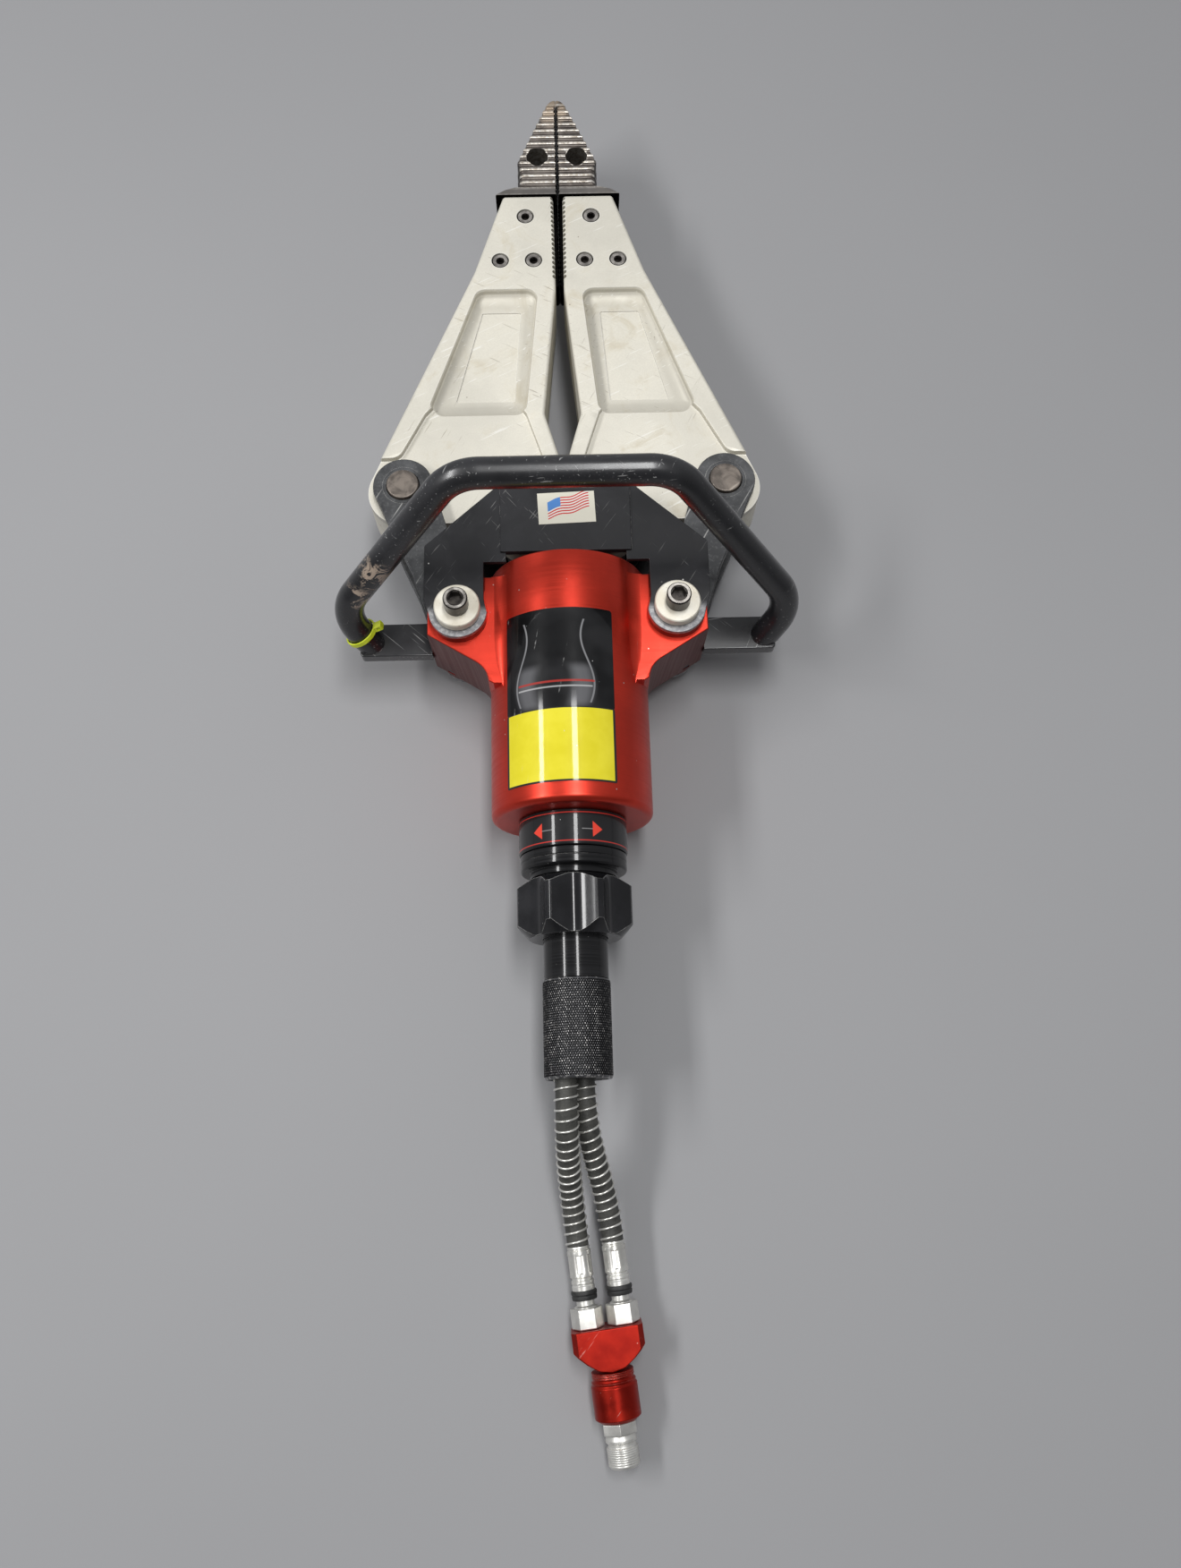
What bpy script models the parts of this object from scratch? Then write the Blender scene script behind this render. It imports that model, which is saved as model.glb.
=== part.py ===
"""Hydraulic rescue spreader: a double-acting cylinder that drives two hinged arms apart.

Metres, +Z up, tips towards +Y. Pieces are placed in the tool's own frame, whose origin lies on the
tool's axis between the two link pivots. The model's origin is under the middle of the tool.
"""

import math

import bmesh
import bpy
from mathutils import Matrix, Vector

# Linkage
PIVOT_STANDOFF = 0.021
LINK_SPREAD = 0.043
ARM_PIN_Y = 0.110
CROSS_PIN_X = 0.032
CROSS_PIN_Y = 0.078
ARM_SWING = math.radians(57)

# Clearances
SEAT_GAP = 0.0003
RUNNING_GAP = 0.0005
SLOT_GAP = 0.0006
CUT_PAST = 0.010

# Cylinder and its ears
CYLINDER_R = 0.058
CYLINDER_REAR_Y = -0.148
CYLINDER_FRONT_Y = 0.040
REAR_WALL = 0.020
REAR_EDGE_ROUND = 0.006
CYLINDER_WALL = 0.014
SHOULDER_FLAT = 0.003
HUB_HALF_THICKNESS = 0.020
EAR_LEAF_THICKNESS = 0.003
EAR_LEAF_FRONT_Y = 0.0105
EAR_REACH = 0.023
EAR_CHAMFER_X = 0.010
EAR_CHAMFER_Y = 0.008
EAR_REAR_CORNER_Y = 0.0142
EAR_FRONT_Y = 0.020
EAR_ROOT_Y = 0.052
EAR_FILLET_R = 0.020
EAR_FILLET_OUT = 0.0165
EAR_FILLET_BACK = 0.001
BOSS_R = 0.021

# Drive inside the cylinder
PISTON_LENGTH = 0.024
PISTON_END_GAP = 0.001
PISTON_SEAL_WIDTH = 0.006
PISTON_SEAL_DEPTH = 0.004
ROD_R = 0.019
GLAND_LENGTH = 0.028
GLAND_RECESS = 0.002
ROD_SEAL_WIDTH = 0.006
ROD_SEAL_R = 0.024
CROSS_PIN_R = 0.008
CROSS_EYE_R = 0.015
CROSS_BLOCK_HALF_WIDTH = 0.028
CROSS_BLOCK_LENGTH = 0.016
CROSS_PLATE_THICKNESS = 0.012
CROSS_ROD_SOCKET = 0.006
CROSS_PIN_HEAD = 0.0015
LUG_EYE_R = 0.016
LUG_HALF_THICKNESS = 0.010

# Link plates, link pins and bushes
LINK_THICKNESS = 0.010
LINK_ARM_EYE_R = 0.0225
LINK_BODY_EYE_R = 0.0215
LINK_WAIST_OUT = 0.007
LINK_WAIST_SHARE = 0.42
LINK_WAIST_IN = 0.011
ARM_PIN_R = 0.012
ARM_PIN_PROUD = 0.0025
BUSH_WALL = 0.003

# Pivot bolts, washers and nuts
SHOULDER_R = 0.009
BOLT_R = 0.006
HEAD_R = 0.00875
HEAD_HEIGHT = 0.012
SOCKET_R = 0.0052
SOCKET_DEPTH = 0.006
WASHER_R = 0.0165
WASHER_THICKNESS = 0.0077
NUT_R = 0.0135
NUT_HEIGHT = 0.010

# Front covers
COVER_THICKNESS = 0.004
COVER_TOP_Z = 0.044
COVER_EYE_R = 0.021
COVER_REAR_Y = 0.045
COVER_NOTCH_Y = 0.0376
COVER_NOTCH_GAP = 0.002
COVER_FRONT_Y = 0.100
COVER_BLOCK_HALF_WIDTH = 0.048
COVER_BLOCK_PROUD = 0.002
COVER_SHOULDER_Y = 0.0516
COVER_EDGE_OUT = 0.0246
COVER_NECK_IN = 0.0186
COVER_FLANGE_THICKNESS = 0.002
COVER_FLANGE_DROP = 0.008

# Arms
ARM_HALF_THICKNESS = 0.025
ARM_RECESS = 0.005
ARM_CORNER_R = 0.0275
ARM_GAP = 0.0046
ARM_FRONT_Y = 0.380
ARM_FRONT_X = 0.045
ARM_KINK_X = 0.0686
ARM_KINK_BACK = 0.074
ARM_SIDE_OUT = 0.0178
ARM_SIDE_Y = 0.1386
ARM_WAIST_X = 0.014
ARM_WAIST_Y = 0.174
ARM_KNEE_Y = 0.127
ARM_KNEE_X = 0.002
ARM_KNEE_CHAMFER_X = 0.0025
ARM_KNEE_CHAMFER_Y = 0.013
LUG_NECK_OUT = 0.034
LUG_NECK_RISE = 0.028
RIM_WIDTH = 0.015
RIM_END_Y = 0.137
RECESS_LUG_RISE = 0.018
POCKET_FRONT_BACK = 0.0915
POCKET_REAR_Y = 0.1745
POCKET_FRONT_X = (0.0176, 0.066)
POCKET_REAR_X = (0.0284, 0.1057)
POCKET_SLOPE = 0.012
POCKET_DEPTH = 0.010
POCKET_CORNER_R = 0.007

# Tips and their screws
TIP_LENGTH = 0.103
TIP_BASE_X = 0.051
TIP_BASE_LENGTH = 0.008
TIP_SHOULDER_X = 0.033
TIP_SHOULDER_LENGTH = 0.039
TIP_END_X = 0.0072
TIP_END_HALF_THICKNESS = 0.019
TIP_GAP = 0.0006
RIB_PITCH = 0.0045
RIB_DEPTH = 0.0012
TIP_HOLE_R = 0.0085
TIP_HOLE_X = 0.0163
TIP_HOLE_Y = 0.042
TONGUE_LENGTH = 0.079
TONGUE_HALF_THICKNESS = 0.012
TONGUE_REACH = 0.056
SCREW_R = 0.004
SCREW_HEAD_R = 0.00675
SCREW_HEAD_HEIGHT = 0.009
SCREW_SOCKET_R = 0.0028
SCREW_SINK = 0.0006
TIP_SCREW_PLACES = ((0.0269, 0.0205), (0.0207, 0.0635), (0.0476, 0.0635))

# Carry handle and its cross bars
HANDLE_R = 0.01065
HANDLE_FOOT_X = 0.1506
HANDLE_BEND_X = 0.1665
HANDLE_BEND_Z = 0.025
HANDLE_TOP_X = 0.074
HANDLE_TOP_Z = 0.140
HANDLE_LEAN = math.radians(20.5)
HANDLE_BEND_R = 0.036
BAR_END = 0.006
BAR_FRONT_Y = 0.012
BAR_REAR_Y = -0.014
BAR_THICKNESS = 0.010
BAR_UNDER = 0.0145
TIE_WIDTH = 0.0036
TIE_THICKNESS = 0.0013
TIE_HEAD = 0.0065
TIE_HEIGHT = 0.009

# Rear control, grip and knob
VALVE_R = 0.0385
VALVE_LENGTH = 0.0253
FLANGE_R = 0.0378
FLANGE_LENGTH = 0.0122
NECK_R = 0.031
NECK_LENGTH = 0.0045
CAVITY_R = 0.029
CAVITY_DEPTH = 0.012
KNOB_WALL = 0.0185
KNOB_LENGTH = 0.041
KNOB_RIDGES = 7
KNOB_RIDGE_WIDTH = 0.0042
KNOB_FLUTE_DEPTH = 0.0050
SPOOL_WALL = 0.003
SPRING_WIRE_R = 0.0009
SPRING_TURNS = 3
TUBE_R = 0.0225
TUBE_BORE_R = 0.017
TUBE_BARE_LENGTH = 0.029
GRIP_R = 0.0236
GRIP_LENGTH = 0.067
GRIP_WALL = 0.004
PLATE_THICKNESS = 0.006

# Hoses and the coupler they end in
HOSE_R = 0.0082
HOSE_STRAIGHT = 0.004
COUPLER_TURN = math.radians(6.4)
COUPLER_PITCH = math.radians(3)
COUPLER_AT = Vector((0.0145, -0.487, -0.0433))
PORT_SPACING = 0.024
FERRULE_R = 0.00775
FERRULE_LENGTH = 0.029
RING_R = 0.0088
RING_LENGTH = 0.0046
HOSE_NUT_R = 0.011
HOSE_NUT_LENGTH = 0.014
HOSE_NECK_R = 0.0078
HOSE_NECK_LENGTH = 0.005
MANIFOLD_HALF_WIDTH = 0.024
MANIFOLD_LENGTH = 0.027
MANIFOLD_HALF_THICKNESS = 0.0135
MANIFOLD_STRAIGHT = 0.013
COLLAR_R = 0.0155
COLLAR_LENGTH = 0.031
NIPPLE_HEX_R = 0.0125
NIPPLE_HEX_LENGTH = 0.008
NIPPLE_R = 0.0105
NIPPLE_LENGTH = 0.020
NIPPLE_BORE_R = 0.006
NIPPLE_BORE_DEPTH = 0.018
POPPET_R = 0.0056
POPPET_LENGTH = 0.012
POPPET_TRAVEL = 0.004

SEGMENTS = 32
SMALL_SEGMENTS = 16

# Widths that follow from the cylinder and the tube
BORE_R = CYLINDER_R - CYLINDER_WALL
PIVOT_X = CYLINDER_R + PIVOT_STANDOFF
ARM_PIN_X = PIVOT_X + LINK_SPREAD
ARM_SIDE_X = ARM_PIN_X + ARM_SIDE_OUT
KNOB_R = TUBE_R + KNOB_WALL

# Heights above the axis that follow from the stack on each link pivot
LINK_LOW_Z = HUB_HALF_THICKNESS + RUNNING_GAP
LINK_HIGH_Z = LINK_LOW_Z + LINK_THICKNESS
LINK_ROOM_Z = LINK_HIGH_Z + RUNNING_GAP
EAR_HALF_THICKNESS = LINK_ROOM_Z + EAR_LEAF_THICKNESS
COVER_LOW_Z = COVER_TOP_Z - COVER_THICKNESS
BOSS_Z = COVER_LOW_Z - RUNNING_GAP
WASHER_LOW_Z = COVER_TOP_Z + SEAT_GAP
WASHER_HIGH_Z = WASHER_LOW_Z + WASHER_THICKNESS
HEAD_LOW_Z = WASHER_HIGH_Z + SEAT_GAP
REST_DEPTH = HEAD_LOW_Z + NUT_HEIGHT

# Stations along the axis
VALVE_FRONT_Y = CYLINDER_REAR_Y - SEAT_GAP
VALVE_REAR_Y = VALVE_FRONT_Y - VALVE_LENGTH
FLANGE_FRONT_Y = VALVE_REAR_Y - SEAT_GAP
NECK_REAR_Y = FLANGE_FRONT_Y - FLANGE_LENGTH - NECK_LENGTH
KNOB_FRONT_Y = NECK_REAR_Y - RUNNING_GAP
KNOB_REAR_Y = KNOB_FRONT_Y - KNOB_LENGTH
GRIP_FRONT_Y = KNOB_REAR_Y - TUBE_BARE_LENGTH
GRIP_REAR_Y = GRIP_FRONT_Y - GRIP_LENGTH
TUBE_FRONT_Y = VALVE_REAR_Y + CAVITY_DEPTH - SEAT_GAP
ARM_KINK_Y = ARM_FRONT_Y - ARM_KINK_BACK
POCKET_FRONT_Y = ARM_FRONT_Y - POCKET_FRONT_BACK
TIP_SCREWS = tuple((x, ARM_FRONT_Y - back) for x, back in TIP_SCREW_PLACES)
TIP_FRONT_Y = ARM_FRONT_Y + SEAT_GAP + TIP_LENGTH
MIDDLE_Y = (TIP_FRONT_Y + GRIP_REAR_Y) / 2

PISTON_REAR_Y = CYLINDER_REAR_Y + REAR_WALL + PISTON_END_GAP
PISTON_FRONT_Y = PISTON_REAR_Y + PISTON_LENGTH
GLAND_FRONT_Y = CYLINDER_FRONT_Y - GLAND_RECESS
GLAND_REAR_Y = GLAND_FRONT_Y - GLAND_LENGTH
CROSS_PLATE_LOW_Z = LUG_HALF_THICKNESS + RUNNING_GAP
CROSS_PLATE_HIGH_Z = CROSS_PLATE_LOW_Z + CROSS_PLATE_THICKNESS
CROSS_BLOCK_FRONT_Y = CROSS_PIN_Y - LUG_EYE_R - 3 * RUNNING_GAP
CROSS_BLOCK_REAR_Y = CROSS_BLOCK_FRONT_Y - CROSS_BLOCK_LENGTH
ARM_INNER_HALF = ARM_HALF_THICKNESS - ARM_RECESS
SIDES = {"right": 1, "left": -1}


def linkage():
    """Crosshead stroke, link turn and the slot that the arm's lug needs for its straight-line drive."""
    length = math.hypot(ARM_PIN_X - PIVOT_X, ARM_PIN_Y)
    rest = math.atan2(ARM_PIN_X - PIVOT_X, ARM_PIN_Y)
    reach = Vector((ARM_PIN_X - CROSS_PIN_X, ARM_PIN_Y - CROSS_PIN_Y))
    turned = Matrix.Rotation(-ARM_SWING, 2) @ reach
    open_x = CROSS_PIN_X + turned.x
    link_turn = rest - math.asin((open_x - PIVOT_X) / length)
    stroke = length * math.cos(rest - link_turn) - turned.y - CROSS_PIN_Y
    slot = Vector((0, 0))
    for step in range(1, 20):
        share = step / 20
        angle = rest - link_turn * share
        pin = Vector((PIVOT_X + length * math.sin(angle), length * math.cos(angle)))
        cross = Vector((CROSS_PIN_X, CROSS_PIN_Y + stroke * share))
        drift = Matrix.Rotation(ARM_SWING * share, 2) @ (cross - pin) + reach
        if drift.length > slot.length:
            slot = drift
    return stroke, link_turn, slot


STROKE, LINK_TURN, SLOT = linkage()
SLOT_HALF_WIDTH = CROSS_PIN_R + 0.14 * SLOT.length + SLOT_GAP


def clear_scene():
    for item in list(bpy.data.objects):
        bpy.data.objects.remove(item, do_unlink=True)


def new_collection(name):
    found = bpy.data.collections.new(name)
    bpy.context.scene.collection.children.link(found)
    return found


def material(name, colour, roughness, metallic=0.0):
    made = bpy.data.materials.new(name)
    made.use_nodes = True
    shader = made.node_tree.nodes["Principled BSDF"]
    shader.inputs["Base Color"].default_value = (*colour, 1)
    shader.inputs["Roughness"].default_value = roughness
    shader.inputs["Metallic"].default_value = metallic
    return made


clear_scene()
PIECES = new_collection("rescue_spreader")
CUTTERS = new_collection("cutters")

RED = material("red_anodised", (0.45, 0.03, 0.02), 0.3, 0.7)
BLACK_ANODISED = material("black_anodised", (0.012, 0.012, 0.014), 0.25, 0.6)
BLACK_PAINT = material("black_paint", (0.02, 0.02, 0.022), 0.4)
LINK_STEEL = material("link_steel", (0.11, 0.11, 0.12), 0.45, 0.8)
BRIGHT_STEEL = material("bright_steel", (0.62, 0.61, 0.58), 0.3, 1.0)
DARK_STEEL = material("dark_steel", (0.16, 0.13, 0.11), 0.4, 0.9)
ARM_ALUMINIUM = material("arm_aluminium", (0.74, 0.70, 0.60), 0.4, 0.4)
TIP_STEEL = material("tip_steel", (0.26, 0.23, 0.21), 0.4, 0.9)
BRONZE = material("bronze", (0.45, 0.30, 0.12), 0.35, 1.0)
RUBBER = material("rubber", (0.02, 0.02, 0.02), 0.7)
TIE_PLASTIC = material("tie_plastic", (0.55, 0.75, 0.05), 0.4)


def empty(name, at, parent=None, rotation=(0, 0, 0)):
    made = bpy.data.objects.new(name, None)
    made.location = at
    made.rotation_euler = rotation
    made.parent = parent
    PIECES.objects.link(made)
    return made


TOOL = empty("tool_frame", (0, -MIDDLE_Y, REST_DEPTH))
COUPLER = empty(
    "coupler_frame",
    COUPLER_AT,
    TOOL,
    (math.pi / 2 + COUPLER_PITCH, 0, COUPLER_TURN),
)


def add(name, data, finish, at=(0, 0, 0), rotation=(0, 0, 0), parent=None):
    """Links one piece. Data is a mesh or a curve that is written about the piece's own origin."""
    made = bpy.data.objects.new(name, data)
    made.location = at
    made.rotation_euler = rotation
    made.parent = parent or TOOL
    if finish is None:
        CUTTERS.objects.link(made)
        made.hide_render = True
        made.display_type = "WIRE"
    else:
        PIECES.objects.link(made)
        data.materials.append(finish)
    return made


def smooth(data):
    data.shade_smooth()
    data.set_sharp_from_angle(angle=math.radians(35))


def arc(centre, radius, start, end, steps):
    """Points on an arc, both ends included. Angles are in degrees, anticlockwise from +X."""
    points = []
    for step in range(steps + 1):
        angle = math.radians(start + (end - start) * step / steps)
        points.append((centre[0] + radius * math.cos(angle), centre[1] + radius * math.sin(angle)))
    return points


def circle(centre, radius, steps=SMALL_SEGMENTS):
    return arc(centre, radius, 0, 360 * (steps - 1) / steps, steps - 1)


def capsule(start, end, radius, steps=8):
    """The outline of a round of this radius moved from start to end."""
    heading = math.degrees(math.atan2(end[1] - start[1], end[0] - start[0]))
    far = arc(end, radius, heading - 90, heading + 90, steps)
    return far + arc(start, radius, heading + 90, heading + 270, steps)


def flat_mesh(name, outlines, low, high, bevel=0.0):
    """A flat piece between two heights. The first outline is its edge, and the others are its holes."""
    curve = bpy.data.curves.new(name, "CURVE")
    curve.dimensions = "2D"
    curve.fill_mode = "BOTH"
    curve.extrude = (high - low) / 2
    for outline in outlines:
        spline = curve.splines.new("POLY")
        spline.points.add(len(outline) - 1)
        for point, (x, y) in zip(spline.points, outline):
            point.co = (x, y, 0, 1)
        spline.use_cyclic_u = True
    return curve_mesh(name, curve, bevel, (low + high) / 2)


def curve_mesh(name, curve, bevel=0.0, lift=0.0):
    """The curve as a closed mesh, its caps welded on and its edges bevelled."""
    holder = bpy.data.objects.new(name + "_curve", curve)
    CUTTERS.objects.link(holder)
    graph = bpy.context.evaluated_depsgraph_get()
    made = bpy.data.meshes.new_from_object(holder.evaluated_get(graph))
    bpy.data.objects.remove(holder, do_unlink=True)
    made.name = name
    work = bmesh.new()
    work.from_mesh(made)
    bmesh.ops.remove_doubles(work, verts=work.verts, dist=1e-6)
    bmesh.ops.translate(work, verts=work.verts, vec=(0, 0, lift))
    bmesh.ops.recalc_face_normals(work, faces=work.faces)
    if bevel:
        edges = [edge for edge in work.edges if edge.calc_face_angle(0) > math.radians(40)]
        bmesh.ops.bevel(work, geom=edges, offset=bevel, segments=1, affect="EDGES", clamp_overlap=True)
    work.to_mesh(made)
    work.free()
    smooth(made)
    return made


def flat(name, outlines, low, high, finish, at=(0, 0, 0), bevel=0.0, **placing):
    return add(name, flat_mesh(name, outlines, low, high, bevel), finish, at, **placing)


def turned(name, profile, finish, at=(0, 0, 0), rotation=(0, 0, 0), steps=SEGMENTS, closed=False, parent=None):
    """A solid of revolution about its own Z. The profile's points are (radius, height), down its outer side."""
    data = bpy.data.meshes.new(name)
    work = bmesh.new()
    points = [work.verts.new((radius, 0, height)) for radius, height in profile]
    for first, second in zip(points, points[1:]):
        work.edges.new((first, second))
    if closed:
        work.edges.new((points[-1], points[0]))
    work.to_mesh(data)
    work.free()
    made = add(name, data, finish, at, rotation, parent)
    screw = made.modifiers.new("turn", "SCREW")
    screw.steps = screw.render_steps = steps
    screw.use_merge_vertices = True
    screw.merge_threshold = 1e-5
    screw.use_smooth_shade = True
    return made


ALONG_Y = (-math.pi / 2, 0, 0)


def disc(low, high, radius):
    return [(0, high), (radius, high), (radius, low), (0, low)]


def ring(low, high, inner, outer):
    return [(inner, high), (outer, high), (outer, low), (inner, low)]


def boolean(target, other, operation="DIFFERENCE"):
    modifier = target.modifiers.new(operation.lower(), "BOOLEAN")
    modifier.operation = operation
    modifier.object = other
    modifier.solver = "EXACT"


def cut(target, *cutters):
    for cutter in cutters:
        boolean(target, cutter)


def join(target, *others):
    for other in others:
        boolean(target, other, "UNION")


def mirrored(points, side):
    return [(side * x, y) for x, y in points]


def make_cylinder():
    """The red body: a thick tube closed at the rear, with an ear and its bosses for each link pivot."""
    body = turned(
        "cylinder_body",
        [
            (BORE_R, CYLINDER_FRONT_Y),
            (CYLINDER_R, CYLINDER_FRONT_Y),
            (CYLINDER_R, CYLINDER_REAR_Y + REAR_EDGE_ROUND),
            (CYLINDER_R - REAR_EDGE_ROUND * 0.3, CYLINDER_REAR_Y + REAR_EDGE_ROUND * 0.3),
            (CYLINDER_R - REAR_EDGE_ROUND, CYLINDER_REAR_Y),
            (0, CYLINDER_REAR_Y),
            (0, CYLINDER_REAR_Y + REAR_WALL),
            (BORE_R, CYLINDER_REAR_Y + REAR_WALL),
        ],
        RED,
        rotation=ALONG_Y,
        closed=True,
    )
    corner_x = PIVOT_X + EAR_REACH
    flat_x = CYLINDER_R + SHOULDER_FLAT
    root_x = CYLINDER_R - SHOULDER_FLAT
    inside_x = (BORE_R + CYLINDER_R) / 2
    fillet_at = (flat_x + EAR_FILLET_OUT, -EAR_ROOT_Y - EAR_FILLET_BACK)
    fillet = arc(fillet_at, EAR_FILLET_R, 122, 172, 4)
    room_r = LINK_BODY_EYE_R + RUNNING_GAP
    past_x = corner_x + CUT_PAST
    room_edge = arc((PIVOT_X, 0), room_r, 180, 340, 12)
    room = [*room_edge, (past_x, room_edge[-1][1]), (past_x, CYLINDER_FRONT_Y), (PIVOT_X - room_r, CYLINDER_FRONT_Y)]
    front = [
        (flat_x, EAR_LEAF_FRONT_Y),
        (past_x, EAR_LEAF_FRONT_Y),
        (past_x, CYLINDER_FRONT_Y),
        (flat_x, CYLINDER_FRONT_Y),
    ]
    holes = []
    for name, side in SIDES.items():
        outline = [
            (inside_x, CYLINDER_FRONT_Y - SEAT_GAP),
            (flat_x, CYLINDER_FRONT_Y - SEAT_GAP),
            (flat_x, EAR_FRONT_Y),
            (corner_x - EAR_CHAMFER_X, EAR_FRONT_Y),
            (corner_x, EAR_FRONT_Y - EAR_CHAMFER_Y),
            (corner_x, -EAR_REAR_CORNER_Y),
            *[point for point in fillet if point[0] > root_x],
            (root_x, -EAR_ROOT_Y),
            (inside_x, -EAR_ROOT_Y),
        ]
        ear = flat("ear_" + name, [mirrored(outline, side)], -EAR_HALF_THICKNESS, EAR_HALF_THICKNESS, None)
        for facing, tag in ((1, "upper"), (-1, "lower")):
            low, high = sorted((facing * LINK_ROOM_Z, facing * (EAR_HALF_THICKNESS + CUT_PAST)))
            cut(ear, flat(f"ear_front_{tag}_{name}", [mirrored(front, side)], low, high, None))
            low, high = sorted((facing * HUB_HALF_THICKNESS, facing * LINK_ROOM_Z))
            holes.append(flat(f"link_room_{tag}_{name}", [mirrored(room, side)], low, high, None))
        at = (side * PIVOT_X, 0, 0)
        boss = turned("boss_" + name, disc(-BOSS_Z, BOSS_Z, BOSS_R), None, at, steps=24)
        hole = turned(
            "ear_bore_" + name,
            disc(-BOSS_Z - CUT_PAST, BOSS_Z + CUT_PAST, SHOULDER_R + SEAT_GAP),
            None,
            at,
            steps=SMALL_SEGMENTS,
        )
        join(body, ear, boss)
        holes.append(hole)
    clearance = turned(
        "bore_clearance",
        disc(CYLINDER_REAR_Y + REAR_WALL, CYLINDER_FRONT_Y + REAR_WALL, BORE_R),
        None,
        rotation=ALONG_Y,
    )
    cut(body, clearance, *holes)


def make_gland():
    """The threaded gland that closes the front of the bore, with the rod's seal in its groove."""
    outer = BORE_R - SEAT_GAP
    inner = ROD_R + RUNNING_GAP
    seal_front = GLAND_REAR_Y + GLAND_LENGTH / 2 + ROD_SEAL_WIDTH / 2
    seal_rear = seal_front - ROD_SEAL_WIDTH
    turned(
        "gland_nut",
        [
            (inner, GLAND_FRONT_Y),
            (outer, GLAND_FRONT_Y),
            (outer, GLAND_REAR_Y),
            (inner, GLAND_REAR_Y),
            (inner, seal_rear),
            (ROD_SEAL_R, seal_rear),
            (ROD_SEAL_R, seal_front),
            (inner, seal_front),
        ],
        BLACK_ANODISED,
        rotation=ALONG_Y,
        closed=True,
    )
    turned(
        "rod_seal",
        ring(seal_rear + SEAT_GAP, seal_front - SEAT_GAP, ROD_R + SEAT_GAP, ROD_SEAL_R - SEAT_GAP),
        RUBBER,
        rotation=ALONG_Y,
        closed=True,
    )


def make_piston():
    """Piston, its seal and the rod that carries the crosshead."""
    radius = BORE_R - RUNNING_GAP
    groove = radius - PISTON_SEAL_DEPTH
    middle = (PISTON_REAR_Y + PISTON_FRONT_Y) / 2
    seal_front = middle + PISTON_SEAL_WIDTH / 2
    seal_rear = middle - PISTON_SEAL_WIDTH / 2
    turned(
        "piston",
        [
            (0, PISTON_FRONT_Y),
            (radius, PISTON_FRONT_Y),
            (radius, seal_front),
            (groove, seal_front),
            (groove, seal_rear),
            (radius, seal_rear),
            (radius, PISTON_REAR_Y),
            (0, PISTON_REAR_Y),
        ],
        DARK_STEEL,
        rotation=ALONG_Y,
    )
    turned(
        "piston_seal",
        ring(seal_rear + SEAT_GAP, seal_front - SEAT_GAP, groove + SEAT_GAP, BORE_R - SEAT_GAP),
        RUBBER,
        rotation=ALONG_Y,
        closed=True,
    )
    turned(
        "piston_rod",
        disc(PISTON_FRONT_Y + SEAT_GAP, CROSS_BLOCK_REAR_Y + CROSS_ROD_SOCKET - SEAT_GAP, ROD_R),
        BRIGHT_STEEL,
        rotation=ALONG_Y,
        steps=20,
    )


def make_crosshead():
    """The yoke on the rod: a solid block behind the arms' lugs and a plate above and below them."""
    left = (-CROSS_PIN_X, CROSS_PIN_Y)
    right = (CROSS_PIN_X, CROSS_PIN_Y)
    outline = [
        (-CROSS_BLOCK_HALF_WIDTH, CROSS_BLOCK_REAR_Y),
        (CROSS_BLOCK_HALF_WIDTH, CROSS_BLOCK_REAR_Y),
        (CROSS_BLOCK_HALF_WIDTH, CROSS_BLOCK_FRONT_Y + RUNNING_GAP),
        *arc(right, CROSS_EYE_R, -40, 90, 7),
        *arc(left, CROSS_EYE_R, 90, 220, 7),
        (-CROSS_BLOCK_HALF_WIDTH, CROSS_BLOCK_FRONT_Y + RUNNING_GAP),
    ]
    high = CROSS_PLATE_HIGH_Z
    yoke = flat("crosshead", [outline], -high, high, DARK_STEEL)
    slot = [
        (-ARM_PIN_X, CROSS_BLOCK_FRONT_Y),
        (ARM_PIN_X, CROSS_BLOCK_FRONT_Y),
        (ARM_PIN_X, ARM_PIN_Y),
        (-ARM_PIN_X, ARM_PIN_Y),
    ]
    gap = flat("crosshead_slot", [slot], -CROSS_PLATE_LOW_Z, CROSS_PLATE_LOW_Z, None)
    socket_top = CROSS_BLOCK_REAR_Y + CROSS_ROD_SOCKET
    socket = turned(
        "rod_socket",
        disc(CROSS_BLOCK_REAR_Y - CROSS_ROD_SOCKET, socket_top, ROD_R + SEAT_GAP),
        None,
        rotation=ALONG_Y,
        steps=20,
    )
    cut(yoke, gap, socket)
    for name, side in SIDES.items():
        at = (side * CROSS_PIN_X, CROSS_PIN_Y, 0)
        hole = turned(
            "crosshead_bore_" + name,
            disc(-high - CUT_PAST, high + CUT_PAST, CROSS_PIN_R + SEAT_GAP),
            None,
            at,
            steps=SMALL_SEGMENTS,
        )
        cut(yoke, hole)
        reach = high + CROSS_PIN_HEAD
        turned(
            "crosshead_pin_" + name,
            disc(-reach, reach, CROSS_PIN_R),
            BRIGHT_STEEL,
            at,
            steps=SMALL_SEGMENTS,
        )


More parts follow.
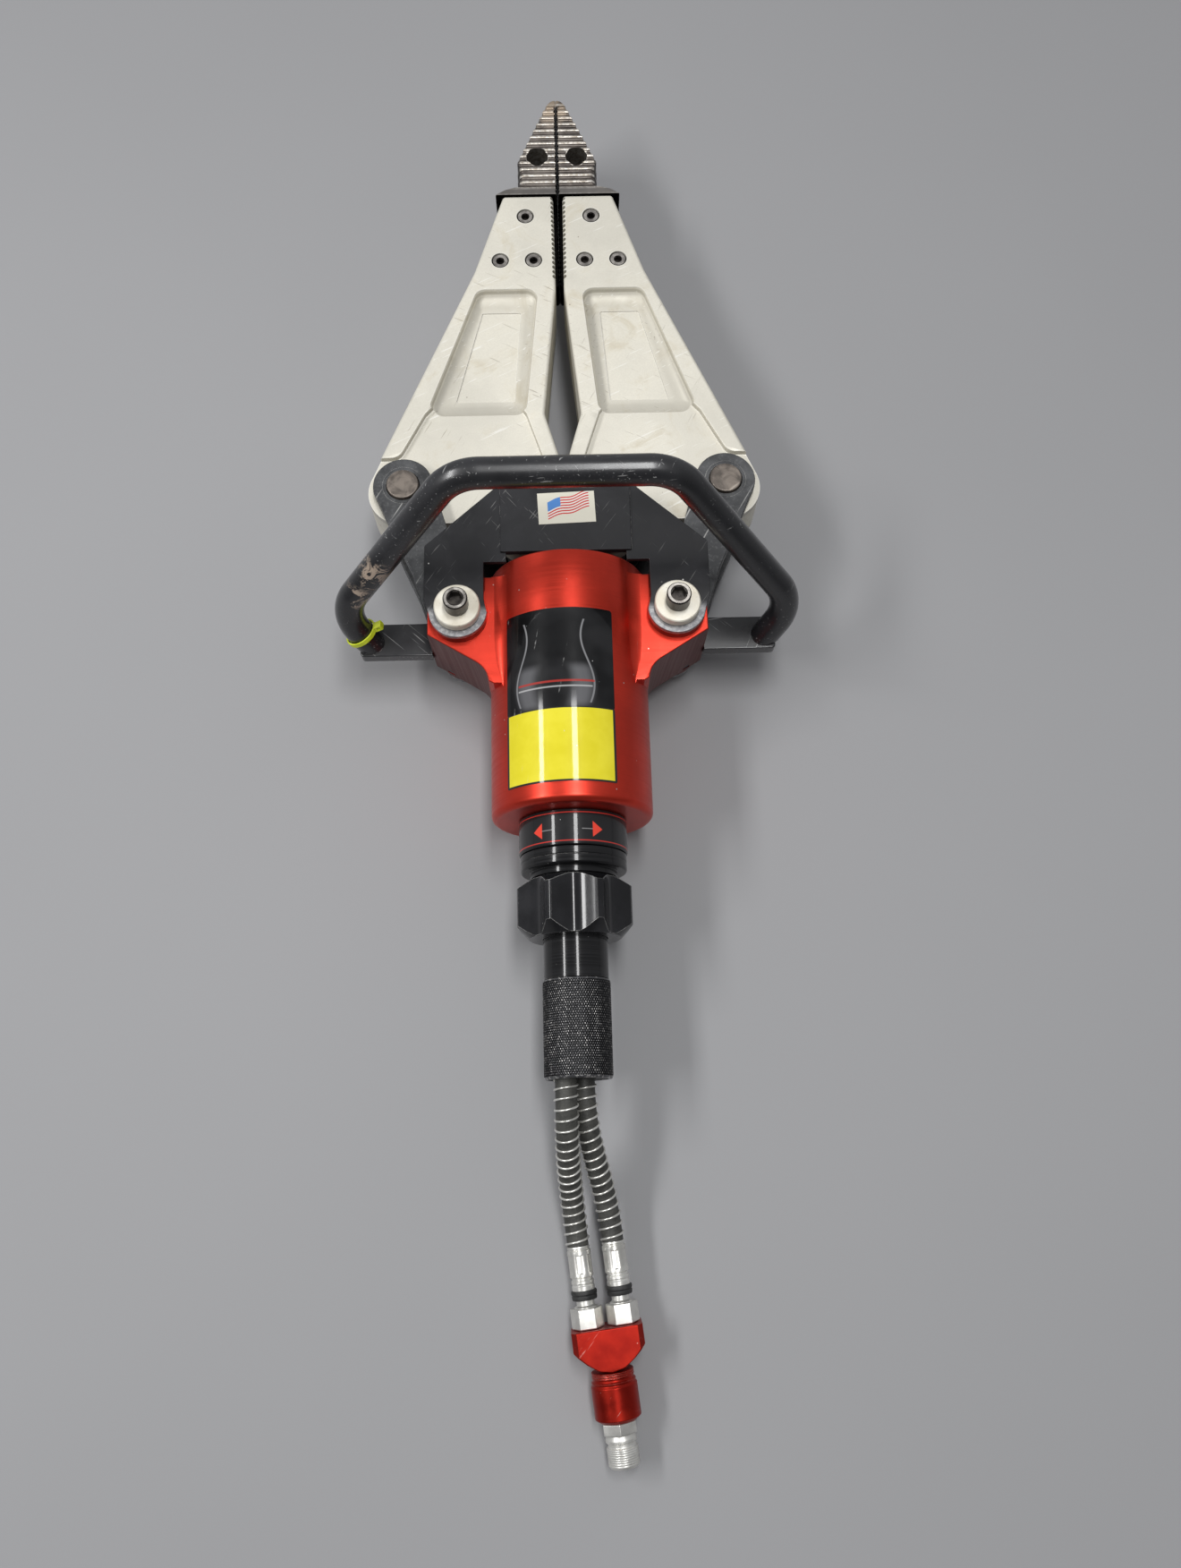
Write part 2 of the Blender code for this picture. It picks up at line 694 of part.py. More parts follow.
def link_outline(side):
    """A link plate about its body pivot: two eyes and a waisted web between them."""
    far = Vector((ARM_PIN_X - PIVOT_X, ARM_PIN_Y))
    heading = math.degrees(math.atan2(far.y, far.x))
    across = Vector((far.y, -far.x)).normalized()
    middle = far * LINK_WAIST_SHARE
    out = middle + across * (LINK_BODY_EYE_R - LINK_WAIST_OUT * 0.35)
    inside = middle - across * (LINK_BODY_EYE_R - LINK_WAIST_IN * 0.5)
    points = arc((0, 0), LINK_BODY_EYE_R, heading + 95, heading + 265, 9)
    points.append(tuple(out))
    points += arc(tuple(far), LINK_ARM_EYE_R, heading - 85, heading + 85, 9)
    points.append(tuple(inside))
    return mirrored(points, side)


def make_links():
    """Each link is two plates, above and below, joined by the arm's pin. They turn on the bolt's shoulder."""
    for name, side in SIDES.items():
        pivot = empty("link_pivot_" + name, (side * PIVOT_X, 0, 0), TOOL)
        far = (side * (ARM_PIN_X - PIVOT_X), ARM_PIN_Y)
        holes = [
            circle((0, 0), SHOULDER_R + SEAT_GAP),
            circle(far, ARM_PIN_R + SEAT_GAP, 24),
        ]
        outlines = [link_outline(side), *holes]
        flat("link_upper_" + name, outlines, LINK_LOW_Z, LINK_HIGH_Z, LINK_STEEL, parent=pivot)
        flat("link_lower_" + name, outlines, -LINK_HIGH_Z, -LINK_LOW_Z, LINK_STEEL, parent=pivot)
        reach = LINK_HIGH_Z + ARM_PIN_PROUD
        turned(
            "link_pin_" + name,
            [
                (0, reach),
                (ARM_PIN_R - 0.001, reach),
                (ARM_PIN_R, reach - 0.001),
                (ARM_PIN_R, 0.001 - reach),
                (ARM_PIN_R - 0.001, -reach),
                (0, -reach),
            ],
            DARK_STEEL,
            (*far, 0),
            steps=24,
            parent=pivot,
        )


def make_pivots():
    """Shoulder bolt with a socket head, a thick washer on top and a flanged hex nut below, on each side."""
    head_top = HEAD_LOW_Z + HEAD_HEIGHT
    washer = ring(WASHER_LOW_Z, WASHER_HIGH_Z, BOLT_R + SEAT_GAP, WASHER_R)
    for name, side in SIDES.items():
        at = (side * PIVOT_X, 0, 0)
        turned(
            "pivot_bolt_" + name,
            [
                (0, head_top - SOCKET_DEPTH),
                (SOCKET_R, head_top - SOCKET_DEPTH),
                (SOCKET_R, head_top),
                (HEAD_R - 0.001, head_top),
                (HEAD_R, head_top - 0.001),
                (HEAD_R, HEAD_LOW_Z),
                (BOLT_R, HEAD_LOW_Z),
                (BOLT_R, COVER_TOP_Z),
                (SHOULDER_R, COVER_TOP_Z - SEAT_GAP),
                (SHOULDER_R, -COVER_TOP_Z + SEAT_GAP),
                (BOLT_R, -COVER_TOP_Z),
                (BOLT_R, -REST_DEPTH + SEAT_GAP),
                (0, -REST_DEPTH + SEAT_GAP),
            ],
            DARK_STEEL,
            at,
            steps=20,
        )
        turned("pivot_washer_" + name, washer, BRIGHT_STEEL, at, steps=20, closed=True)
        nut = turned(
            "pivot_nut_" + name,
            ring(-WASHER_HIGH_Z, -WASHER_LOW_Z, BOLT_R + SEAT_GAP, WASHER_R),
            BRIGHT_STEEL,
            at,
            steps=20,
            closed=True,
        )
        hexagon = flat(
            "pivot_nut_hexagon_" + name,
            [circle((0, 0), NUT_R, 6), circle((0, 0), BOLT_R + SEAT_GAP, 20)],
            -REST_DEPTH,
            -WASHER_HIGH_Z + SEAT_GAP,
            None,
            at,
        )
        join(nut, hexagon)


def cover_outline():
    """A front cover's edge, round both pivot eyes and the notches beside the cylinder."""
    edge_x = PIVOT_X + COVER_EDGE_OUT
    neck_x = PIVOT_X - COVER_NECK_IN
    notch_x = math.sqrt(CYLINDER_R**2 - COVER_LOW_Z**2) + COVER_NOTCH_GAP
    half = [
        (COVER_BLOCK_HALF_WIDTH + COVER_NOTCH_GAP, COVER_FRONT_Y),
        (edge_x, COVER_SHOULDER_Y),
        (edge_x, COVER_EYE_R * 0.4),
        *arc((PIVOT_X, 0), COVER_EYE_R, -5, -175, 8),
        (neck_x, COVER_EYE_R * 0.4),
        (neck_x, COVER_NOTCH_Y),
        (notch_x, COVER_NOTCH_Y),
        (notch_x, COVER_REAR_Y),
    ]
    return half + mirrored(reversed(half), -1)


def make_cover(name, facing):
    """A folded plate over the mechanism, with a thicker welded block in the middle and a lip at each side."""

    def span(low, high):
        return (low, high) if facing > 0 else (-high, -low)

    inset = SEAT_GAP
    block = [
        (-COVER_BLOCK_HALF_WIDTH, COVER_REAR_Y - inset),
        (COVER_BLOCK_HALF_WIDTH, COVER_REAR_Y - inset),
        (COVER_BLOCK_HALF_WIDTH, COVER_FRONT_Y - inset),
        (-COVER_BLOCK_HALF_WIDTH, COVER_FRONT_Y - inset),
    ]
    middle = COVER_TOP_Z - COVER_THICKNESS / 2
    bore = SHOULDER_R + SEAT_GAP
    holes = [circle((side * PIVOT_X, 0), bore, 16) for side in SIDES.values()]
    cover = flat(name, [cover_outline(), *holes], *span(COVER_LOW_Z, COVER_TOP_Z), BLACK_PAINT)
    raised = flat(name + "_block", [block], *span(middle, COVER_TOP_Z + COVER_BLOCK_PROUD), None)
    join(cover, raised)
    edge_x = PIVOT_X + COVER_EDGE_OUT - inset
    inner_x = edge_x - COVER_FLANGE_THICKNESS
    flange = [
        (inner_x, COVER_EYE_R * 0.6),
        (edge_x, COVER_EYE_R * 0.6),
        (edge_x, COVER_SHOULDER_Y - inset),
        (inner_x, COVER_SHOULDER_Y - inset),
    ]
    for side_name, side in SIDES.items():
        lip = flat(
            f"{name}_lip_{side_name}",
            [mirrored(flange, side)],
            *span(COVER_LOW_Z - COVER_FLANGE_DROP, middle),
            None,
        )
        join(cover, lip)


def arm_outline():
    """The right arm's edge in the tool's frame, anticlockwise from its inner front corner."""
    pin = (ARM_PIN_X, ARM_PIN_Y)
    lug = (CROSS_PIN_X, CROSS_PIN_Y)
    return [
        (ARM_GAP, ARM_FRONT_Y),
        (ARM_GAP, POCKET_FRONT_Y),
        (ARM_WAIST_X, ARM_WAIST_Y),
        (ARM_KNEE_X + ARM_KNEE_CHAMFER_X, ARM_KNEE_Y + ARM_KNEE_CHAMFER_Y),
        (ARM_KNEE_X, ARM_KNEE_Y),
        (ARM_KNEE_X + 2 * RUNNING_GAP, CROSS_PIN_Y + LUG_NECK_RISE),
        *arc(lug, LUG_EYE_R, 150, 290, 7),
        (CROSS_PIN_X + LUG_NECK_OUT, ARM_PIN_Y - ARM_CORNER_R + 2 * RUNNING_GAP),
        *arc(pin, ARM_CORNER_R, -90, 22, 8),
        (ARM_SIDE_X, ARM_SIDE_Y),
        (ARM_KINK_X, ARM_KINK_Y),
        (ARM_FRONT_X, ARM_FRONT_Y),
    ]


def inset_line(start, end, distance):
    """The line from start to end moved sideways, to the left of its heading."""
    heading = (Vector(end) - Vector(start)).normalized()
    shift = Vector((-heading.y, heading.x)) * distance
    return tuple(Vector(start) + shift), tuple(Vector(end) + shift)


def recess_outline():
    """The lower face of an arm between its two rims, open towards the pin and the crosshead."""
    side_low, side_high = inset_line((ARM_SIDE_X, ARM_SIDE_Y), (ARM_KINK_X, ARM_KINK_Y), RIM_WIDTH * 0.85)
    share = (POCKET_REAR_Y - side_low[1]) / (side_high[1] - side_low[1])
    rim_x = side_low[0] + (side_high[0] - side_low[0]) * share
    outside_x = ARM_SIDE_X + ARM_CORNER_R
    rear_y = CROSS_PIN_Y - LUG_EYE_R - CUT_PAST
    lug_y = CROSS_PIN_Y + RECESS_LUG_RISE
    return [
        (ARM_KNEE_X - CUT_PAST, rear_y),
        (outside_x, rear_y),
        (outside_x, RIM_END_Y),
        (side_low[0] + RIM_WIDTH / 5, RIM_END_Y + RIM_WIDTH / 15),
        (rim_x, POCKET_REAR_Y),
        (ARM_WAIST_X + RIM_WIDTH, POCKET_REAR_Y),
        (ARM_KNEE_X + RIM_WIDTH, ARM_KNEE_Y - RIM_WIDTH / 3),
        (ARM_KNEE_X + RIM_WIDTH * 0.9, lug_y),
        (ARM_KNEE_X - CUT_PAST, lug_y),
    ]


def pocket_mesh(name, side, facing):
    """The pocket's cutter: a funnel with rounded corners that narrows from the arm's face to its floor."""
    corners = (
        (POCKET_FRONT_X[0], POCKET_FRONT_Y),
        (POCKET_REAR_X[0], POCKET_REAR_Y),
        (POCKET_REAR_X[1], POCKET_REAR_Y),
        (POCKET_FRONT_X[1], POCKET_FRONT_Y),
    )
    middle = sum((Vector(corner) for corner in corners), Vector((0, 0))) / len(corners)
    top_z = facing * (ARM_HALF_THICKNESS + POCKET_DEPTH / 4)
    floor_z = facing * (ARM_HALF_THICKNESS - POCKET_DEPTH)
    data = bpy.data.meshes.new(name)
    work = bmesh.new()
    layers = []
    for height, inset in ((top_z, 0.0), (facing * (ARM_HALF_THICKNESS - POCKET_DEPTH / 2), 0.2), (floor_z, 1.0)):
        layer = []
        for corner in corners:
            inward = middle - Vector(corner)
            inward = Vector((math.copysign(1, inward.x), math.copysign(1, inward.y))) * POCKET_SLOPE * inset
            spot = Vector(corner) + inward
            layer.append(work.verts.new((side * spot.x - side * ARM_PIN_X, spot.y - ARM_PIN_Y, height)))
        layers.append(layer)
    work.faces.new(layers[0])
    work.faces.new(reversed(layers[-1]))
    for upper, lower in zip(layers, layers[1:]):
        for index in range(len(corners)):
            after = (index + 1) % len(corners)
            work.faces.new((upper[index], lower[index], lower[after], upper[after]))
    edges = [edge for edge in work.edges if abs(edge.verts[0].co.z - edge.verts[1].co.z) > SEAT_GAP]
    bmesh.ops.bevel(work, geom=edges, offset=POCKET_CORNER_R, segments=2, affect="EDGES", profile=0.5)
    bmesh.ops.recalc_face_normals(work, faces=work.faces)
    work.to_mesh(data)
    work.free()
    return data


def about_pin(points, side):
    """Tool-frame points as seen from an arm's own pin."""
    return [(side * (x - ARM_PIN_X), y - ARM_PIN_Y) for x, y in points]


def make_arm(name, side, pivot):
    """A forged arm: full thickness in front, recessed at its pin, and a thin slotted lug at the crosshead."""
    arm = flat(
        "arm_" + name,
        [about_pin(arm_outline(), side)],
        -ARM_HALF_THICKNESS,
        ARM_HALF_THICKNESS,
        ARM_ALUMINIUM,
        parent=pivot,
    )
    pin = Vector((CROSS_PIN_X, CROSS_PIN_Y))
    slot_end = pin + SLOT
    yoke_r = CROSS_EYE_R + 5 * RUNNING_GAP
    relief = [
        (-ARM_KNEE_X, pin.y - LUG_EYE_R - yoke_r),
        (slot_end.x, pin.y - LUG_EYE_R - yoke_r),
        *arc(tuple(slot_end), yoke_r, -90, 90, 6),
        (-ARM_KNEE_X, slot_end.y + yoke_r),
    ]
    over = ARM_HALF_THICKNESS + CUT_PAST
    for facing, tag in ((1, "upper"), (-1, "lower")):
        for kind, outline, depth in (
            ("recess", recess_outline(), ARM_INNER_HALF),
            ("relief", relief, LUG_HALF_THICKNESS),
        ):
            low, high = sorted((facing * depth, facing * over))
            cut(arm, flat(f"arm_{kind}_{tag}_{name}", [about_pin(outline, side)], low, high, None, parent=pivot))
        pocket = add(f"arm_pocket_{tag}_{name}", pocket_mesh(f"pocket_{tag}_{name}", side, facing), None, parent=pivot)
        cut(arm, pocket)
    slot = capsule(tuple(pin), tuple(slot_end), SLOT_HALF_WIDTH)
    tongue = tongue_outline(SEAT_GAP)
    tongue_z = TONGUE_HALF_THICKNESS + SEAT_GAP
    cut(
        arm,
        flat("arm_slot_" + name, [about_pin(slot, side)], -over, over, None, parent=pivot),
        flat("arm_mortise_" + name, [about_pin(tongue, side)], -tongue_z, tongue_z, None, parent=pivot),
        turned("arm_bore_" + name, disc(-over, over, ARM_PIN_R + BUSH_WALL + SEAT_GAP), None, steps=24, parent=pivot),
    )
    for index, spot in enumerate(TIP_SCREWS):
        at = (*about_pin([spot], side)[0], 0)
        cut(arm, turned(f"arm_screw_hole_{index}_{name}", screw_space(SEAT_GAP), None, at, steps=12, parent=pivot))
    turned(
        "arm_bush_" + name,
        ring(-ARM_INNER_HALF, ARM_INNER_HALF, ARM_PIN_R + SEAT_GAP, ARM_PIN_R + BUSH_WALL),
        BRONZE,
        steps=24,
        closed=True,
        parent=pivot,
    )


def tongue_outline(gap=0.0):
    """The tip's tongue in the right arm. A gap above zero gives the mortise it slides into."""
    rear = ARM_FRONT_Y - TONGUE_LENGTH - gap
    inner = -ARM_GAP if gap else TIP_GAP + RIB_DEPTH
    front = ARM_FRONT_Y + 4 * gap if gap else ARM_FRONT_Y + 0.004
    return [
        (inner, rear),
        (TONGUE_REACH + gap, rear),
        (TONGUE_REACH + gap, rear + 0.022),
        (ARM_FRONT_X - 0.007 + gap, ARM_FRONT_Y - 0.002),
        (ARM_FRONT_X - 0.007 + gap, front),
        (inner, front),
    ]


def teeth(start, end, inner, depth):
    """A sawtooth edge along Y, from start to end, with whole teeth."""
    count = max(2, round((end - start) / RIB_PITCH))
    pitch = (end - start) / count
    points = []
    for index in range(count):
        points.append((inner + depth, start + pitch * index))
        points.append((inner, start + pitch * (index + 0.5)))
    points.append((inner + depth, end))
    return points


def make_tip(name, side, pivot):
    """A hardened tip: a ribbed wedge with a hole, and a toothed tongue that is screwed into the arm."""
    base_y = ARM_FRONT_Y + SEAT_GAP
    end_y = TIP_FRONT_Y
    nose = TIP_END_X * 0.8
    outline = [
        (TIP_BASE_X, base_y),
        (TIP_BASE_X, base_y + TIP_BASE_LENGTH * 0.25),
        (TIP_BASE_X * 0.78, base_y + TIP_BASE_LENGTH),
        (TIP_SHOULDER_X, base_y + TIP_BASE_LENGTH * 1.5),
        (TIP_SHOULDER_X, base_y + TIP_SHOULDER_LENGTH),
        (TIP_END_X, end_y - nose),
        *arc((0, end_y - nose), nose, 30, 75, 3),
        (TIP_GAP, end_y),
        (TIP_GAP, end_y - nose),
        *reversed(teeth(base_y, end_y - nose * 2, TIP_GAP, RIB_DEPTH)),
    ]
    tip = flat(
        "tip_" + name,
        [about_pin(outline, side)],
        -ARM_HALF_THICKNESS,
        ARM_HALF_THICKNESS,
        TIP_STEEL,
        parent=pivot,
    )
    count = round((TIP_LENGTH - TIP_BASE_LENGTH / 2) / RIB_PITCH)
    half = []
    for index in range(count):
        for share, drop in ((0.0, RIB_DEPTH), (0.35, 0.0), (0.65, 0.0)):
            along = (index + share) / count
            height = ARM_HALF_THICKNESS + (TIP_END_HALF_THICKNESS - ARM_HALF_THICKNESS) * along
            half.append((base_y + TIP_BASE_LENGTH / 2 + (TIP_LENGTH - TIP_BASE_LENGTH / 2) * along, height - drop))
    profile = [(base_y - RIB_DEPTH, ARM_HALF_THICKNESS), *half, (end_y + RIB_DEPTH, TIP_END_HALF_THICKNESS)]
    section = [(height, along - ARM_PIN_Y) for along, height in profile]
    section += [(-height, along - ARM_PIN_Y) for along, height in reversed(profile)]
    ribs = flat(
        "tip_ribs_" + name,
        [section],
        -ARM_PIN_X - RIB_DEPTH,
        TIP_BASE_X - ARM_PIN_X + CUT_PAST,
        None,
        rotation=(0, side * math.pi / 2, 0),
        parent=pivot,
    )
    boolean(tip, ribs, "INTERSECT")
    outline = tongue_outline()
    toothed = [*outline[1:5], *reversed(teeth(outline[0][1], outline[-1][1], TIP_GAP, RIB_DEPTH))]
    tongue = flat(
        "tip_tongue_" + name,
        [about_pin(toothed, side)],
        -TONGUE_HALF_THICKNESS,
        TONGUE_HALF_THICKNESS,
        None,
        parent=pivot,
    )
    join(tip, tongue)
    at = (*about_pin([(TIP_HOLE_X, base_y + TIP_HOLE_Y)], side)[0], 0)
    over = ARM_HALF_THICKNESS + CUT_PAST
    cut(tip, turned("tip_eye_" + name, disc(-over, over, TIP_HOLE_R), None, at, steps=24, parent=pivot))
    for index, spot in enumerate(TIP_SCREWS):
        at = (*about_pin([spot], side)[0], 0)
        cut(
            tip,
            turned(
                f"tip_screw_hole_{index}_{name}",
                disc(-over, over, SCREW_R + SEAT_GAP),
                None,
                at,
                steps=16,
                parent=pivot,
            ),
        )
        turned(f"tip_screw_{name}_{index + 1}", screw_shape(), DARK_STEEL, at, steps=12, parent=pivot)


def screw_shape():
    """A through screw with the same socket head on both faces of the arm."""
    top = ARM_HALF_THICKNESS - SCREW_SINK
    under = top - SCREW_HEAD_HEIGHT
    floor = top - SCREW_HEAD_HEIGHT / 2
    upper = [
        (0, floor),
        (SCREW_SOCKET_R, floor),
        (SCREW_SOCKET_R, top),
        (SCREW_HEAD_R, top),
        (SCREW_HEAD_R, under),
        (SCREW_R, under),
    ]
    return upper + [(radius, -height) for radius, height in reversed(upper)]


def screw_space(gap):
    """The counterbored hole for a through screw."""
    over = ARM_HALF_THICKNESS + CUT_PAST
    under = ARM_HALF_THICKNESS - SCREW_SINK - SCREW_HEAD_HEIGHT - gap
    upper = [(0, over), (SCREW_HEAD_R + gap, over), (SCREW_HEAD_R + gap, under), (SCREW_R + gap, under)]
    return upper + [(radius, -height) for radius, height in reversed(upper)]


def make_arms():
    for name, side in SIDES.items():
        pivot = empty("arm_pivot_" + name, (side * ARM_PIN_X, ARM_PIN_Y, 0), TOOL)
        make_arm(name, side, pivot)
        make_tip(name, side, pivot)


def rounded_path(corners, radius, steps):
    """An open path through the corners, each inner one replaced by an arc of this radius."""
    path = [corners[0]]
    for before, corner, after in zip(corners, corners[1:], corners[2:]):
        back = (before - corner).normalized()
        ahead = (after - corner).normalized()
        half = back.angle(ahead) / 2
        trim = radius / math.tan(half)
        centre = corner + (back + ahead).normalized() * radius / math.sin(half)
        start = corner + back * trim - centre
        sweep = math.pi - 2 * half
        normal = start.cross(corner + ahead * trim - centre).normalized()
        for step in range(steps + 1):
            path.append(centre + Matrix.Rotation(sweep * step / steps, 3, normal) @ start)
    path.append(corners[-1])
    return path


def tube_curve(points, radius, resolution):
    curve = bpy.data.curves.new("tube", "CURVE")
    curve.dimensions = "3D"
    curve.bevel_depth = radius
    curve.bevel_resolution = resolution
    curve.use_fill_caps = True
    spline = curve.splines.new("POLY")
    spline.points.add(len(points) - 1)
    for point, place in zip(spline.points, points):
        point.co = (*place, 1)
    return curve


def tube(name, points, radius, finish, resolution=3):
    return add(name, tube_curve(points, radius, resolution), finish)


def make_handle():
    """The bent carrying tube on two flat bars that stand out from the ears."""
    bar_top = -BAR_UNDER + BAR_THICKNESS
    foot_z = bar_top + SEAT_GAP
    bar_end = HANDLE_FOOT_X + BAR_END
    bar_middle = (BAR_FRONT_Y + BAR_REAR_Y) / 2
    for name, side in SIDES.items():
        start = PIVOT_X + EAR_REACH + SEAT_GAP
        outline = [
            (start, BAR_REAR_Y),
            (bar_end, BAR_REAR_Y),
            (bar_end, BAR_FRONT_Y),
            (start, BAR_FRONT_Y),
        ]
        flat("cross_bar_" + name, [mirrored(outline, side)], -BAR_UNDER, bar_top, BLACK_PAINT)

    def place(x, z):
        return Vector((x, bar_middle + (z - foot_z) * math.tan(HANDLE_LEAN), z))

    half = [place(HANDLE_TOP_X, HANDLE_TOP_Z), place(HANDLE_BEND_X, HANDLE_BEND_Z)]
    foot = Vector((HANDLE_FOOT_X, bar_middle, foot_z))
    corners = [foot, half[1], half[0]]
    corners = corners + [Vector((-corner.x, corner.y, corner.z)) for corner in reversed(corners)]
    sunk = foot - (half[1] - foot).normalized() * HANDLE_R
    path = rounded_path([sunk, *corners[1:-1], Vector((-sunk.x, sunk.y, sunk.z))], HANDLE_BEND_R, 5)
    handle = add("carry_handle", curve_mesh("carry_handle", tube_curve(path, HANDLE_R, 3)), BLACK_PAINT)
    below = [
        (-bar_end - HANDLE_R, BAR_REAR_Y - HANDLE_R),
        (bar_end + HANDLE_R, BAR_REAR_Y - HANDLE_R),
        (bar_end + HANDLE_R, BAR_FRONT_Y + HANDLE_R),
        (-bar_end - HANDLE_R, BAR_FRONT_Y + HANDLE_R),
    ]
    cut(handle, flat("handle_foot_plane", [below], foot_z - 2 * HANDLE_R, foot_z, None))
    make_cable_tie(corners[-1], corners[-2])


def make_cable_tie(foot, bend):
    """A tie round the left foot of the handle, square to the tube, with its head towards the middle."""
    up = (bend - foot).normalized()
    across = (Vector((1, 0, 0)) - up * up.x).normalized()
    at = foot + up * TIE_HEIGHT
    facing = Matrix((across, up.cross(across), up)).transposed().to_euler()
    inner = HANDLE_R + 2 * SEAT_GAP
    outer = inner + TIE_THICKNESS
    low, high = -TIE_WIDTH / 2, TIE_WIDTH / 2
    tie = turned("cable_tie", ring(low, high, inner, outer), TIE_PLASTIC, at, facing, steps=20, closed=True)
    middle = (inner + outer) / 2
    head = flat(
        "cable_tie_head",
        [
            [
                (middle, -TIE_HEAD / 2),
                (middle + TIE_HEAD, -TIE_HEAD / 2),
                (middle + TIE_HEAD, TIE_HEAD / 2),
                (middle, TIE_HEAD / 2),
            ]
        ],
        low * 1.3,
        high * 1.3,
        None,
        at=at,
        rotation=facing,
    )
    join(tie, head)


def knob_outline():
    """Ridges with hollow flutes between them, all round the knob."""
    points = []
    step = 2 * math.pi / KNOB_RIDGES
    ridge = KNOB_RIDGE_WIDTH / KNOB_R / 2
    for index in range(KNOB_RIDGES):
        start = math.pi / 2 + step * (index + 0.5)
        for share in (0.0, 0.2, 0.5, 0.8, 1.0):
            angle = start + ridge + (step - 2 * ridge) * share
            radius = KNOB_R - (KNOB_FLUTE_DEPTH + KNOB_R * (1 - math.cos(step / 2)) * 0.5) * math.sin(math.pi * share)
            points.append((radius * math.cos(angle), radius * math.sin(angle)))
    return points


def make_control():
    """The rotary control valve behind the cylinder, the star knob, and the tube grip that the hoses run through."""
    turned(
        "valve_body",
        [
            (0, VALVE_FRONT_Y),
            (VALVE_R, VALVE_FRONT_Y),
            (VALVE_R, VALVE_REAR_Y),
            (CAVITY_R, VALVE_REAR_Y),
            (CAVITY_R, VALVE_REAR_Y + CAVITY_DEPTH),
            (0, VALVE_REAR_Y + CAVITY_DEPTH),
        ],
        BLACK_ANODISED,
        rotation=ALONG_Y,
    )
    flange_rear = FLANGE_FRONT_Y - FLANGE_LENGTH
    turned(
        "valve_flange",
        [
            (CAVITY_R, FLANGE_FRONT_Y),
            (FLANGE_R, FLANGE_FRONT_Y),
            (FLANGE_R, flange_rear + 0.002),
            (FLANGE_R - 0.002, flange_rear),
            (NECK_R, flange_rear),
            (NECK_R, NECK_REAR_Y),
            (CAVITY_R, NECK_REAR_Y),
        ],
        BLACK_ANODISED,
        rotation=ALONG_Y,
        closed=True,
    )
    tube_inner = TUBE_R + RUNNING_GAP
    spool_outer = tube_inner + SPOOL_WALL
    spool_front = TUBE_FRONT_Y - 2 * RUNNING_GAP
    knob_face = KNOB_FRONT_Y - SEAT_GAP
    turned(
        "valve_spool",
        ring(KNOB_FRONT_Y, spool_front, tube_inner, spool_outer),
        BRIGHT_STEEL,
        rotation=ALONG_Y,
        steps=20,
        closed=True,
    )
    knob = flat(
        "star_knob",
        [knob_outline(), circle((0, 0), tube_inner, SEGMENTS)],
        knob_face - KNOB_LENGTH,
        knob_face,
        BLACK_ANODISED,
        rotation=ALONG_Y,
    )
    chamfer = turned(
        "knob_chamfer",
        [
            (0, knob_face),
            (KNOB_R - 0.003, knob_face),
            (KNOB_R, knob_face - 0.004),
            (KNOB_R, knob_face - KNOB_LENGTH + 0.005),
            (KNOB_R - 0.006, knob_face - KNOB_LENGTH),
            (0, knob_face - KNOB_LENGTH),
        ],
        None,
        rotation=ALONG_Y,
        steps=42,
    )
    boolean(knob, chamfer, "INTERSECT")
    coil_r = (spool_outer + CAVITY_R) / 2
    coil_front = VALVE_REAR_Y + CAVITY_DEPTH / 2
    coil_length = coil_front - NECK_REAR_Y - 2 * SPRING_WIRE_R - SEAT_GAP
    coil = []
    steps = SMALL_SEGMENTS * SPRING_TURNS
    for step in range(steps + 1):
        angle = 2 * math.pi * SPRING_TURNS * step / steps
        along = coil_front - coil_length * step / steps
        coil.append((coil_r * math.cos(angle), along, coil_r * math.sin(angle)))
    tube("return_spring", coil, SPRING_WIRE_R, BRIGHT_STEEL, resolution=0)

    grip_bore = GRIP_R - GRIP_WALL
    step_r = grip_bore - SEAT_GAP
    grip_front = GRIP_FRONT_Y - SEAT_GAP
    plate_front = GRIP_REAR_Y + PLATE_THICKNESS
    turned(
        "grip_tube",
        [
            (TUBE_BORE_R, TUBE_FRONT_Y),
            (TUBE_R, TUBE_FRONT_Y),
            (TUBE_R, GRIP_FRONT_Y),
            (step_r, GRIP_FRONT_Y),
            (step_r, plate_front + SEAT_GAP),
            (TUBE_BORE_R, plate_front + SEAT_GAP),
        ],
        BLACK_ANODISED,
        rotation=ALONG_Y,
        closed=True,
    )
    turned(
        "knurled_grip",
        [
            (grip_bore, grip_front),
            (GRIP_R, grip_front),
            (GRIP_R, GRIP_REAR_Y),
            (grip_bore, GRIP_REAR_Y),
        ],
        BLACK_ANODISED,
        rotation=ALONG_Y,
        closed=True,
    )
    holes = [circle((x, -z), HOSE_R + SEAT_GAP, 20) for x, z in HOSE_EXITS.values()]
    flat(
        "hose_plate",
        [circle((0, 0), step_r, SEGMENTS), *holes],
        GRIP_REAR_Y + SEAT_GAP,
        plate_front,
        RUBBER,
        rotation=ALONG_Y,
    )


HOSE_EXITS = {"left": (-0.0088, 0.0058), "right": (0.0036, -0.0062)}


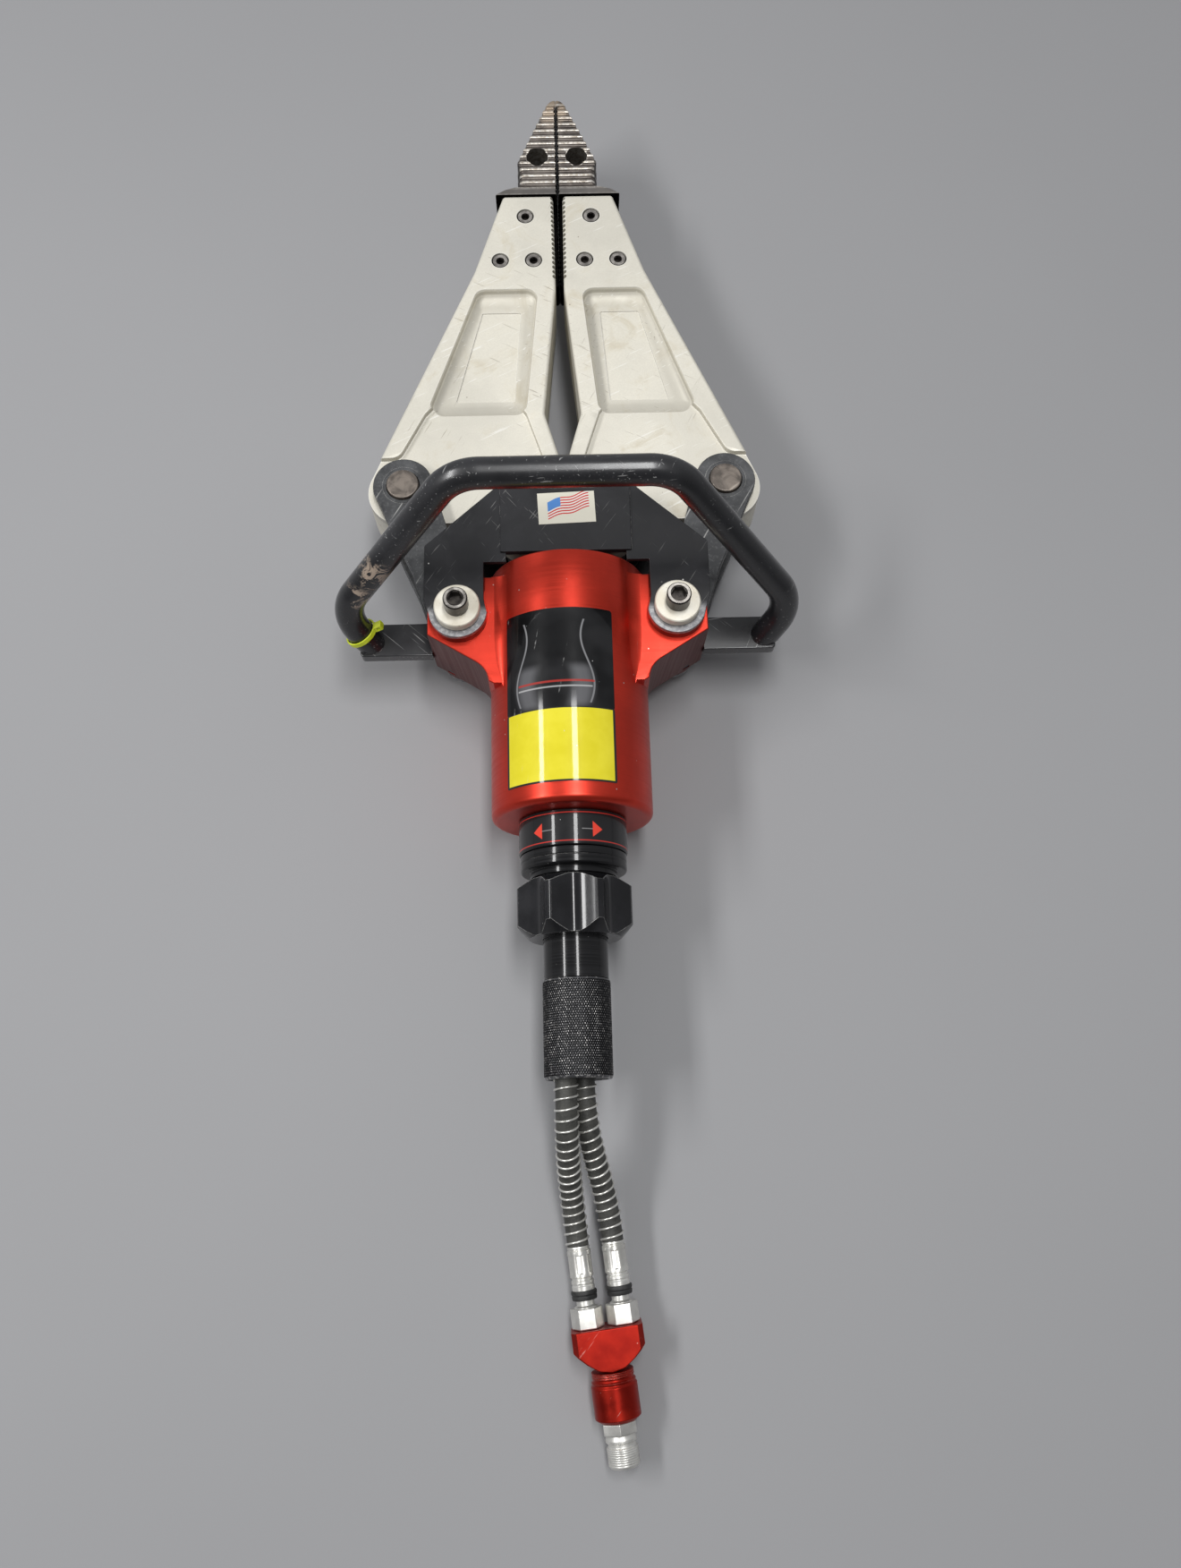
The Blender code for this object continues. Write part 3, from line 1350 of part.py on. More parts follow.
def hose_route(name, side):
    """Points down the middle of a hose, from its end plate to its ferrule, in the tool's frame."""
    x, z = HOSE_EXITS[name]
    start = Vector((x, GRIP_REAR_Y + PLATE_THICKNESS - SEAT_GAP, z))
    out = Vector((x, GRIP_REAR_Y - HOSE_STRAIGHT, z))
    turn = COUPLER.rotation_euler.to_matrix()
    port = Vector((side * PORT_SPACING / 2, 0, 0))
    ferrule = RING_LENGTH + HOSE_NUT_LENGTH + HOSE_NECK_LENGTH + FERRULE_LENGTH
    end = COUPLER_AT + turn @ (port - Vector((0, 0, ferrule + SEAT_GAP)))
    ahead = turn @ Vector((0, 0, HOSE_STRAIGHT))
    near = end - ahead
    pull = 0.42 * (near - out).length / HOSE_STRAIGHT
    first = out + Vector((0, -HOSE_STRAIGHT, 0)) * pull
    second = near - ahead * pull
    points = [start]
    for step in range(13):
        t = step / 12
        points.append(
            out * (1 - t) ** 3 + first * 3 * t * (1 - t) ** 2 + second * 3 * t * t * (1 - t) + near * t**3
        )
    return [*points, end]


def make_hoses():
    """Two guarded hoses to a twin-port coupler, which ends in a nipple with a check valve."""
    nut_z = -HOSE_NUT_LENGTH
    neck_z = nut_z - HOSE_NECK_LENGTH
    ring_z = neck_z - RING_LENGTH
    ferrule_z = ring_z - FERRULE_LENGTH
    for name, side in SIDES.items():
        tube("hose_" + name, hose_route(name, side), HOSE_R, RUBBER, resolution=3)
        port = (side * PORT_SPACING / 2, 0, 0)
        nut = flat(
            "hose_nut_" + name,
            [circle((0, 0), HOSE_NUT_R, 6)],
            nut_z,
            -SEAT_GAP,
            BRIGHT_STEEL,
            port,
            parent=COUPLER,
        )
        neck = turned(
            "hose_neck_" + name, disc(neck_z, nut_z + 0.002, HOSE_NECK_R), None, port, steps=16, parent=COUPLER
        )
        join(nut, neck)
        turned(
            "boot_ring_" + name,
            disc(ring_z + SEAT_GAP, neck_z - SEAT_GAP, RING_R),
            RUBBER,
            port,
            steps=20,
            parent=COUPLER,
        )
        turned(
            "ferrule_" + name,
            [
                (0, ring_z),
                (FERRULE_R * 0.93, ring_z),
                (FERRULE_R * 0.93, ring_z - 0.008),
                (FERRULE_R, ring_z - 0.009),
                (FERRULE_R, ferrule_z + 0.010),
                (FERRULE_R * 1.06, ferrule_z + 0.009),
                (FERRULE_R * 1.06, ferrule_z + 0.007),
                (FERRULE_R, ferrule_z + 0.006),
                (FERRULE_R, ferrule_z),
                (0, ferrule_z),
            ],
            BRIGHT_STEEL,
            port,
            steps=20,
            parent=COUPLER,
        )
    wide = MANIFOLD_HALF_WIDTH
    outline = [
        (-wide, 0),
        (wide, 0),
        (wide, -MANIFOLD_STRAIGHT),
        (wide * 0.72, -MANIFOLD_LENGTH * 0.78),
        (COLLAR_R * 0.6, -MANIFOLD_LENGTH),
        (-COLLAR_R * 0.6, -MANIFOLD_LENGTH),
        (-wide * 0.72, -MANIFOLD_LENGTH * 0.78),
        (-wide, -MANIFOLD_STRAIGHT),
    ]
    flat(
        "coupler_manifold",
        [outline],
        -MANIFOLD_HALF_THICKNESS,
        MANIFOLD_HALF_THICKNESS,
        RED,
        bevel=0.003,
        rotation=(-math.pi / 2, 0, 0),
        parent=COUPLER,
    )
    collar_z = MANIFOLD_LENGTH + SEAT_GAP
    collar_end = collar_z + COLLAR_LENGTH
    turned(
        "coupler_collar",
        [
            (0, collar_end),
            (COLLAR_R - 0.0025, collar_end),
            (COLLAR_R, collar_end - 0.0025),
            (COLLAR_R, collar_z + 0.008),
            (COLLAR_R - 0.002, collar_z + 0.006),
            (COLLAR_R - 0.0015, collar_z),
            (0, collar_z),
        ],
        RED,
        steps=20,
        parent=COUPLER,
    )
    hex_z = collar_end + SEAT_GAP
    nipple_z = hex_z + NIPPLE_HEX_LENGTH
    end_z = nipple_z + NIPPLE_LENGTH
    bore = end_z - NIPPLE_BORE_DEPTH
    nipple = turned(
        "coupler_nipple",
        [
            (0, bore),
            (NIPPLE_BORE_R, bore),
            (NIPPLE_BORE_R, end_z),
            (NIPPLE_R - 0.001, end_z),
            (NIPPLE_R, end_z - 0.001),
            (NIPPLE_R, nipple_z + 0.008),
            (NIPPLE_R * 0.88, nipple_z + 0.007),
            (NIPPLE_R * 0.88, nipple_z + 0.005),
            (NIPPLE_R, nipple_z + 0.004),
            (NIPPLE_R, nipple_z - 0.002),
            (0, nipple_z - 0.002),
        ],
        BRIGHT_STEEL,
        steps=20,
        parent=COUPLER,
    )
    hexagon = flat(
        "nipple_hexagon", [circle((0, 0), NIPPLE_HEX_R, 6)], hex_z, nipple_z, None, parent=COUPLER
    )
    join(nipple, hexagon)
    turned(
        "coupler_poppet",
        disc(end_z - POPPET_LENGTH, end_z - 0.001, POPPET_R),
        BRONZE,
        steps=16,
        parent=COUPLER,
    )


make_cylinder()
make_gland()
make_piston()
make_crosshead()
make_links()
make_pivots()
make_cover("front_cover_top", 1)
make_cover("front_cover_bottom", -1)
make_arms()
make_handle()
make_control()
make_hoses()
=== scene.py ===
"""Dressed model of a hydraulic rescue spreader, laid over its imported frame."""

import math

import bmesh
import bpy
from bpy.props import FloatProperty, FloatVectorProperty, IntProperty, PointerProperty
from mathutils import Matrix, Vector


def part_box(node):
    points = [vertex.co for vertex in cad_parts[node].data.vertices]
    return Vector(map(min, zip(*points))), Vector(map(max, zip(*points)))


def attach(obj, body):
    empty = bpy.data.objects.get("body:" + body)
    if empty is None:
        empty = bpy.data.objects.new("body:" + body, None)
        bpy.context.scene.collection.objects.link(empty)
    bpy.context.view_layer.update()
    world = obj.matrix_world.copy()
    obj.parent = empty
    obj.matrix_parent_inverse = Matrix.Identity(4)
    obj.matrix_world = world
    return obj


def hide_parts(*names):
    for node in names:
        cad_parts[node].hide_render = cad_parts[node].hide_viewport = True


bl_info = {
    "name": "Rescue Spreader", "version": (1, 0, 0), "blender": (4, 5, 0),
    "location": "View3D > Sidebar > Spreader",
    "description": "Builds the fine pieces and finishes of a hydraulic rescue spreader",
    "category": "Add Mesh",
}

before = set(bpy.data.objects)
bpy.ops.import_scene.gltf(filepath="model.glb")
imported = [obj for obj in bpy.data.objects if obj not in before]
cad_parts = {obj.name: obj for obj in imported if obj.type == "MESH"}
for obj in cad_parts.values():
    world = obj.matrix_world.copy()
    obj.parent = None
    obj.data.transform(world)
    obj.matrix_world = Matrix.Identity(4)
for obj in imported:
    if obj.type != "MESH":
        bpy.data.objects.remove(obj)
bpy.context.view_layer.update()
SIDES = {"left": -1, "right": 1}


def beside(x, y=0):
    return Matrix.Translation((x, y, 0))


def middle(node):
    low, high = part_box(node)
    return (low + high) / 2


# The pieces are drawn from the point between both link pivots, on the cylinder's axis
ORIGIN = Vector((0.0, middle("pivot_bolt_left").y, middle("cylinder_body").z))
AXIS = Matrix.Translation(ORIGIN)
UPRIGHT = Matrix.Identity(4)
ALONG_Y = Matrix.Rotation(-math.pi / 2, 4, "X")
COUPLER = Matrix.Translation((0.0145, -0.487, -0.0433)) @ Matrix.Rotation(math.radians(6.4), 4, "Z")
COUPLER = COUPLER @ Matrix.Rotation(math.radians(93), 4, "X")

PIVOT_X = middle("pivot_bolt_right").x
PIN_X = middle("link_pin_right").x
PIN_Y = middle("link_pin_right").y - ORIGIN.y
CROSS_X = middle("crosshead_pin_right").x
CROSS_Y = middle("crosshead_pin_right").y - ORIGIN.y
PIVOT_BORE = 0.0093
LINK_R = 0.0215
LINK_PIN_BORE = 0.0123
CYLINDER_R = 0.058
CYLINDER_FRONT = 0.040
CYLINDER_REAR = -0.148
GRIP_REAR = -0.3281
ARM_FRONT = 0.380
ARM_HALF = 0.025
TONGUE_HALF = 0.012
TIP_SCREWS = ((0.0269, 0.3595), (0.0207, 0.3165), (0.0476, 0.3165))
SCREW_BORE = 0.0043
TIP_BASE = ARM_FRONT + 0.0003
TIP_END = 0.4833
TIP_EYE = Vector((0.0163, TIP_BASE + 0.0415))
EYE_R = 0.0091
SLOT_END = Vector((0.01095, 0.00365))
SLOT_TURN = math.degrees(math.atan2(SLOT_END.y, SLOT_END.x))
SLOT_R = 0.01022


class SpreaderSizes(bpy.types.PropertyGroup):
    """Sizes of the fine shapes."""

    arm_round: FloatProperty(
        name="Arm Edge Round", description="Radius of the long edges of both arms", default=0.0028,
        unit="LENGTH",
    )
    rib_pitch: FloatProperty(
        name="Rib Pitch", description="Distance between two ribs of a tip", default=0.0069,
        unit="LENGTH",
    )
    rib_depth: FloatProperty(
        name="Rib Depth", description="Depth of the grooves between the ribs of a tip",
        default=0.0015, unit="LENGTH",
    )
    knurl_count: IntProperty(
        name="Knurl Count", description="Number of diamonds round the grip", default=84, min=8,
    )
    knurl_length: FloatProperty(
        name="Knurl Length", description="Length of one diamond along the grip", default=0.0032,
        unit="LENGTH",
    )
    knurl_depth: FloatProperty(
        name="Knurl Depth", description="Depth of the grooves between the diamonds", default=0.0006,
        unit="LENGTH",
    )
    coil_pitch: FloatProperty(
        name="Guard Coil Pitch", description="Distance between two turns of a hose's spring guard",
        default=0.0066, unit="LENGTH",
    )
    coil_wire: FloatProperty(
        name="Guard Wire Radius", description="Radius of the wire of a hose's spring guard",
        default=0.0008, unit="LENGTH",
    )


class SpreaderColours(bpy.types.PropertyGroup):
    """Main colours of the finishes."""

    red: FloatVectorProperty(
        name="Red Anodising", description="Colour of the cylinder, the manifold and the collar",
        subtype="COLOR", default=(0.62, 0.042, 0.022),
    )
    cream: FloatVectorProperty(
        name="Arm Aluminium", description="Colour of the bare arms", subtype="COLOR",
        default=(0.72, 0.69, 0.60),
    )
    black: FloatVectorProperty(
        name="Black Paint", description="Colour of the covers and the handle", subtype="COLOR",
        default=(0.012, 0.012, 0.0135),
    )
    floor: FloatVectorProperty(
        name="Floor", description="Colour of the floor", subtype="COLOR",
        default=(0.31, 0.31, 0.318),
    )


def sizes():
    return bpy.context.scene.spreader_sizes


def colours():
    return bpy.context.scene.spreader_colours


# Outlines


def arc(centre, radius, start, end, steps):
    """Points on an arc about centre, from start to end in degrees."""
    points = []
    for step in range(steps + 1):
        angle = math.radians(start + (end - start) * step / steps)
        points.append((centre[0] + radius * math.cos(angle), centre[1] + radius * math.sin(angle)))
    return points


def round_turn(segments):
    """The angles of segments equal steps round a circle."""
    return [2 * math.pi * index / segments for index in range(segments)]


def circle(centre, radius, steps=48):
    return arc(centre, radius, 0, 360, steps)[:-1]


def hole(centre, radius, steps=48):
    return list(reversed(circle(centre, radius, steps)))


def mirrored(points, side):
    """The outline on that side of the axis, still anticlockwise."""
    return list(points) if side > 0 else [(-x, y) for x, y in reversed(points)]


def rounded(points, radius, steps=4, closed=True):
    """The outline with its corners rounded. The radius is one for all, or a list with one for each corner."""
    result = []
    count = len(points)
    for index, corner in enumerate(points):
        size = radius[index] if isinstance(radius, (list, tuple)) else radius
        here = Vector(corner)
        back = Vector(points[index - 1]) - here
        ahead = Vector(points[(index + 1) % count]) - here
        half = back.angle(ahead, math.pi) / 2
        end = not closed and index in (0, count - 1)
        if end or size <= 0 or half > math.radians(89) or half < math.radians(1):
            result.append(tuple(here))
            continue
        trim = min(size / math.tan(half), 0.49 * min(back.length, ahead.length))
        size = trim * math.tan(half)
        centre = here + (back.normalized() + ahead.normalized()).normalized() * size / math.sin(half)
        start = here + back.normalized() * trim - centre
        stop = here + ahead.normalized() * trim - centre
        sweep = math.copysign(math.pi - 2 * half, start.x * stop.y - start.y * stop.x)
        for step in range(steps + 1):
            result.append(tuple(centre + Matrix.Rotation(sweep * step / steps, 2) @ start))
    return result


def offset(points, distance):
    """A closed outline moved to its left by distance."""
    if not distance:
        return list(points)
    moved = []
    for index, point in enumerate(points):
        here = Vector(point)
        before = (here - Vector(points[index - 1])).normalized()
        after = (Vector(points[(index + 1) % len(points)]) - here).normalized()
        left = Vector((-before.y - after.y, before.x + after.x)).normalized()
        mitre = max(left.dot(Vector((-before.y, before.x))), 0.35)
        moved.append(tuple(here + left * distance / mitre))
    return moved


def edge_layers(low, high, radius, steps=3):
    """(height, inset) of a plate's layers from low to high, with both edges rounded."""
    turns = [math.pi / 2 * step / steps for step in range(steps + 1)]
    bottom = [(low + radius * (1 - math.cos(turn)), radius * (1 - math.sin(turn))) for turn in turns]
    return bottom + [(high + low - height, inset) for height, inset in reversed(bottom)]


# Meshes


def as_mesh(work):
    bmesh.ops.recalc_face_normals(work, faces=work.faces)
    mesh = bpy.data.meshes.new("shape")
    work.to_mesh(mesh)
    work.free()
    return mesh


def skin(work, rows, ends=False):
    """Faces between successive rows of vertices, and over the first and last row where ends is set."""
    for low, high in zip(rows, rows[1:]):
        count = len(low)
        for index in range(count):
            after = (index + 1) % count
            work.faces.new((low[index], low[after], high[after], high[index]))
    if ends:
        work.faces.new(rows[0])
        work.faces.new(rows[-1])


def row_edges(work, row):
    return [work.edges.get((row[index - 1], row[index])) for index in range(len(row))]


def solid(outlines, layers, place=UPRIGHT):
    """A flat body: the first outline is its edge and the others, clockwise, are its holes."""
    work = bmesh.new()
    ends = ([], [])
    for outline in outlines:
        rows = [
            [work.verts.new((x, y, height)) for x, y in offset(outline, inset)] for height, inset in layers
        ]
        skin(work, rows)
        for cap, row in zip(ends, (rows[0], rows[-1])):
            cap += row_edges(work, row)
    for cap in ends:
        bmesh.ops.triangle_fill(work, use_beauty=True, edges=cap)
    bmesh.ops.transform(work, matrix=place, verts=work.verts)
    return as_mesh(work)


def plate(outlines, low, high, radius=0.0006, place=UPRIGHT, steps=3):
    layers = edge_layers(low, high, radius, steps) if radius else [(low, 0), (high, 0)]
    return solid(outlines, layers, place)


def turned(profile, segments=96, place=ALONG_Y, closed=False):
    """A profile of (radius, height) spun about its height. A closed one is a ring."""
    work = bmesh.new()
    rows = []
    for radius, height in profile:
        if radius < 1e-7:
            rows.append([work.verts.new((0, 0, height))])
            continue
        rows.append([
            work.verts.new((radius * math.cos(angle), radius * math.sin(angle), height))
            for angle in round_turn(segments)
        ])
    pairs = list(zip(rows, rows[1:]))
    if closed:
        pairs.append((rows[-1], rows[0]))
    for low, high in pairs:
        if len(low) == len(high) == 1:
            continue
        for index in range(segments):
            after = (index + 1) % segments
            if len(low) == 1:
                work.faces.new((low[0], high[after], high[index]))
            elif len(high) == 1:
                work.faces.new((low[index], low[after], high[0]))
            else:
                work.faces.new((low[index], low[after], high[after], high[index]))
    if not closed:
        for row in (rows[0], rows[-1]):
            if len(row) > 1:
                work.faces.new(row)
    bmesh.ops.transform(work, matrix=place, verts=work.verts)
    return as_mesh(work)


def ring(low, high, inner, outer, radius=0.0005, segments=96, place=ALONG_Y):
    """A ring with rounded edges."""
    corners = [(inner, low), (outer, low), (outer, high), (inner, high)]
    return turned(rounded(corners, radius, 3), segments, place, closed=True)


def disc(low, high, outer, radius=0.0005, segments=96, place=ALONG_Y):
    corners = [(0, low), (outer, low), (outer, high), (0, high)]
    return turned(rounded(corners, radius, 3, closed=False), segments, place)


def swept(points, radius, segments):
    """A round bar along points, with flat ends."""
    work = bmesh.new()
    rows = []
    spots = [Vector(point) for point in points]
    side = None
    for index, spot in enumerate(spots):
        ahead = (spots[min(index + 1, len(spots) - 1)] - spots[max(index - 1, 0)]).normalized()
        if side is None:
            side = ahead.orthogonal().normalized()
        side = (side - ahead * side.dot(ahead)).normalized()
        other = ahead.cross(side)
        rows.append([
            work.verts.new(spot + (side * math.cos(angle) + other * math.sin(angle)) * radius)
            for angle in round_turn(segments)
        ])
    skin(work, rows, ends=True)
    return as_mesh(work)


def joined(*meshes):
    """Several bodies in one mesh."""
    work = bmesh.new()
    for mesh in meshes:
        work.from_mesh(mesh)
        bpy.data.meshes.remove(mesh)
    mesh = bpy.data.meshes.new("shape")
    work.to_mesh(mesh)
    work.free()
    return mesh


def evaluated(item):
    """The object's mesh with its modifiers applied. The object is removed."""
    bpy.context.view_layer.update()
    graph = bpy.context.evaluated_depsgraph_get()
    mesh = bpy.data.meshes.new_from_object(item.evaluated_get(graph), depsgraph=graph)
    bpy.data.objects.remove(item)
    return mesh


def loose(mesh, name="shape"):
    item = bpy.data.objects.new(name, mesh)
    bpy.context.scene.collection.objects.link(item)
    return item


def carved(mesh, *cutters, operation="DIFFERENCE"):
    """The mesh with each cutter taken away from it, or added to it."""
    target = loose(mesh)
    others = []
    for cutter in cutters:
        other = loose(cutter)
        others.append(other)
        modifier = target.modifiers.new("carve", "BOOLEAN")
        modifier.operation = operation
        modifier.object = other
        modifier.solver = "EXACT"
    result = evaluated(target)
    for other in others:
        bpy.data.objects.remove(other)
    return result


def softened(mesh, width, angle):
    """The mesh with its hard edges rounded."""
    item = loose(mesh)
    modifier = item.modifiers.new("round", "BEVEL")
    modifier.width = width
    modifier.segments = 2
    modifier.limit_method = "ANGLE"
    modifier.angle_limit = math.radians(angle)
    modifier.use_clamp_overlap = True
    return evaluated(item)


def piece(name, mesh, look, body="housing", stands_for=(), sharp=32):
    """A finished piece: smooth but for its sharp edges, placed in its mesh, on its body."""
    mesh.transform(AXIS)
    mesh.materials.clear()
    mesh.materials.append(finish(look))
    mesh.shade_smooth()
    mesh.set_sharp_from_angle(angle=math.radians(sharp))
    item = loose(mesh, name)
    modifier = item.modifiers.new("normals", "WEIGHTED_NORMAL")
    modifier.keep_sharp = True
    modifier.weight = 60
    shaped = evaluated(item)
    shaped.name = name
    item = loose(shaped, name)
    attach(item, body)
    if stands_for:
        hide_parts(*stands_for)
    return item


# Node trees


class Nodes:
    """Nodes made in self.tree and fed with values or links."""

    def node(self, kind, inputs=None, **settings):
        made = self.tree.nodes.new(kind)
        for key, value in settings.items():
            setattr(made, key, value)
        for key, value in (inputs or {}).items():
            self.feed(made.inputs[key], value)
        return made

    def feed(self, socket, value):
        if isinstance(value, bpy.types.NodeSocket):
            self.tree.links.new(value, socket)
        elif socket.type == "RGBA" and len(value) == 3:
            socket.default_value = (*value, 1)
        else:
            socket.default_value = value

    def math(self, operation, *values):
        return self.node("ShaderNodeMath", dict(enumerate(values)), operation=operation).outputs[0]

    def times(self, first, second):
        return self.math("MULTIPLY", first, second)

    def minus(self, first, second):
        return self.math("SUBTRACT", first, second)

    def most(self, first, second):
        return self.math("MAXIMUM", first, second)

    def apart(self, first, second):
        """How far two values lie apart."""
        return self.math("ABSOLUTE", self.minus(first, second))

    def length(self, first, second):
        """The length of a line that reaches first one way and second square to it."""
        squares = [self.math("POWER", value, 2.0) for value in (first, second)]
        return self.math("SQRT", self.math("ADD", *squares))

    def range(self, value, start, end, low=0.0, high=1.0):
        """A soft step from low at start to high at end."""
        inputs = {"Value": value, "From Min": start, "From Max": end, "To Min": low, "To Max": high}
        return self.node("ShaderNodeMapRange", inputs, interpolation_type="SMOOTHSTEP").outputs["Result"]


class Growth(Nodes):
    """A geometry node tree with named sizes, turned into a plain mesh."""

    def __init__(self, name, **values):
        self.tree = bpy.data.node_groups.new(name, "GeometryNodeTree")
        face = self.tree.interface
        face.new_socket("Geometry", in_out="INPUT", socket_type="NodeSocketGeometry")
        self.values = {}
        for key, value in values.items():
            kind = "NodeSocketInt" if isinstance(value, int) else "NodeSocketFloat"
            if isinstance(value, bpy.types.Object):
                kind = "NodeSocketObject"
            socket = face.new_socket(key.replace("_", " ").title(), in_out="INPUT", socket_type=kind)
            self.values[socket.identifier] = value
        face.new_socket("Geometry", in_out="OUTPUT", socket_type="NodeSocketGeometry")
        self.source = self.tree.nodes.new("NodeGroupInput")

    def size(self, key):
        return self.source.outputs[key.replace("_", " ").title()]

    def vector(self, operation, *values, **named):
        inputs = dict(enumerate(values))
        inputs.update(named)
        return self.node("ShaderNodeVectorMath", inputs, operation=operation).outputs["Vector"]

    def place(self):
        """The three coordinates of each point."""
        spot = self.node("GeometryNodeInputPosition").outputs[0]
        return self.node("ShaderNodeSeparateXYZ", {0: spot}).outputs

    def grown(self, mesh, finish, geometry):
        """The tree's end, the modifier's values, and the plain mesh that comes out."""
        real = self.node("GeometryNodeRealizeInstances", {0: geometry}).outputs[0]
        dressed = self.node("GeometryNodeSetMaterial", {"Geometry": real, "Material": finish}).outputs[0]
        end = self.tree.nodes.new("NodeGroupOutput")
        self.tree.links.new(dressed, end.inputs[0])
        item = loose(mesh)
        modifier = item.modifiers.new(self.tree.name, "NODES")
        modifier.node_group = self.tree
        for key, value in self.values.items():
            modifier[key] = value
        return evaluated(item)


def ribbed(mesh, finish, start):
    """A mesh pushed in along its "push" attribute between the ribs, which lie square to Y."""
    tree = Growth("Ribs", rib_pitch=sizes().rib_pitch, rib_depth=sizes().rib_depth)
    along = tree.minus(tree.place()["Y"], start)
    phase = tree.math("FRACT", tree.math("DIVIDE", along, tree.size("rib_pitch")))
    away = tree.apart(phase, 0.5)
    valley = tree.range(away, 0.10, 0.36)
    push = tree.node("GeometryNodeInputNamedAttribute", {"Name": "push"}, data_type="FLOAT_VECTOR")
    depth = tree.times(valley, tree.size("rib_depth"))
    step = tree.vector("SCALE", push.outputs["Attribute"], Scale=depth)
    moved = tree.node("GeometryNodeSetPosition", {"Geometry": tree.source.outputs[0], "Offset": step})
    kept = tree.node(
        "GeometryNodeStoreNamedAttribute",
        {"Geometry": moved.outputs[0], "Name": "valley", "Value": valley}, data_type="FLOAT",
        domain="POINT",
    )
    return tree.grown(mesh, finish, kept.outputs[0])


def knurled(finish, radius, front, rear):
    """A sleeve of raised diamonds between two heights on the Y axis."""
    around = sizes().knurl_count * 6
    rows = round((front - rear) / sizes().knurl_length) * 6
    tree = Growth(
        "Knurl", knurl_count=sizes().knurl_count, knurl_length=sizes().knurl_length,
        knurl_depth=sizes().knurl_depth, radius=radius, sleeve_length=front - rear,
    )
    grid = {"Size X": 1.0, "Size Y": 1.0, "Vertices X": around + 1, "Vertices Y": rows + 1}
    grid = tree.node("GeometryNodeMeshGrid", grid).outputs["Mesh"]
    spot = tree.place()
    along = tree.times(spot["Y"], tree.size("sleeve_length"))
    turns = tree.times(spot["X"], tree.size("knurl_count"))
    rise = tree.math("DIVIDE", along, tree.size("knurl_length"))
    heights = []
    for sign in ("ADD", "SUBTRACT"):
        phase = tree.math("FRACT", tree.math("ADD", tree.math(sign, turns, rise), 1000.0))
        away = tree.apart(phase, 0.5)
        heights.append(tree.times(away, 2.0))
    top = tree.math("MINIMUM", tree.minus(1.0, heights[0]), tree.minus(1.0, heights[1]))
    top = tree.math("MINIMUM", tree.times(top, 1.5), 1.0)
    edge = tree.range(tree.math("ABSOLUTE", spot["Y"]), 0.5, 0.485)
    sunk = tree.times(tree.minus(1.0, tree.times(top, edge)), tree.size("knurl_depth"))
    wide = tree.minus(tree.size("radius"), sunk)
    angle = tree.times(spot["X"], 2 * math.pi)
    made = tree.node(
        "ShaderNodeCombineXYZ",
        {
            0: tree.times(wide, tree.math("SINE", angle)),
            1: tree.math("ADD", along, (front + rear) / 2),
            2: tree.times(wide, tree.math("COSINE", angle)),
        },
    ).outputs[0]
    marked = tree.node(
        "GeometryNodeStoreNamedAttribute",
        {"Geometry": grid, "Name": "valley", "Value": tree.minus(1.0, top)}, data_type="FLOAT",
        domain="POINT",
    ).outputs[0]
    wrapped = tree.node("GeometryNodeSetPosition", {"Geometry": marked, "Position": made}).outputs[0]
    kept = tree.node("GeometryNodeMergeByDistance", {"Geometry": wrapped, "Distance": 1e-6})
    return tree.grown(bpy.data.meshes.new("shape"), finish, kept.outputs[0])


def coiled(path, finish, radius, wire, pitch):
    """A wire wound along a path."""
    length = sum((Vector(b) - Vector(a)).length for a, b in zip(path, path[1:]))
    turns = length / pitch
    tree = Growth("Coil", coil_radius=radius, coil_wire=wire, coil_turns=turns, coil_points=int(turns * 20))
    curve = tree.node("GeometryNodeMeshToCurve", {0: tree.source.outputs[0]}).outputs[0]
    smooth = tree.node(
        "GeometryNodeResampleCurve", {"Curve": curve, "Count": tree.size("coil_points")}, mode="COUNT"
    ).outputs[0]
    share = tree.node("GeometryNodeSplineParameter").outputs["Factor"]
    angle = tree.times(tree.times(share, tree.size("coil_turns")), 2 * math.pi)
    normal = tree.node("GeometryNodeInputNormal").outputs[0]
    heading = tree.node("GeometryNodeInputTangent").outputs[0]
    across = tree.vector("CROSS_PRODUCT", heading, normal)
    out = tree.vector(
        "ADD", tree.vector("SCALE", normal, Scale=tree.math("COSINE", angle)),
        tree.vector("SCALE", across, Scale=tree.math("SINE", angle)),
    )
    step = tree.vector("SCALE", out, Scale=tree.size("coil_radius"))
    wound = tree.node("GeometryNodeSetPosition", {"Geometry": smooth, "Offset": step}).outputs[0]
    section = tree.node(
        "GeometryNodeCurvePrimitiveCircle", {"Resolution": 8, "Radius": tree.size("coil_wire")}
    ).outputs[0]
    thick = tree.node(
        "GeometryNodeCurveToMesh", {"Curve": wound, "Profile Curve": section, "Fill Caps": True}
    ).outputs[0]
    line = bpy.data.meshes.new("shape")
    line.from_pydata([tuple(point) for point in path], [(i, i + 1) for i in range(len(path) - 1)], [])
    return tree.grown(line, finish, thick)


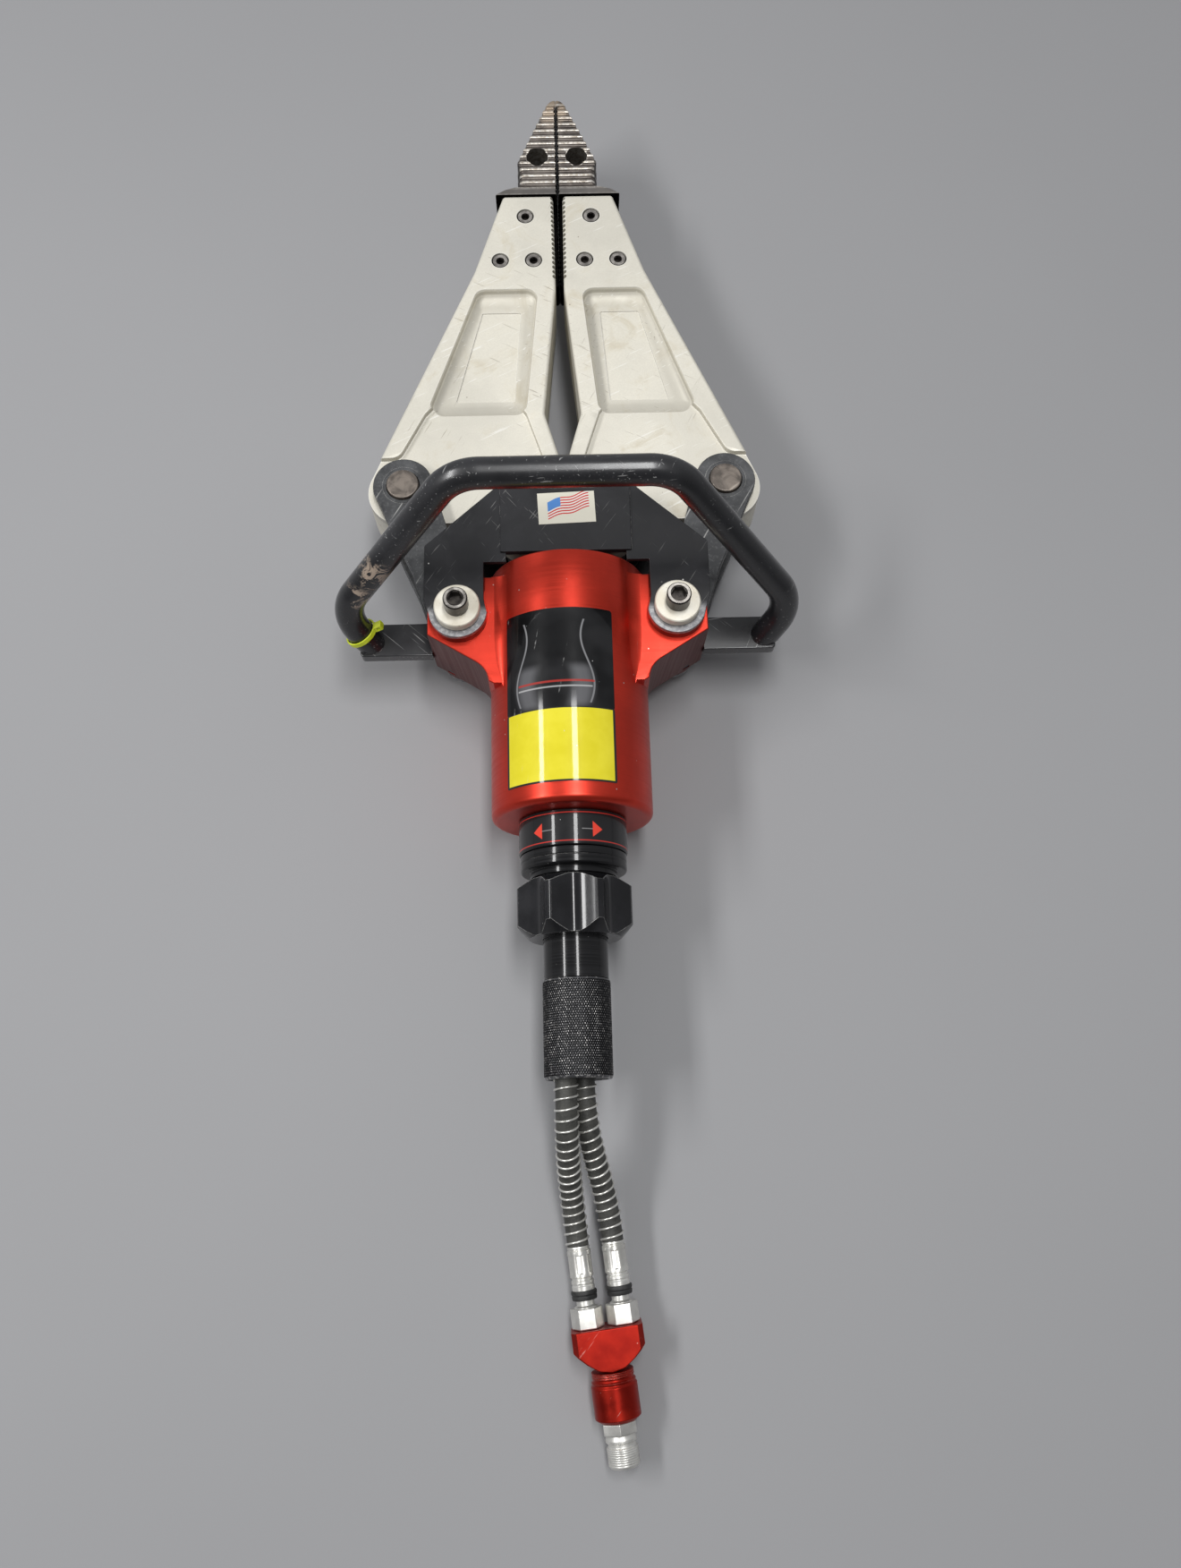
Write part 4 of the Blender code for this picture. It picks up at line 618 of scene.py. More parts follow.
def scattered(mesh, places, finish):
    """One copy of the mesh at each place, turned by its angle about Z and flipped where it looks down."""
    prototype = loose(mesh)
    spots = bpy.data.meshes.new("shape")
    spots.from_pydata([place for place, flip, turn in places], [], [])
    turns = spots.attributes.new("turn", "FLOAT_VECTOR", "POINT")
    for index, (place, flip, turn) in enumerate(places):
        turns.data[index].vector = (math.pi if flip else 0.0, 0.0, turn)
    tree = Growth("Screws", fastener=prototype)
    turn = tree.node("GeometryNodeInputNamedAttribute", {"Name": "turn"}, data_type="FLOAT_VECTOR")
    info = tree.node("GeometryNodeObjectInfo", {"Object": tree.size("fastener")}).outputs["Geometry"]
    points = tree.node("GeometryNodeMeshToPoints", {"Mesh": tree.source.outputs[0]}).outputs[0]
    placed = tree.node(
        "GeometryNodeInstanceOnPoints",
        {"Points": points, "Instance": info, "Rotation": turn.outputs["Attribute"]},
    ).outputs[0]
    result = tree.grown(spots, finish, placed)
    bpy.data.objects.remove(prototype)
    return result


# Finishes


class Finish(Nodes):
    """A material's nodes round one Principled shader, on the piece's own coordinates."""

    def __init__(self, name, roughness, metallic=0.0, **uniform):
        self.material = bpy.data.materials.new(name)
        self.material.use_nodes = True
        self.tree = self.material.node_tree
        self.shader = self.tree.nodes["Principled BSDF"]
        self.shader.inputs["Roughness"].default_value = roughness
        self.shader.inputs["Metallic"].default_value = metallic
        for key, value in uniform.items():
            self.shader.inputs[key.replace("_", " ").title().replace("Ior", "IOR")].default_value = value
        self.spot = self.node("ShaderNodeTexCoord").outputs["Object"]

    def moved(self, stretch=(1, 1, 1), turn=(0, 0, 0), shift=(0, 0, 0), source=None):
        turn = tuple(math.radians(angle) for angle in turn)
        inputs = {"Vector": source or self.spot, "Scale": stretch, "Rotation": turn, "Location": shift}
        return self.node("ShaderNodeMapping", inputs).outputs[0]

    def noise(self, scale, detail=3.0, rough=0.55, distortion=0.0, source=None, **mapping):
        inputs = {
            "Vector": self.moved(source=source, **mapping), "Scale": scale, "Detail": detail,
            "Roughness": rough, "Distortion": distortion,
        }
        return self.node("ShaderNodeTexNoise", inputs).outputs["Fac"]

    def mix(self, share, first, second):
        made = self.node("ShaderNodeMix", data_type="RGBA")
        for socket, value in ((made.inputs[0], share), (made.inputs[6], first), (made.inputs[7], second)):
            self.feed(socket, value)
        return made.outputs[2]

    def shade(self, cloud, first, second):
        """Two colours mixed by a cloud."""
        return self.mix(self.range(cloud, 0.35, 0.7), first, second)

    def matt(self, cloud, low, high):
        """A roughness between low and high that follows a cloud."""
        return self.range(cloud, 0.3, 0.7, low, high)

    def axes(self, source=None):
        return self.node("ShaderNodeSeparateXYZ", {0: source or self.spot}).outputs

    def lines(self, scale, angle, amount, length=30, width=0.05):
        """Fine straight scratches at one angle about Z; more of them where amount is higher."""
        turned_spot = self.moved(turn=(0, 0, angle))
        fine = self.noise(scale, 1.0, 0.4, source=turned_spot, stretch=(1, 1 / length, 1))
        edge = 0.74 - amount * 0.08
        return self.range(fine, edge, edge + width)

    def dots(self, scale, size, share, **mapping):
        """Scattered round spots; share is how many of the cells have one."""
        vector = self.moved(**mapping)
        cell = self.node("ShaderNodeTexVoronoi", {"Vector": vector, "Scale": scale})
        red = self.node("ShaderNodeSeparateColor", {0: cell.outputs["Color"]}).outputs[0]
        chosen = self.range(red, 1 - share, 1 - share + 0.01)
        small = self.range(cell.outputs["Distance"], size, size * 0.6)
        return self.times(chosen, small)

    def bump(self, height, distance, strength):
        inputs = {"Height": height, "Distance": distance, "Strength": strength}
        return self.node("ShaderNodeBump", inputs).outputs[0]

    def edges(self, radius, low=0.0, high=0.35):
        """One on the sharp outer edges, and nothing on the flat."""
        soft = self.node("ShaderNodeBevel", {"Radius": radius}, samples=4).outputs[0]
        flat = self.node("ShaderNodeNewGeometry").outputs["Normal"]
        facing = self.node("ShaderNodeVectorMath", {0: soft, 1: flat}, operation="DOT_PRODUCT").outputs[
            "Value"
        ]
        return self.range(self.minus(1.0, facing), low, high)

    def done(self, colour=None, roughness=None, normal=None, metallic=None):
        for key, value in (
            ("Base Color", colour), ("Roughness", roughness), ("Normal", normal),
            ("Metallic", metallic),
        ):
            if value is not None:
                self.feed(self.shader.inputs[key], value)
        return self.material


WORN_STEEL = (0.62, 0.61, 0.58)
BRIGHT_EDGE = (0.70, 0.69, 0.66)


def tint(colour, factor):
    return tuple(min(channel * factor, 1.0) for channel in colour)


def red_anodised():
    """Clear red over bright metal, turned lines round the axis, small white chips, and painted shade on the
    ears' vertical faces.
    """
    look = Finish("red_anodised", roughness=0.36, metallic=0.82, coat_weight=0.08, coat_roughness=0.2)
    red = tuple(colours().red)
    rings = look.noise(14, 2, 0.6, stretch=(0.25, 70, 0.25))
    cloud = look.noise(22, 4, 0.6)
    colour = look.mix(look.range(cloud, 0.3, 0.75), tint(red, 0.86), tint(red, 1.12))
    colour = look.mix(look.range(rings, 0.5, 0.75, 0, 0.22), colour, tint(red, 0.72))
    chips = look.dots(260, 0.16, 0.035)
    fine = look.dots(90, 0.05, 0.12, shift=(0.3, 0.1, 0.2))
    scuffs = look.times(look.lines(520, 4, 0.25, 24), look.range(cloud, 0.55, 0.7))
    marks = look.most(look.most(chips, fine), look.times(scuffs, 0.6))
    # Painted shade: the vertical faces of the ears and bosses are darkened to a near-black red.
    facing = look.axes(look.node("ShaderNodeNewGeometry").outputs["True Normal"])
    ear_wall_shade = look.range(look.math("ABSOLUTE", facing["Z"]), 0.35, 0.25)
    ear = look.range(look.math("ABSOLUTE", look.axes()["X"]), CYLINDER_R + 0.0008, CYLINDER_R + 0.0014)
    colour = look.mix(look.times(look.times(ear_wall_shade, ear), 0.85), colour, (0.040, 0.007, 0.006))
    colour = look.mix(marks, colour, (0.62, 0.50, 0.46))
    rough = look.matt(rings, 0.32, 0.41)
    return look.done(colour, rough, look.bump(rings, 0.00002, 0.5))


def coupler_red():
    """Deep red anodising with pale worn edges and fine scratches."""
    look = Finish("coupler_red", roughness=0.34, metallic=0.9)
    cloud = look.noise(60, 4, 0.6)
    colour = look.mix(look.range(cloud, 0.3, 0.75), (0.29, 0.012, 0.007), (0.42, 0.020, 0.010))
    marks = look.times(look.lines(760, 40, 0.6, 22), look.range(cloud, 0.45, 0.6))
    marks = look.most(marks, look.dots(260, 0.12, 0.05))
    edges = look.times(look.edges(0.0007, 0.06, 0.3), look.range(cloud, 0.38, 0.55, 0.4, 1.0))
    colour = look.mix(look.most(edges, look.times(marks, 0.5)), colour, (0.72, 0.42, 0.36))
    return look.done(colour, look.matt(cloud, 0.30, 0.42), look.bump(cloud, 0.00003, 0.3))


def arm_aluminium():
    """Bare blasted aluminium with a creamy cast, faint stains, pits and handling scratches, and painted shade
    on the sides of the recesses and pockets and round the pocket floors.
    """
    look = Finish("arm_aluminium", roughness=0.5, metallic=0.25)
    cream = tuple(colours().cream)
    broad = look.noise(9, 5, 0.6, 0.4)
    stain = look.noise(26, 5, 0.65, 0.8, shift=(0.4, 0.1, 0.0))
    grain = look.noise(900, 2, 0.5)
    colour = look.mix(look.range(broad, 0.35, 0.65), tint(cream, 0.93), tint(cream, 1.05))
    colour = look.mix(look.range(stain, 0.52, 0.72, 0, 0.5), colour, (0.52, 0.45, 0.31))
    height = look.apart(look.axes()["Z"], ORIGIN.z)
    # Painted shade: the sloping sides of the recesses and pockets are darkened.
    pocket_wall_shade = look.most(band(look, height, 0.0159, 0.0194, 0.0004), band(look, height, 0.0206, 0.0232, 0.0004))
    colour = look.mix(look.times(pocket_wall_shade, 0.34), colour, (0.30, 0.28, 0.23))
    # Painted shade: a thin darker line in the crease round each pocket floor.
    foot = look.times(band(look, height, 0.01495, 0.0158, 0.0001), 0.5)
    colour = look.mix(foot, colour, (0.22, 0.20, 0.16))
    colour = look.mix(look.range(grain, 0.35, 0.65, 0, 0.14), colour, (0.50, 0.47, 0.40))
    pits = look.dots(120, 0.075, 0.10)
    patch = look.range(look.noise(14, 3, 0.5, shift=(0.2, 0.5, 0)), 0.5, 0.66)
    long_marks = look.times(look.lines(820, 28, 0.6, 20), patch)
    cross_marks = look.times(look.lines(900, -62, 0.5, 20), look.range(broad, 0.5, 0.62))
    light_marks = look.times(look.lines(760, 64, 0.7, 24), look.range(stain, 0.35, 0.5))
    colour = look.mix(look.times(light_marks, 0.5), colour, (0.90, 0.89, 0.84))
    lines = look.times(look.most(long_marks, cross_marks), 0.6)
    marks = look.most(pits, lines)
    colour = look.mix(look.times(marks, 0.75), colour, (0.20, 0.16, 0.11))
    bare = look.times(look.edges(0.0016, 0.02, 0.3), look.range(stain, 0.3, 0.6, 0.4, 1.0))
    colour = look.mix(bare, colour, (0.88, 0.87, 0.82))
    rough = look.matt(stain, 0.42, 0.60)
    relief = look.minus(look.times(grain, 0.25), marks)
    return look.done(colour, rough, look.bump(relief, 0.00012, 0.6))


def black_paint():
    """Worn gloss black with gray rubs, bright chips on the edges and fine scratches."""
    look = Finish("black_paint", roughness=0.3, specular_ior_level=0.4, coat_weight=0.6, coat_roughness=0.2)
    black = tuple(colours().black)
    cloud = look.noise(16, 5, 0.6, 0.3)
    fine = look.noise(420, 3, 0.6)
    colour = look.mix(look.range(cloud, 0.4, 0.75), black, tint(black, 1.8))
    dust = look.times(look.range(fine, 0.55, 0.8), look.range(cloud, 0.45, 0.7))
    colour = look.mix(look.times(dust, 0.3), colour, (0.12, 0.12, 0.125))
    scratches = look.most(look.lines(760, 24, 0.25, 30), look.lines(820, -48, 0.2, 34))
    scratches = look.most(scratches, look.lines(700, 82, 0.2, 30))
    scratches = look.times(scratches, look.range(cloud, 0.38, 0.56))
    edges = look.edges(0.0009, 0.06, 0.35)
    broken = look.range(look.noise(150, 3, 0.7, shift=(0.1, 0.7, 0.2)), 0.47, 0.58)
    chips = look.times(edges, broken)
    spots = look.dots(170, 0.09, 0.07)
    marks = look.most(look.most(chips, spots), look.times(scratches, 0.45))
    colour = look.mix(marks, colour, (0.50, 0.50, 0.49))
    for x, z, reach in ((-0.133, 0.066, 0.016), (-0.148, 0.048, 0.012)):
        place = look.moved(shift=(-x, -ORIGIN.y, -ORIGIN.z - z))
        axes = look.axes(place)
        away = look.length(axes["X"], axes["Z"])
        near = look.range(away, reach, reach * 0.5)
        flaked = look.range(look.noise(85, 4, 0.7, 1.2, shift=(x * 9, 0.3, 0.1)), 0.50, 0.56)
        patch = look.times(near, flaked)
        colour = look.mix(look.times(patch, 0.8), colour, (0.46, 0.36, 0.28))
        marks = look.most(marks, patch)
    rough = look.matt(cloud, 0.24, 0.40)
    return look.done(colour, rough, look.bump(look.minus(look.times(fine, 0.15), marks), 0.0001, 0.5))


def cover_paint():
    """The covers' black, rubbed through to gray steel round the pivots."""
    look = Finish("cover_paint", roughness=0.38, specular_ior_level=0.3)
    black = tuple(colours().black)
    cloud = look.noise(18, 5, 0.6, 0.5)
    fine = look.noise(380, 3, 0.6)
    colour = look.mix(look.range(cloud, 0.42, 0.75), tint(black, 1.2), tint(black, 2.2))
    dust = look.times(look.range(fine, 0.58, 0.8), look.range(cloud, 0.5, 0.75))
    colour = look.mix(look.times(dust, 0.2), colour, (0.15, 0.15, 0.155))
    scratches = look.most(look.lines(900, 35, 0.4, 20), look.lines(980, -40, 0.3, 24))
    scratches = look.times(scratches, look.range(cloud, 0.45, 0.6))
    edges = look.edges(0.0008, 0.08, 0.4)
    broken = look.range(look.noise(110, 3, 0.7, shift=(0.3, 0.2, 0.2)), 0.50, 0.58)
    chips = look.most(look.times(edges, broken), look.dots(130, 0.10, 0.08))
    marks = look.most(chips, look.times(scratches, 0.3))
    colour = look.mix(marks, colour, (0.50, 0.49, 0.47))
    spot = look.axes()
    across = look.minus(look.math("ABSOLUTE", spot["X"]), PIVOT_X)
    along = look.minus(spot["Y"], ORIGIN.y)
    far = look.length(across, along)
    eye = look.times(look.range(far, 0.0225, 0.0212), look.range(along, 0.004, -0.003))
    steel = look.mix(look.range(fine, 0.4, 0.7), (0.20, 0.20, 0.21), (0.36, 0.36, 0.36))
    colour = look.mix(eye, colour, look.mix(edges, steel, BRIGHT_EDGE))
    rough = look.matt(cloud, 0.30, 0.50)
    metallic = look.times(eye, 0.7)
    normal = look.bump(look.minus(look.times(fine, 0.15), marks), 0.0001, 0.5)
    return look.done(colour, rough, normal, metallic)


def black_anodised():
    """Glossy turned black: fine lines round the axis and a few nicks."""
    look = Finish(
        "black_anodised", roughness=0.2, specular_ior_level=0.1, coat_weight=0.5, coat_roughness=0.07
    )
    rings = look.noise(16, 2, 0.6, stretch=(0.4, 60, 0.4))
    cloud = look.noise(30, 4, 0.6)
    colour = look.shade(rings, (0.006, 0.006, 0.0065), (0.013, 0.013, 0.014))
    edges = look.times(look.edges(0.0007, 0.1, 0.4), look.range(cloud, 0.44, 0.58))
    nicks = look.most(look.dots(230, 0.12, 0.03), edges)
    colour = look.mix(nicks, colour, WORN_STEEL)
    return look.done(colour, look.matt(rings, 0.17, 0.27), look.bump(rings, 0.00002, 0.5))


def knob_black():
    """Smooth gloss black with its ridges worn bright."""
    look = Finish("knob_black", roughness=0.2, specular_ior_level=0.1, coat_weight=0.6, coat_roughness=0.07)
    cloud = look.noise(30, 4, 0.6)
    colour = look.shade(cloud, (0.008, 0.008, 0.009), (0.016, 0.016, 0.018))
    worn = look.times(look.edges(0.0006, 0.03, 0.25), look.range(cloud, 0.35, 0.55, 0.35, 1.0))
    colour = look.mix(look.most(worn, look.dots(230, 0.12, 0.03)), colour, BRIGHT_EDGE)
    return look.done(colour, look.matt(cloud, 0.18, 0.28))


def knurl_black():
    """Black knurling: dark between the diamonds, gray on their points, with painted glints on them."""
    look = Finish("knurl_black", roughness=0.3, metallic=0.75)
    valley = look.node("ShaderNodeAttribute", attribute_name="valley").outputs["Fac"]
    cloud = look.noise(60, 5, 0.7, 0.6)
    glint_noise = look.noise(420, 2, 0.6)
    # Painted glints: fine bright specks on the diamonds' points, held in the mask named worn.
    worn = look.times(look.range(glint_noise, 0.5, 0.66), look.range(cloud, 0.42, 0.62, 0.6, 1.0))
    points = look.mix(worn, (0.11, 0.11, 0.115), (0.62, 0.60, 0.58))
    colour = look.mix(look.range(valley, 0.06, 0.42), points, (0.006, 0.006, 0.0065))
    return look.done(colour, look.matt(cloud, 0.22, 0.36))


def link_steel():
    """Gray phosphated steel with dark blotches and silver rims."""
    look = Finish("link_steel", roughness=0.45, metallic=0.55)
    cloud = look.noise(24, 5, 0.65, 0.4)
    fine = look.noise(500, 3, 0.6)
    colour = look.shade(cloud, (0.045, 0.046, 0.048), (0.105, 0.107, 0.110))
    colour = look.mix(look.range(fine, 0.5, 0.8, 0, 0.25), colour, (0.30, 0.30, 0.30))
    worn = look.times(look.edges(0.0009, 0.05, 0.35), look.range(cloud, 0.35, 0.6))
    marks = look.most(worn, look.times(look.lines(260, 30, 0.5, 24), 0.5))
    colour = look.mix(marks, colour, WORN_STEEL)
    return look.done(colour, look.matt(cloud, 0.36, 0.55), look.bump(fine, 0.00008, 0.4))


def bright_steel():
    """Plated steel with fine machining lines and a few dull marks."""
    look = Finish("bright_steel", roughness=0.34, metallic=0.8)
    cloud = look.noise(70, 4, 0.6)
    fine = look.noise(700, 2, 0.5)
    colour = look.shade(cloud, (0.66, 0.65, 0.61), (0.82, 0.81, 0.77))
    colour = look.mix(look.range(fine, 0.55, 0.75, 0, 0.14), colour, (0.34, 0.33, 0.31))
    return look.done(colour, look.matt(cloud, 0.30, 0.40), look.bump(fine, 0.00002, 0.2))


def washer_plate():
    """Zinc plating gone cream, with brown specks."""
    look = Finish("washer_plate", roughness=0.42, metallic=0.35)
    cloud = look.noise(60, 4, 0.6)
    colour = look.shade(cloud, (0.66, 0.61, 0.50), (0.80, 0.77, 0.68))
    specks = look.most(look.dots(420, 0.16, 0.14), look.range(look.noise(260, 4, 0.7), 0.62, 0.72))
    colour = look.mix(look.times(specks, 0.7), colour, (0.30, 0.24, 0.16))
    return look.done(colour, look.matt(cloud, 0.35, 0.5), look.bump(specks, 0.00005, 0.4))


def pin_brown():
    """The arm pins' browned steel face with pale rubbed streaks."""
    look = Finish("pin_brown", roughness=0.42, metallic=0.6)
    cloud = look.noise(90, 5, 0.65, 0.8)
    colour = look.shade(cloud, (0.115, 0.098, 0.085), (0.235, 0.20, 0.17))
    worn = look.times(look.edges(0.0009, 0.03, 0.3), 0.9)
    rubs = look.times(look.lines(340, 50, 0.9, 10, width=0.1), 0.5)
    colour = look.mix(look.most(worn, rubs), colour, (0.56, 0.50, 0.43))
    return look.done(colour, look.matt(cloud, 0.32, 0.5), look.bump(cloud, 0.0001, 0.4))


def tip_steel():
    """Hardened steel: dark between the ribs, with bright brassy crests; painted shade in the eye, along the
    toothed gap and beside the side notch, and a dark line at the base.
    """
    look = Finish("tip_steel", roughness=0.4, metallic=0.7)
    valley = look.node("ShaderNodeAttribute", attribute_name="valley").outputs["Fac"]
    cloud = look.noise(45, 5, 0.65, 0.5)
    fine = look.noise(380, 3, 0.6)
    dark = look.shade(cloud, (0.075, 0.063, 0.056), (0.20, 0.175, 0.155))
    bright = look.mix(look.range(fine, 0.35, 0.65), (0.42, 0.37, 0.31), (0.78, 0.74, 0.68))
    crest = look.range(valley, 0.45, 0.05)
    crest = look.times(crest, look.range(cloud, 0.28, 0.5, 0.55, 1.0))
    colour = look.mix(crest, dark, bright)
    spot = look.axes()
    nose = look.times(look.range(spot["Y"], ORIGIN.y + 0.445, ORIGIN.y + 0.478), look.range(cloud, 0.35, 0.6))
    colour = look.mix(look.times(nose, 0.75), colour, (0.48, 0.38, 0.28))
    worn = look.times(look.edges(0.0008, 0.08, 0.4), look.range(fine, 0.4, 0.6))
    colour = look.mix(worn, colour, (0.80, 0.76, 0.70))
    across = look.math("ABSOLUTE", spot["X"])
    out = look.minus(across, TIP_EYE.x)
    along = look.minus(spot["Y"], ORIGIN.y + TIP_EYE.y)
    far = look.length(out, along)
    base = ORIGIN.y + TIP_BASE
    end = ORIGIN.y + TIP_END
    # Painted shade: the outer chamfer along the side notch is darkened to near black.
    notch_shade = band(look, spot["Y"], base + 0.0105, base + 0.0365, 0.0004)
    notch_shade = look.times(notch_shade, look.range(across, 0.0306, 0.0312))
    flare = look.range(spot["Y"], base + 0.0085, base + 0.0078)
    colour = look.mix(look.times(flare, 0.7), colour, (0.25, 0.235, 0.22))
    colour = look.mix(look.times(notch_shade, 0.85), colour, (0.05, 0.046, 0.043))
    # Near black: painted shade inside the eye and along the toothed gap between the tips, and a dark line at
    # the tip's base.
    bite = look.times(look.math("SINE", look.times(spot["Y"], math.tau / 0.0042)), 0.0004)
    seam = look.range(look.math("ADD", across, bite), 0.0014, 0.0011)
    seam = look.times(seam, look.range(spot["Y"], end - 0.0085, end - 0.0095))
    under = look.range(spot["Y"], base + 0.0012, base + 0.0008)
    painted_shade_and_base_line = look.most(look.range(far, EYE_R + 0.0001, EYE_R - 0.0001), look.most(seam, under))
    colour = look.mix(painted_shade_and_base_line, colour, (0.003, 0.0025, 0.002))
    rough = look.most(look.matt(cloud, 0.32, 0.48), look.times(painted_shade_and_base_line, 0.85))
    return look.done(colour, rough, look.bump(fine, 0.00008, 0.4), look.range(painted_shade_and_base_line, 0, 1, 0.7, 1.0))


def tongue_steel():
    """The tongues' oiled dark steel, painted nearly black as shade in the gap between the tips."""
    look = Finish("tongue_steel", roughness=0.6, metallic=0.95)
    cloud = look.noise(90, 4, 0.6)
    # Partly painted shade: a colour near black for the gap between the tips.
    colour = look.shade(cloud, (0.002, 0.002, 0.002), (0.006, 0.005, 0.005))
    return look.done(colour, look.matt(cloud, 0.42, 0.6))


def bolt_steel():
    """Blackened cap screws with bright worn faces."""
    look = Finish("bolt_steel", roughness=0.34, metallic=0.75)
    worn = look.node("ShaderNodeAttribute", attribute_name="worn").outputs["Fac"]
    cloud = look.noise(160, 4, 0.6)
    dark = look.shade(cloud, (0.030, 0.026, 0.024), (0.075, 0.066, 0.058))
    bright = look.mix(look.range(cloud, 0.35, 0.65), (0.26, 0.24, 0.22), (0.50, 0.47, 0.43))
    colour = look.mix(look.range(worn, 0.3, 0.9), dark, bright)
    return look.done(colour, look.matt(cloud, 0.26, 0.42))


def bronze():
    look = Finish("bronze", roughness=0.35, metallic=0.9)
    cloud = look.noise(90, 4, 0.6)
    colour = look.shade(cloud, (0.34, 0.20, 0.08), (0.55, 0.36, 0.16))
    return look.done(colour, look.matt(cloud, 0.28, 0.42))


def rubber():
    """Matt black rubber with a dusty bloom."""
    look = Finish("rubber", roughness=0.6)
    cloud = look.noise(120, 5, 0.65)
    colour = look.shade(cloud, (0.014, 0.014, 0.014), (0.034, 0.034, 0.033))
    return look.done(colour, look.matt(cloud, 0.42, 0.66), look.bump(cloud, 0.0001, 0.4))


def hose_rubber():
    """Olive-gray hose cover, dusty between the guard's turns."""
    look = Finish("hose_rubber", roughness=0.62)
    cloud = look.noise(80, 5, 0.65, 0.5)
    fine = look.noise(900, 2, 0.5)
    colour = look.shade(cloud, (0.030, 0.030, 0.027), (0.066, 0.065, 0.058))
    colour = look.mix(look.range(fine, 0.5, 0.75, 0, 0.3), colour, (0.13, 0.125, 0.11))
    return look.done(colour, look.matt(cloud, 0.5, 0.7), look.bump(fine, 0.0001, 0.5))


def tie_plastic():
    look = Finish("tie_plastic", roughness=0.4)
    cloud = look.noise(200, 3, 0.6)
    colour = look.shade(cloud, (0.52, 0.60, 0.02), (0.66, 0.74, 0.05))
    return look.done(colour, look.matt(cloud, 0.34, 0.46))


def inside_steel():
    """Ground steel of the pieces inside the cylinder and between the covers."""
    look = Finish("inside_steel", roughness=0.24, metallic=0.95)
    rings = look.noise(16, 2, 0.6, stretch=(0.4, 60, 0.4))
    colour = look.shade(rings, (0.40, 0.40, 0.40), (0.56, 0.56, 0.55))
    return look.done(colour, look.matt(rings, 0.18, 0.3), look.bump(rings, 0.00002, 0.4))


def printed(name, pattern):
    """Glossy film whose pattern lies on its own UV map."""
    look = Finish(name, roughness=0.34, specular_ior_level=0.1, coat_weight=0.55, coat_roughness=0.06)
    sheet = look.node("ShaderNodeUVMap", uv_map="UVMap").outputs[0]
    across = look.axes(sheet)
    colour = pattern(look, across["X"], across["Y"])
    cloud = look.noise(60, 4, 0.6)
    scuffs = look.times(look.lines(420, 12, 0.25, 26), look.range(cloud, 0.5, 0.65))
    scuffs = look.most(look.times(scuffs, 0.5), look.dots(240, 0.1, 0.03))
    colour = look.mix(scuffs, colour, (0.60, 0.60, 0.58))
    return look.done(colour, look.matt(cloud, 0.28, 0.4), look.bump(cloud, 0.00005, 0.3))


def band(look, value, low, high, soft=0.004):
    """One between low and high, and nothing outside."""
    return look.times(look.range(value, low - soft, low + soft), look.range(value, high + soft, high - soft))


def panel_black():
    def pattern(look, u, v):
        sheet = look.node("ShaderNodeUVMap", uv_map="UVMap").outputs[0]
        # Painted reflection: broad lighter patches across the black film.
        painted_sheen = look.range(look.noise(2.2, 2, 0.5, source=sheet), 0.4, 0.65)
        colour = look.mix(painted_sheen, (0.0025, 0.0025, 0.003), (0.014, 0.014, 0.015))
        centre = look.minus(u, 0.47)
        bow = look.times(look.math("SINE", look.times(v, math.pi * 2.1)), 0.055)
        for sign in (-1, 1):
            wave = look.minus(look.times(centre, float(sign)), bow)
            line = look.times(band(look, wave, 0.285, 0.300), band(look, v, 0.05, 0.88))
            colour = look.mix(look.times(line, 0.7), colour, (0.30, 0.30, 0.31))
            inner = look.times(band(look, wave, 0.12, 0.28, 0.06), band(look, v, 0.02, 0.42, 0.05))
            colour = look.mix(look.times(inner, 0.55), colour, (0.19, 0.19, 0.20))
        red_line = look.times(band(look, v, 0.255, 0.275), band(look, u, 0.14, 0.82))
        colour = look.mix(look.times(red_line, 0.8), colour, (0.42, 0.03, 0.02))
        pale = look.times(band(look, v, 0.205, 0.220), band(look, u, 0.14, 0.80))
        return look.mix(look.times(pale, 0.6), colour, (0.55, 0.55, 0.55))

    return printed("panel_black", pattern)


def panel_yellow():
    def pattern(look, u, v):
        inside = look.times(band(look, u, 0.022, 0.978, 0.003), band(look, v, 0.026, 0.985, 0.003))
        cloud = look.noise(40, 3, 0.6)
        yellow = look.shade(cloud, (0.70, 0.61, 0.018), (0.77, 0.68, 0.035))
        return look.mix(inside, (0.020, 0.020, 0.018), yellow)

    return printed("panel_yellow", pattern)


def ring_print():
    """Thin red lines along both edges, and a red arrow each way with a gray line between them."""

    def pattern(look, u, v):
        colour = (0.014, 0.014, 0.015)
        edge = look.most(band(look, v, 0.045, 0.075, 0.006), band(look, v, 0.925, 0.955, 0.006))
        colour = look.mix(edge, colour, (0.55, 0.035, 0.025))
        for sign, tip in ((-1, 0.123), (1, 0.088)):
            reach = look.times(look.minus(u, 0.5), float(sign))
            from_tip = look.minus(tip, reach)
            high = look.apart(v, 0.42)
            side_edge = look.minus(look.times(from_tip, 8.2), high)
            arrow = look.times(
                look.range(side_edge, -0.01, 0.01), band(look, from_tip, -0.005, 0.030, 0.0006)
            )
            colour = look.mix(arrow, colour, (0.75, 0.06, 0.035))
            line = look.times(
                band(look, high, -0.1, 0.014, 0.006), band(look, from_tip, 0.030, 0.062, 0.0006)
            )
            colour = look.mix(look.times(line, 0.6), colour, (0.34, 0.34, 0.34))
        return colour

    return printed("ring_print", pattern)


